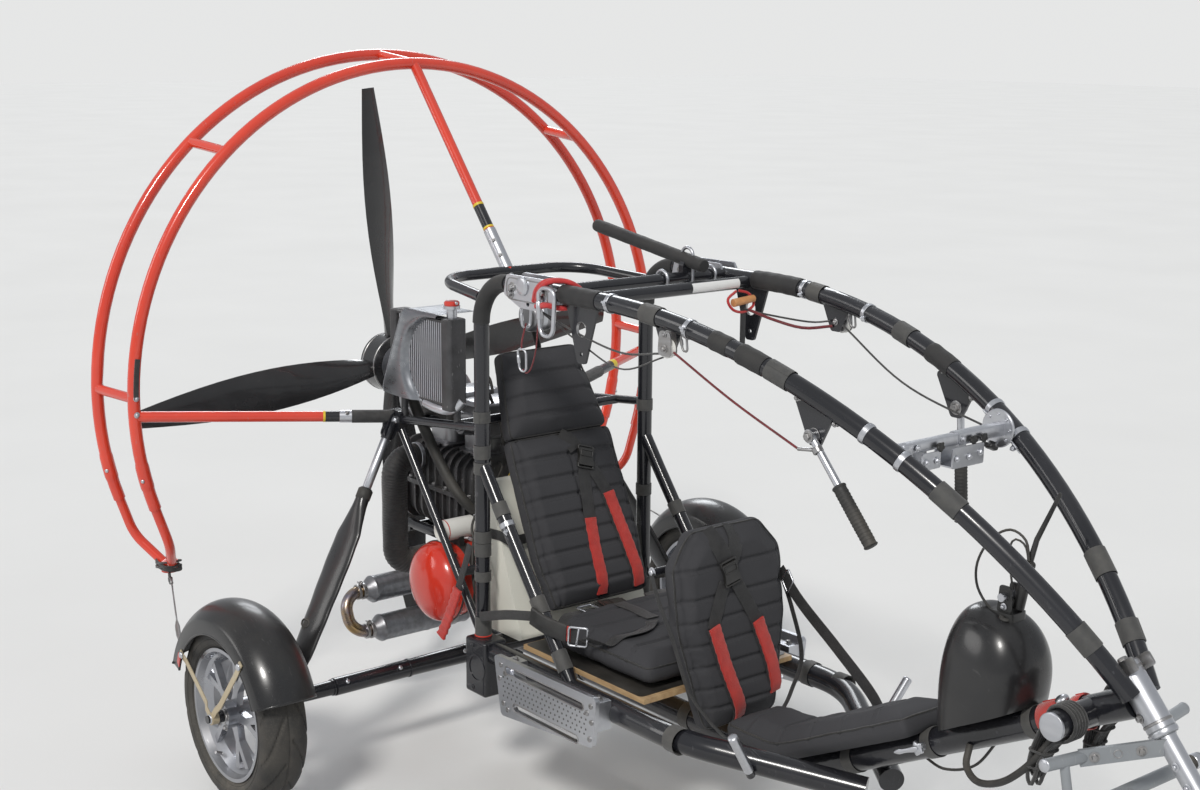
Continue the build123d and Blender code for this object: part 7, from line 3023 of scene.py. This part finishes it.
@dataclass
class NoseDress:
    """Bolts, sleeves and knobs at the nose, the foot controls' caps and the elastic bundle.

    Attributes:
        tube_x: Station of the foot tube.
        tube_z: Height of the foot tube.
    """

    tube_x: float = 0.920
    tube_z: float = 0.656

    def build(self) -> None:
        """Make everything round the nose."""
        self.head()
        self.keel_parts()
        self.foot_parts()

    @staticmethod
    def head() -> None:
        """Top cap, end rims and bolts of the head, and the lower column's polished sleeve."""
        top = column_at(-0.0081)
        cap = lathe(top, COLUMN_UP, [(0.0268, 0), (0.0268, 0.001), (0.024, 0.0035), (0.008, 0.004)], 36)
        side = np.array([0.0, 1.0, 0.0])
        back = unit(np.cross(side, COLUMN_UP))
        rings = [collar(column_at(distance), COLUMN_UP, 0.0269, 0.0286, 0.006, 0.0012, 44)
                 for distance in (0.004, 0.108)]
        bolts = [bolt(column_at(distance) + out * 0.0266, out, 0.011, 0.006) for distance in (0.022, 0.089)
                 for out in (unit(side * -1 - back * 0.5), unit(side - back * 0.5))]
        bolts.append(bolt(top + COLUMN_UP * 0.004, COLUMN_UP, 0.017, 0.009))
        tabs = [plate(rounded([(-0.02, -0.014), (0.02, -0.014), (0.02, 0.014), (-0.02, 0.014)], 0.006), 0.004,
                      column_at(0.005) + np.array([0.0, step * 0.026, 0.006]) + back * 0.018, back, COLUMN_UP)
                for step in (-1, 1)]
        piece("head_fittings", together([cap] + rings + bolts + tabs), STEEL, 30)
        sleeve = rod(column_at(0.1345), column_at(0.352), 0.0195, sides=30)
        nuts = [bolt(column_at(distance) + np.array([0, -0.0193, 0]), (0, -1, 0), 0.009, 0.005)
                for distance in (0.19, 0.231, 0.30)]
        lock = ring_round(column_at(0.1275), COLUMN_UP, oblong(0.006, 0.010, 0.0015, 3) + (0.0258, 0), 30)
        piece("column_sleeve", together([sleeve, lock] + nuts), BRIGHT_ALLOY, 35, body="steering")

    def keel_parts(self) -> None:
        """Release knob, drain hose, straps, end caps and bands on the keel."""
        slope = unit(np.array([1.0, 0.0, KEEL_RISE]))
        bands = together(wrap(keel_at(x), slope, 0.0302, width, 0.0013, 1.15, 60 * x) for x, width in
                         [(0.33, 0.03), (0.545, 0.026), (0.79, 0.022)])
        bands = bands + together(wrap((x, 0, 0.28), AHEAD, 0.0302, 0.034, 0.0013, 1.15, 90)
                                 for x in (-0.62, -0.2, 0.03))
        piece("keel_bands", bands, BAND)
        base = keel_at(0.541) + (0.0, -0.030, 0.0)
        stud = rod(base, base + (0, -0.022, 0), 0.009)
        wing = lens_form(np.array([base + (-0.052 * s, -0.024 - 0.004 * s, -0.024 * s)
                                   for s in np.linspace(-0.1, 1, 12)]),
                         np.array([0.006, 0.012, 0.013, 0.012, 0.011, 0.010, 0.010, 0.010, 0.011, 0.012,
                                   0.010, 0.004]), np.full(12, 0.006), UP, 16)
        cap = CrossBarDress.knob(base + (0, -0.008, 0), (0, -1, 0), 0.014)
        piece("keel_release_knob", together([stud, wing, cap]), BRIGHT_ALLOY)
        hose = cable([keel_at(0.655) + (0, -0.026, -0.018), (0.668, -0.05, 0.470), (0.72, -0.078, 0.462),
                      (0.79, -0.098, 0.492), (0.85, -0.106, 0.545), (0.893, -0.1, 0.606),
                      (0.905, -0.09, 0.636)], 0.0072, 0.008, 14)
        thin = cable([keel_at(0.5) + (0, 0.02, -0.028), (0.55, 0.03, 0.40), (0.62, 0.04, 0.43),
                      keel_at(0.69) + (0, 0.026, -0.02)], 0.003)
        piece("keel_hoses", hose + thin, RUBBER, 60)
        straps = [wrap(keel_at(x), slope, 0.0306, width, 0.0022, 1.2, 100)
                  for x, width in [(0.836, 0.05), (0.896, 0.022)]]
        tail = webbing([keel_at(0.84) + (0.0, -0.034, 0.004), keel_at(0.85) + (0, -0.046, -0.02),
                        keel_at(0.848) + (0, -0.048, -0.052)], slope, 0.026, 0.0022)
        piece("keel_red_straps", together(straps + [tail]), RED_WEBBING, 70)
        stud = dome_cap(keel_at(0.868) + (-0.012, -0.012, 0.027), (-0.45, -0.3, 0.9), 0.014, 0.012)
        piece("keel_stud", stud, BRIGHT_ALLOY)
        caps = [dome_cap((self.tube_x, side * 0.1295, self.tube_z), (0, side, 0), 0.0272, 0.007, 0.6, 40)
                for side in SIDES]
        caps += [dome_cap((-1.031, 0, 0.28), (-1, 0, 0), 0.0298, 0.006, 0.5, 40)]
        piece("tube_end_caps", together(caps), BRIGHT_ALLOY)

    def foot_parts(self) -> None:
        """End caps and rubber sleeves of the pegs, bolts of the flat bars, and the elastic bundle."""
        caps, grips, bolts = [], [], []
        for side in SIDES:
            inner, outer = np.array([0.9766, side * 0.13, 0.6145]), np.array([0.970, side * 0.2165, 0.6212])
            run = unit(outer - inner)
            caps.append(dome_cap(outer - run * 0.0005, run, 0.0124, 0.005))
            caps.append(dome_cap((0.995, side * 0.2395, 0.518), (0, side, 0), 0.0146, 0.006, 0.6))
            caps.append(collar((0.995, side * 0.225, 0.518), ACROSS, 0.0139, 0.0158, 0.016))
            reach = np.arange(0.178, 0.218, 0.0008)
            grips.append(sweep([(0.995, side * y, 0.518) for y in reach], circle(1.0, 24), UP,
                               0.0152 + 0.0006 * np.cos(reach * 2 * math.pi / 0.004)))
            hub = np.array([column_at(0.152)[0], side * 0.012, column_at(0.152)[2]])
            elbow = np.array([0.981, side * 0.120, 0.614])
            along = unit(elbow - hub)
            face = unit(np.cross(UP, along))
            for share in (0.3, 0.86):
                at = hub + (elbow - hub) * share
                bolts += [bolt(at + face * 0.004, face, 0.011, 0.006),
                          bolt(at - face * 0.004, -face, 0.011, 0.006)]
            at = hub + (elbow - hub) * 0.58
            bolts += [ring_round(at + face * step, face, oblong(0.002, 0.0012, 0.0004, 2) + (0.0075, 0), 24)
                      for step in (-0.0042, 0.0042)]
        piece("peg_caps", together(caps), BRIGHT_ALLOY, body="steering")
        piece("foot_bar_grips", together(grips), RUBBER, 60, body="steering")
        piece("foot_bar_bolts", together(bolts), STEEL, 30, body="steering")
        self.bundle()

    def bundle(self) -> None:
        """Elastic cords side by side, hung in long loops over each end of the foot tube."""
        loops = []
        for side in SIDES:
            for number in range(5):
                y = side * (0.072 + 0.0082 * number)
                sag = 0.012 * math.sin(number * 1.7)
                # from the rear of the tube over its top, down its front and back under it; below the tube
                # the loop leans to the rear, clear of the foot bar that turns with the fork
                around = [(-0.0325, 0.0), (-0.023, 0.023), (0.0, 0.0325), (0.023, 0.023), (0.0325, 0.0),
                          (0.020, -0.027), (-0.014, -0.046), (-0.040, -0.085), (-0.050, -0.118 - sag),
                          (-0.058, -0.135 - sag), (-0.066, -0.118 - sag), (-0.062, -0.08), (-0.045, -0.03),
                          (-0.0325, -0.004)]
                loops.append(cable([(self.tube_x + dx, y, self.tube_z + dz) for dx, dz in around], 0.0038,
                                   0.006, 10))
            for dx, dz, width in [(-0.045, -0.07, 0.042), (-0.055, -0.104, 0.032)]:
                centre = (self.tube_x + dx, side * 0.0885, self.tube_z + dz)
                loops.append(loop_frame(centre, AHEAD, ACROSS, width, 0.046, 0.012, 0.0022))
        piece("elastic_bundle", together(loops), LINE_BLACK, 80)


# Stage


@dataclass
class Studio:
    """Floor, light and camera.

    Attributes:
        focal_length: Lens in millimetres.
        camera_at: Place of the camera.
        heading: Direction of view about +Z from +X, in degrees.
        dip: How far the camera looks down, in degrees.
        roll: Turn about the view, in degrees.
        sensor: Width of the sensor in millimetres.
        floor_half: Half of the floor's side.
        backdrop: Colour that the camera sees beyond the floor.
    """

    focal_length: float = 51.79
    camera_at: Point = (2.69749, -2.63493, 1.88388)
    heading: float = 141.0198
    dip: float = 11.785
    roll: float = 0.4514
    sensor: float = 36.0
    floor_half: float = 60.0
    backdrop: Colour = (0.79, 0.795, 0.793)

    def camera(self) -> None:
        """Camera at the photograph's viewing angle."""
        heading, dip, roll = (math.radians(value) for value in (self.heading, self.dip, self.roll))
        ahead = Vector((math.cos(heading) * math.cos(dip), math.sin(heading) * math.cos(dip), -math.sin(dip)))
        level = Vector((math.sin(heading), -math.cos(heading), 0))
        over = level.cross(ahead)
        across = level * math.cos(roll) + over * math.sin(roll)
        upright = over * math.cos(roll) - level * math.sin(roll)
        data = bpy.data.cameras.new("camera")
        data.lens = self.focal_length
        data.sensor_width = self.sensor
        data.sensor_fit = "HORIZONTAL"
        data.clip_end = 500
        camera = bpy.data.objects.new("camera", data)
        turn = Matrix((across, upright, -ahead)).transposed().to_4x4()
        camera.matrix_world = Matrix.Translation(self.camera_at) @ turn
        bpy.context.scene.collection.objects.link(camera)
        bpy.context.scene.camera = camera

    def floor(self) -> None:
        """Pale plain floor."""
        edge = np.linspace(-self.floor_half, self.floor_half, 9)
        x, y = np.meshgrid(edge, edge, indexing="ij")
        points = np.stack([x, y, np.zeros_like(x)], -1)
        thing = bpy.data.objects.new("floor", grid(points.transpose(1, 0, 2)).mesh("floor"))
        bpy.context.scene.collection.objects.link(thing)
        material = bpy.data.materials.new("pale_floor")
        material.use_nodes = True
        graph = Graph(material.node_tree)
        where = graph.add("TexCoord").outputs["Object"]
        cloud = graph.ramp(graph.noise(where, 0.8, 5), 0.3, 0.7)
        colour = graph.mix(cloud, (0.74, 0.74, 0.73, 1), (0.71, 0.71, 0.7, 1))
        shader = graph.add("BsdfPrincipled", {"Base Color": colour, "Roughness": 0.85})
        output = graph.add("OutputMaterial")
        graph.tree.links.new(shader.outputs[0], output.inputs[0])
        thing.data.materials.append(material)

    def light(self) -> None:
        """Even sky, one soft sun from the front right and two weaker ones from behind and beside."""
        world = bpy.data.worlds.new("sky")
        bpy.context.scene.world = world
        world.use_nodes = True
        graph = Graph(world.node_tree)
        path = graph.add("LightPath").outputs
        seen = graph.math("MAXIMUM", path["Is Camera Ray"], path["Is Transmission Ray"])
        soft = graph.add("Background", {"Color": (0.93, 0.96, 1.0, 1), "Strength": 0.5})
        back = graph.add("Background", {"Color": (*self.backdrop, 1), "Strength": 1.0})
        mixed = graph.add("MixShader", {0: seen, 1: soft.outputs[0], 2: back.outputs[0]})
        output = graph.add("OutputWorld")
        graph.tree.links.new(mixed.outputs[0], output.inputs[0])
        # name, where it shines from, angle across in degrees, strength, colour
        suns = [("key", (3.2, -4.6, 5.4), 11, 1.9, (1.0, 0.975, 0.94)),
                ("rim", (-4.8, 3.2, 3.4), 20, 0.75, (0.94, 0.97, 1.0)),
                ("side", (-3.4, -5.0, 2.2), 24, 0.4, (1.0, 0.98, 0.96))]
        for name, place, angle, strength, colour in suns:
            data = bpy.data.lights.new(name, "SUN")
            data.angle = math.radians(angle)
            data.energy = strength
            data.color = colour
            lamp = bpy.data.objects.new(name, data)
            aim = -Vector(place)
            lamp.matrix_world = Matrix.Translation(place) @ aim.to_track_quat("-Z", "Y").to_matrix().to_4x4()
            bpy.context.scene.collection.objects.link(lamp)

    def build(self) -> None:
        """Set up colour handling, floor, light and camera."""
        bpy.context.scene.view_settings.view_transform = "Standard"
        self.floor()
        self.light()
        self.camera()


# Finish of the CAD nodes that stay as they are: the finish, the nodes and whether each has a right and a left
NODE_FINISHES = ((BLACK_COAT, "mast boom rear_frame side_rail diagonal axle_arm", True),
                 (BLACK_COAT, "keel top_bow top_cross_tubes engine_cradle seat_back_bar", False),
                 (RED_COAT, "cage_front_hoop cage_rear_hoop cage_spokes", False),
                 (BRIGHT_ALLOY, "hang_hinge step_plate hand_lever", True), (BRIGHT_ALLOY, "nose_head", False),
                 (GREY_PAINT, "steering_fork", False), (CAST_ALLOY, "header_bottle", False),
                 (WHEEL_ALLOY, "main_rim", True), (WHEEL_ALLOY, "front_rim", False),
                 (TANK, "fuel_tank", False), (BLADE, "propeller", False), (PLY, "seat_board", False))


def main() -> None:
    """Build the stage and every sub-assembly in order."""
    logging.basicConfig(level=logging.INFO, format="%(name)s: %(message)s")
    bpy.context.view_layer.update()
    Studio().build()
    for finish, nodes, mirrored in NODE_FINISHES:
        sides = ("_right", "_left") if mirrored else ("",)
        repaint(finish, *(name + side for name in nodes.split() for side in sides))
    for assembly in (Engine(), Cooler(), Exhaust(), Canister(), Intake(), *WHEELS, Mudguard(), GearStrut(),
                     AxleDress(), FrameBands(), HangPoint(), TopTubes(), CrossBarDress(), StepPlateDress(),
                     GuardDress(), Pod(), NoseDress(), SideStraps(), Seats()):
        log.info("building %s", type(assembly).__name__)
        assembly.build()


if __name__ == "__main__":
    main()
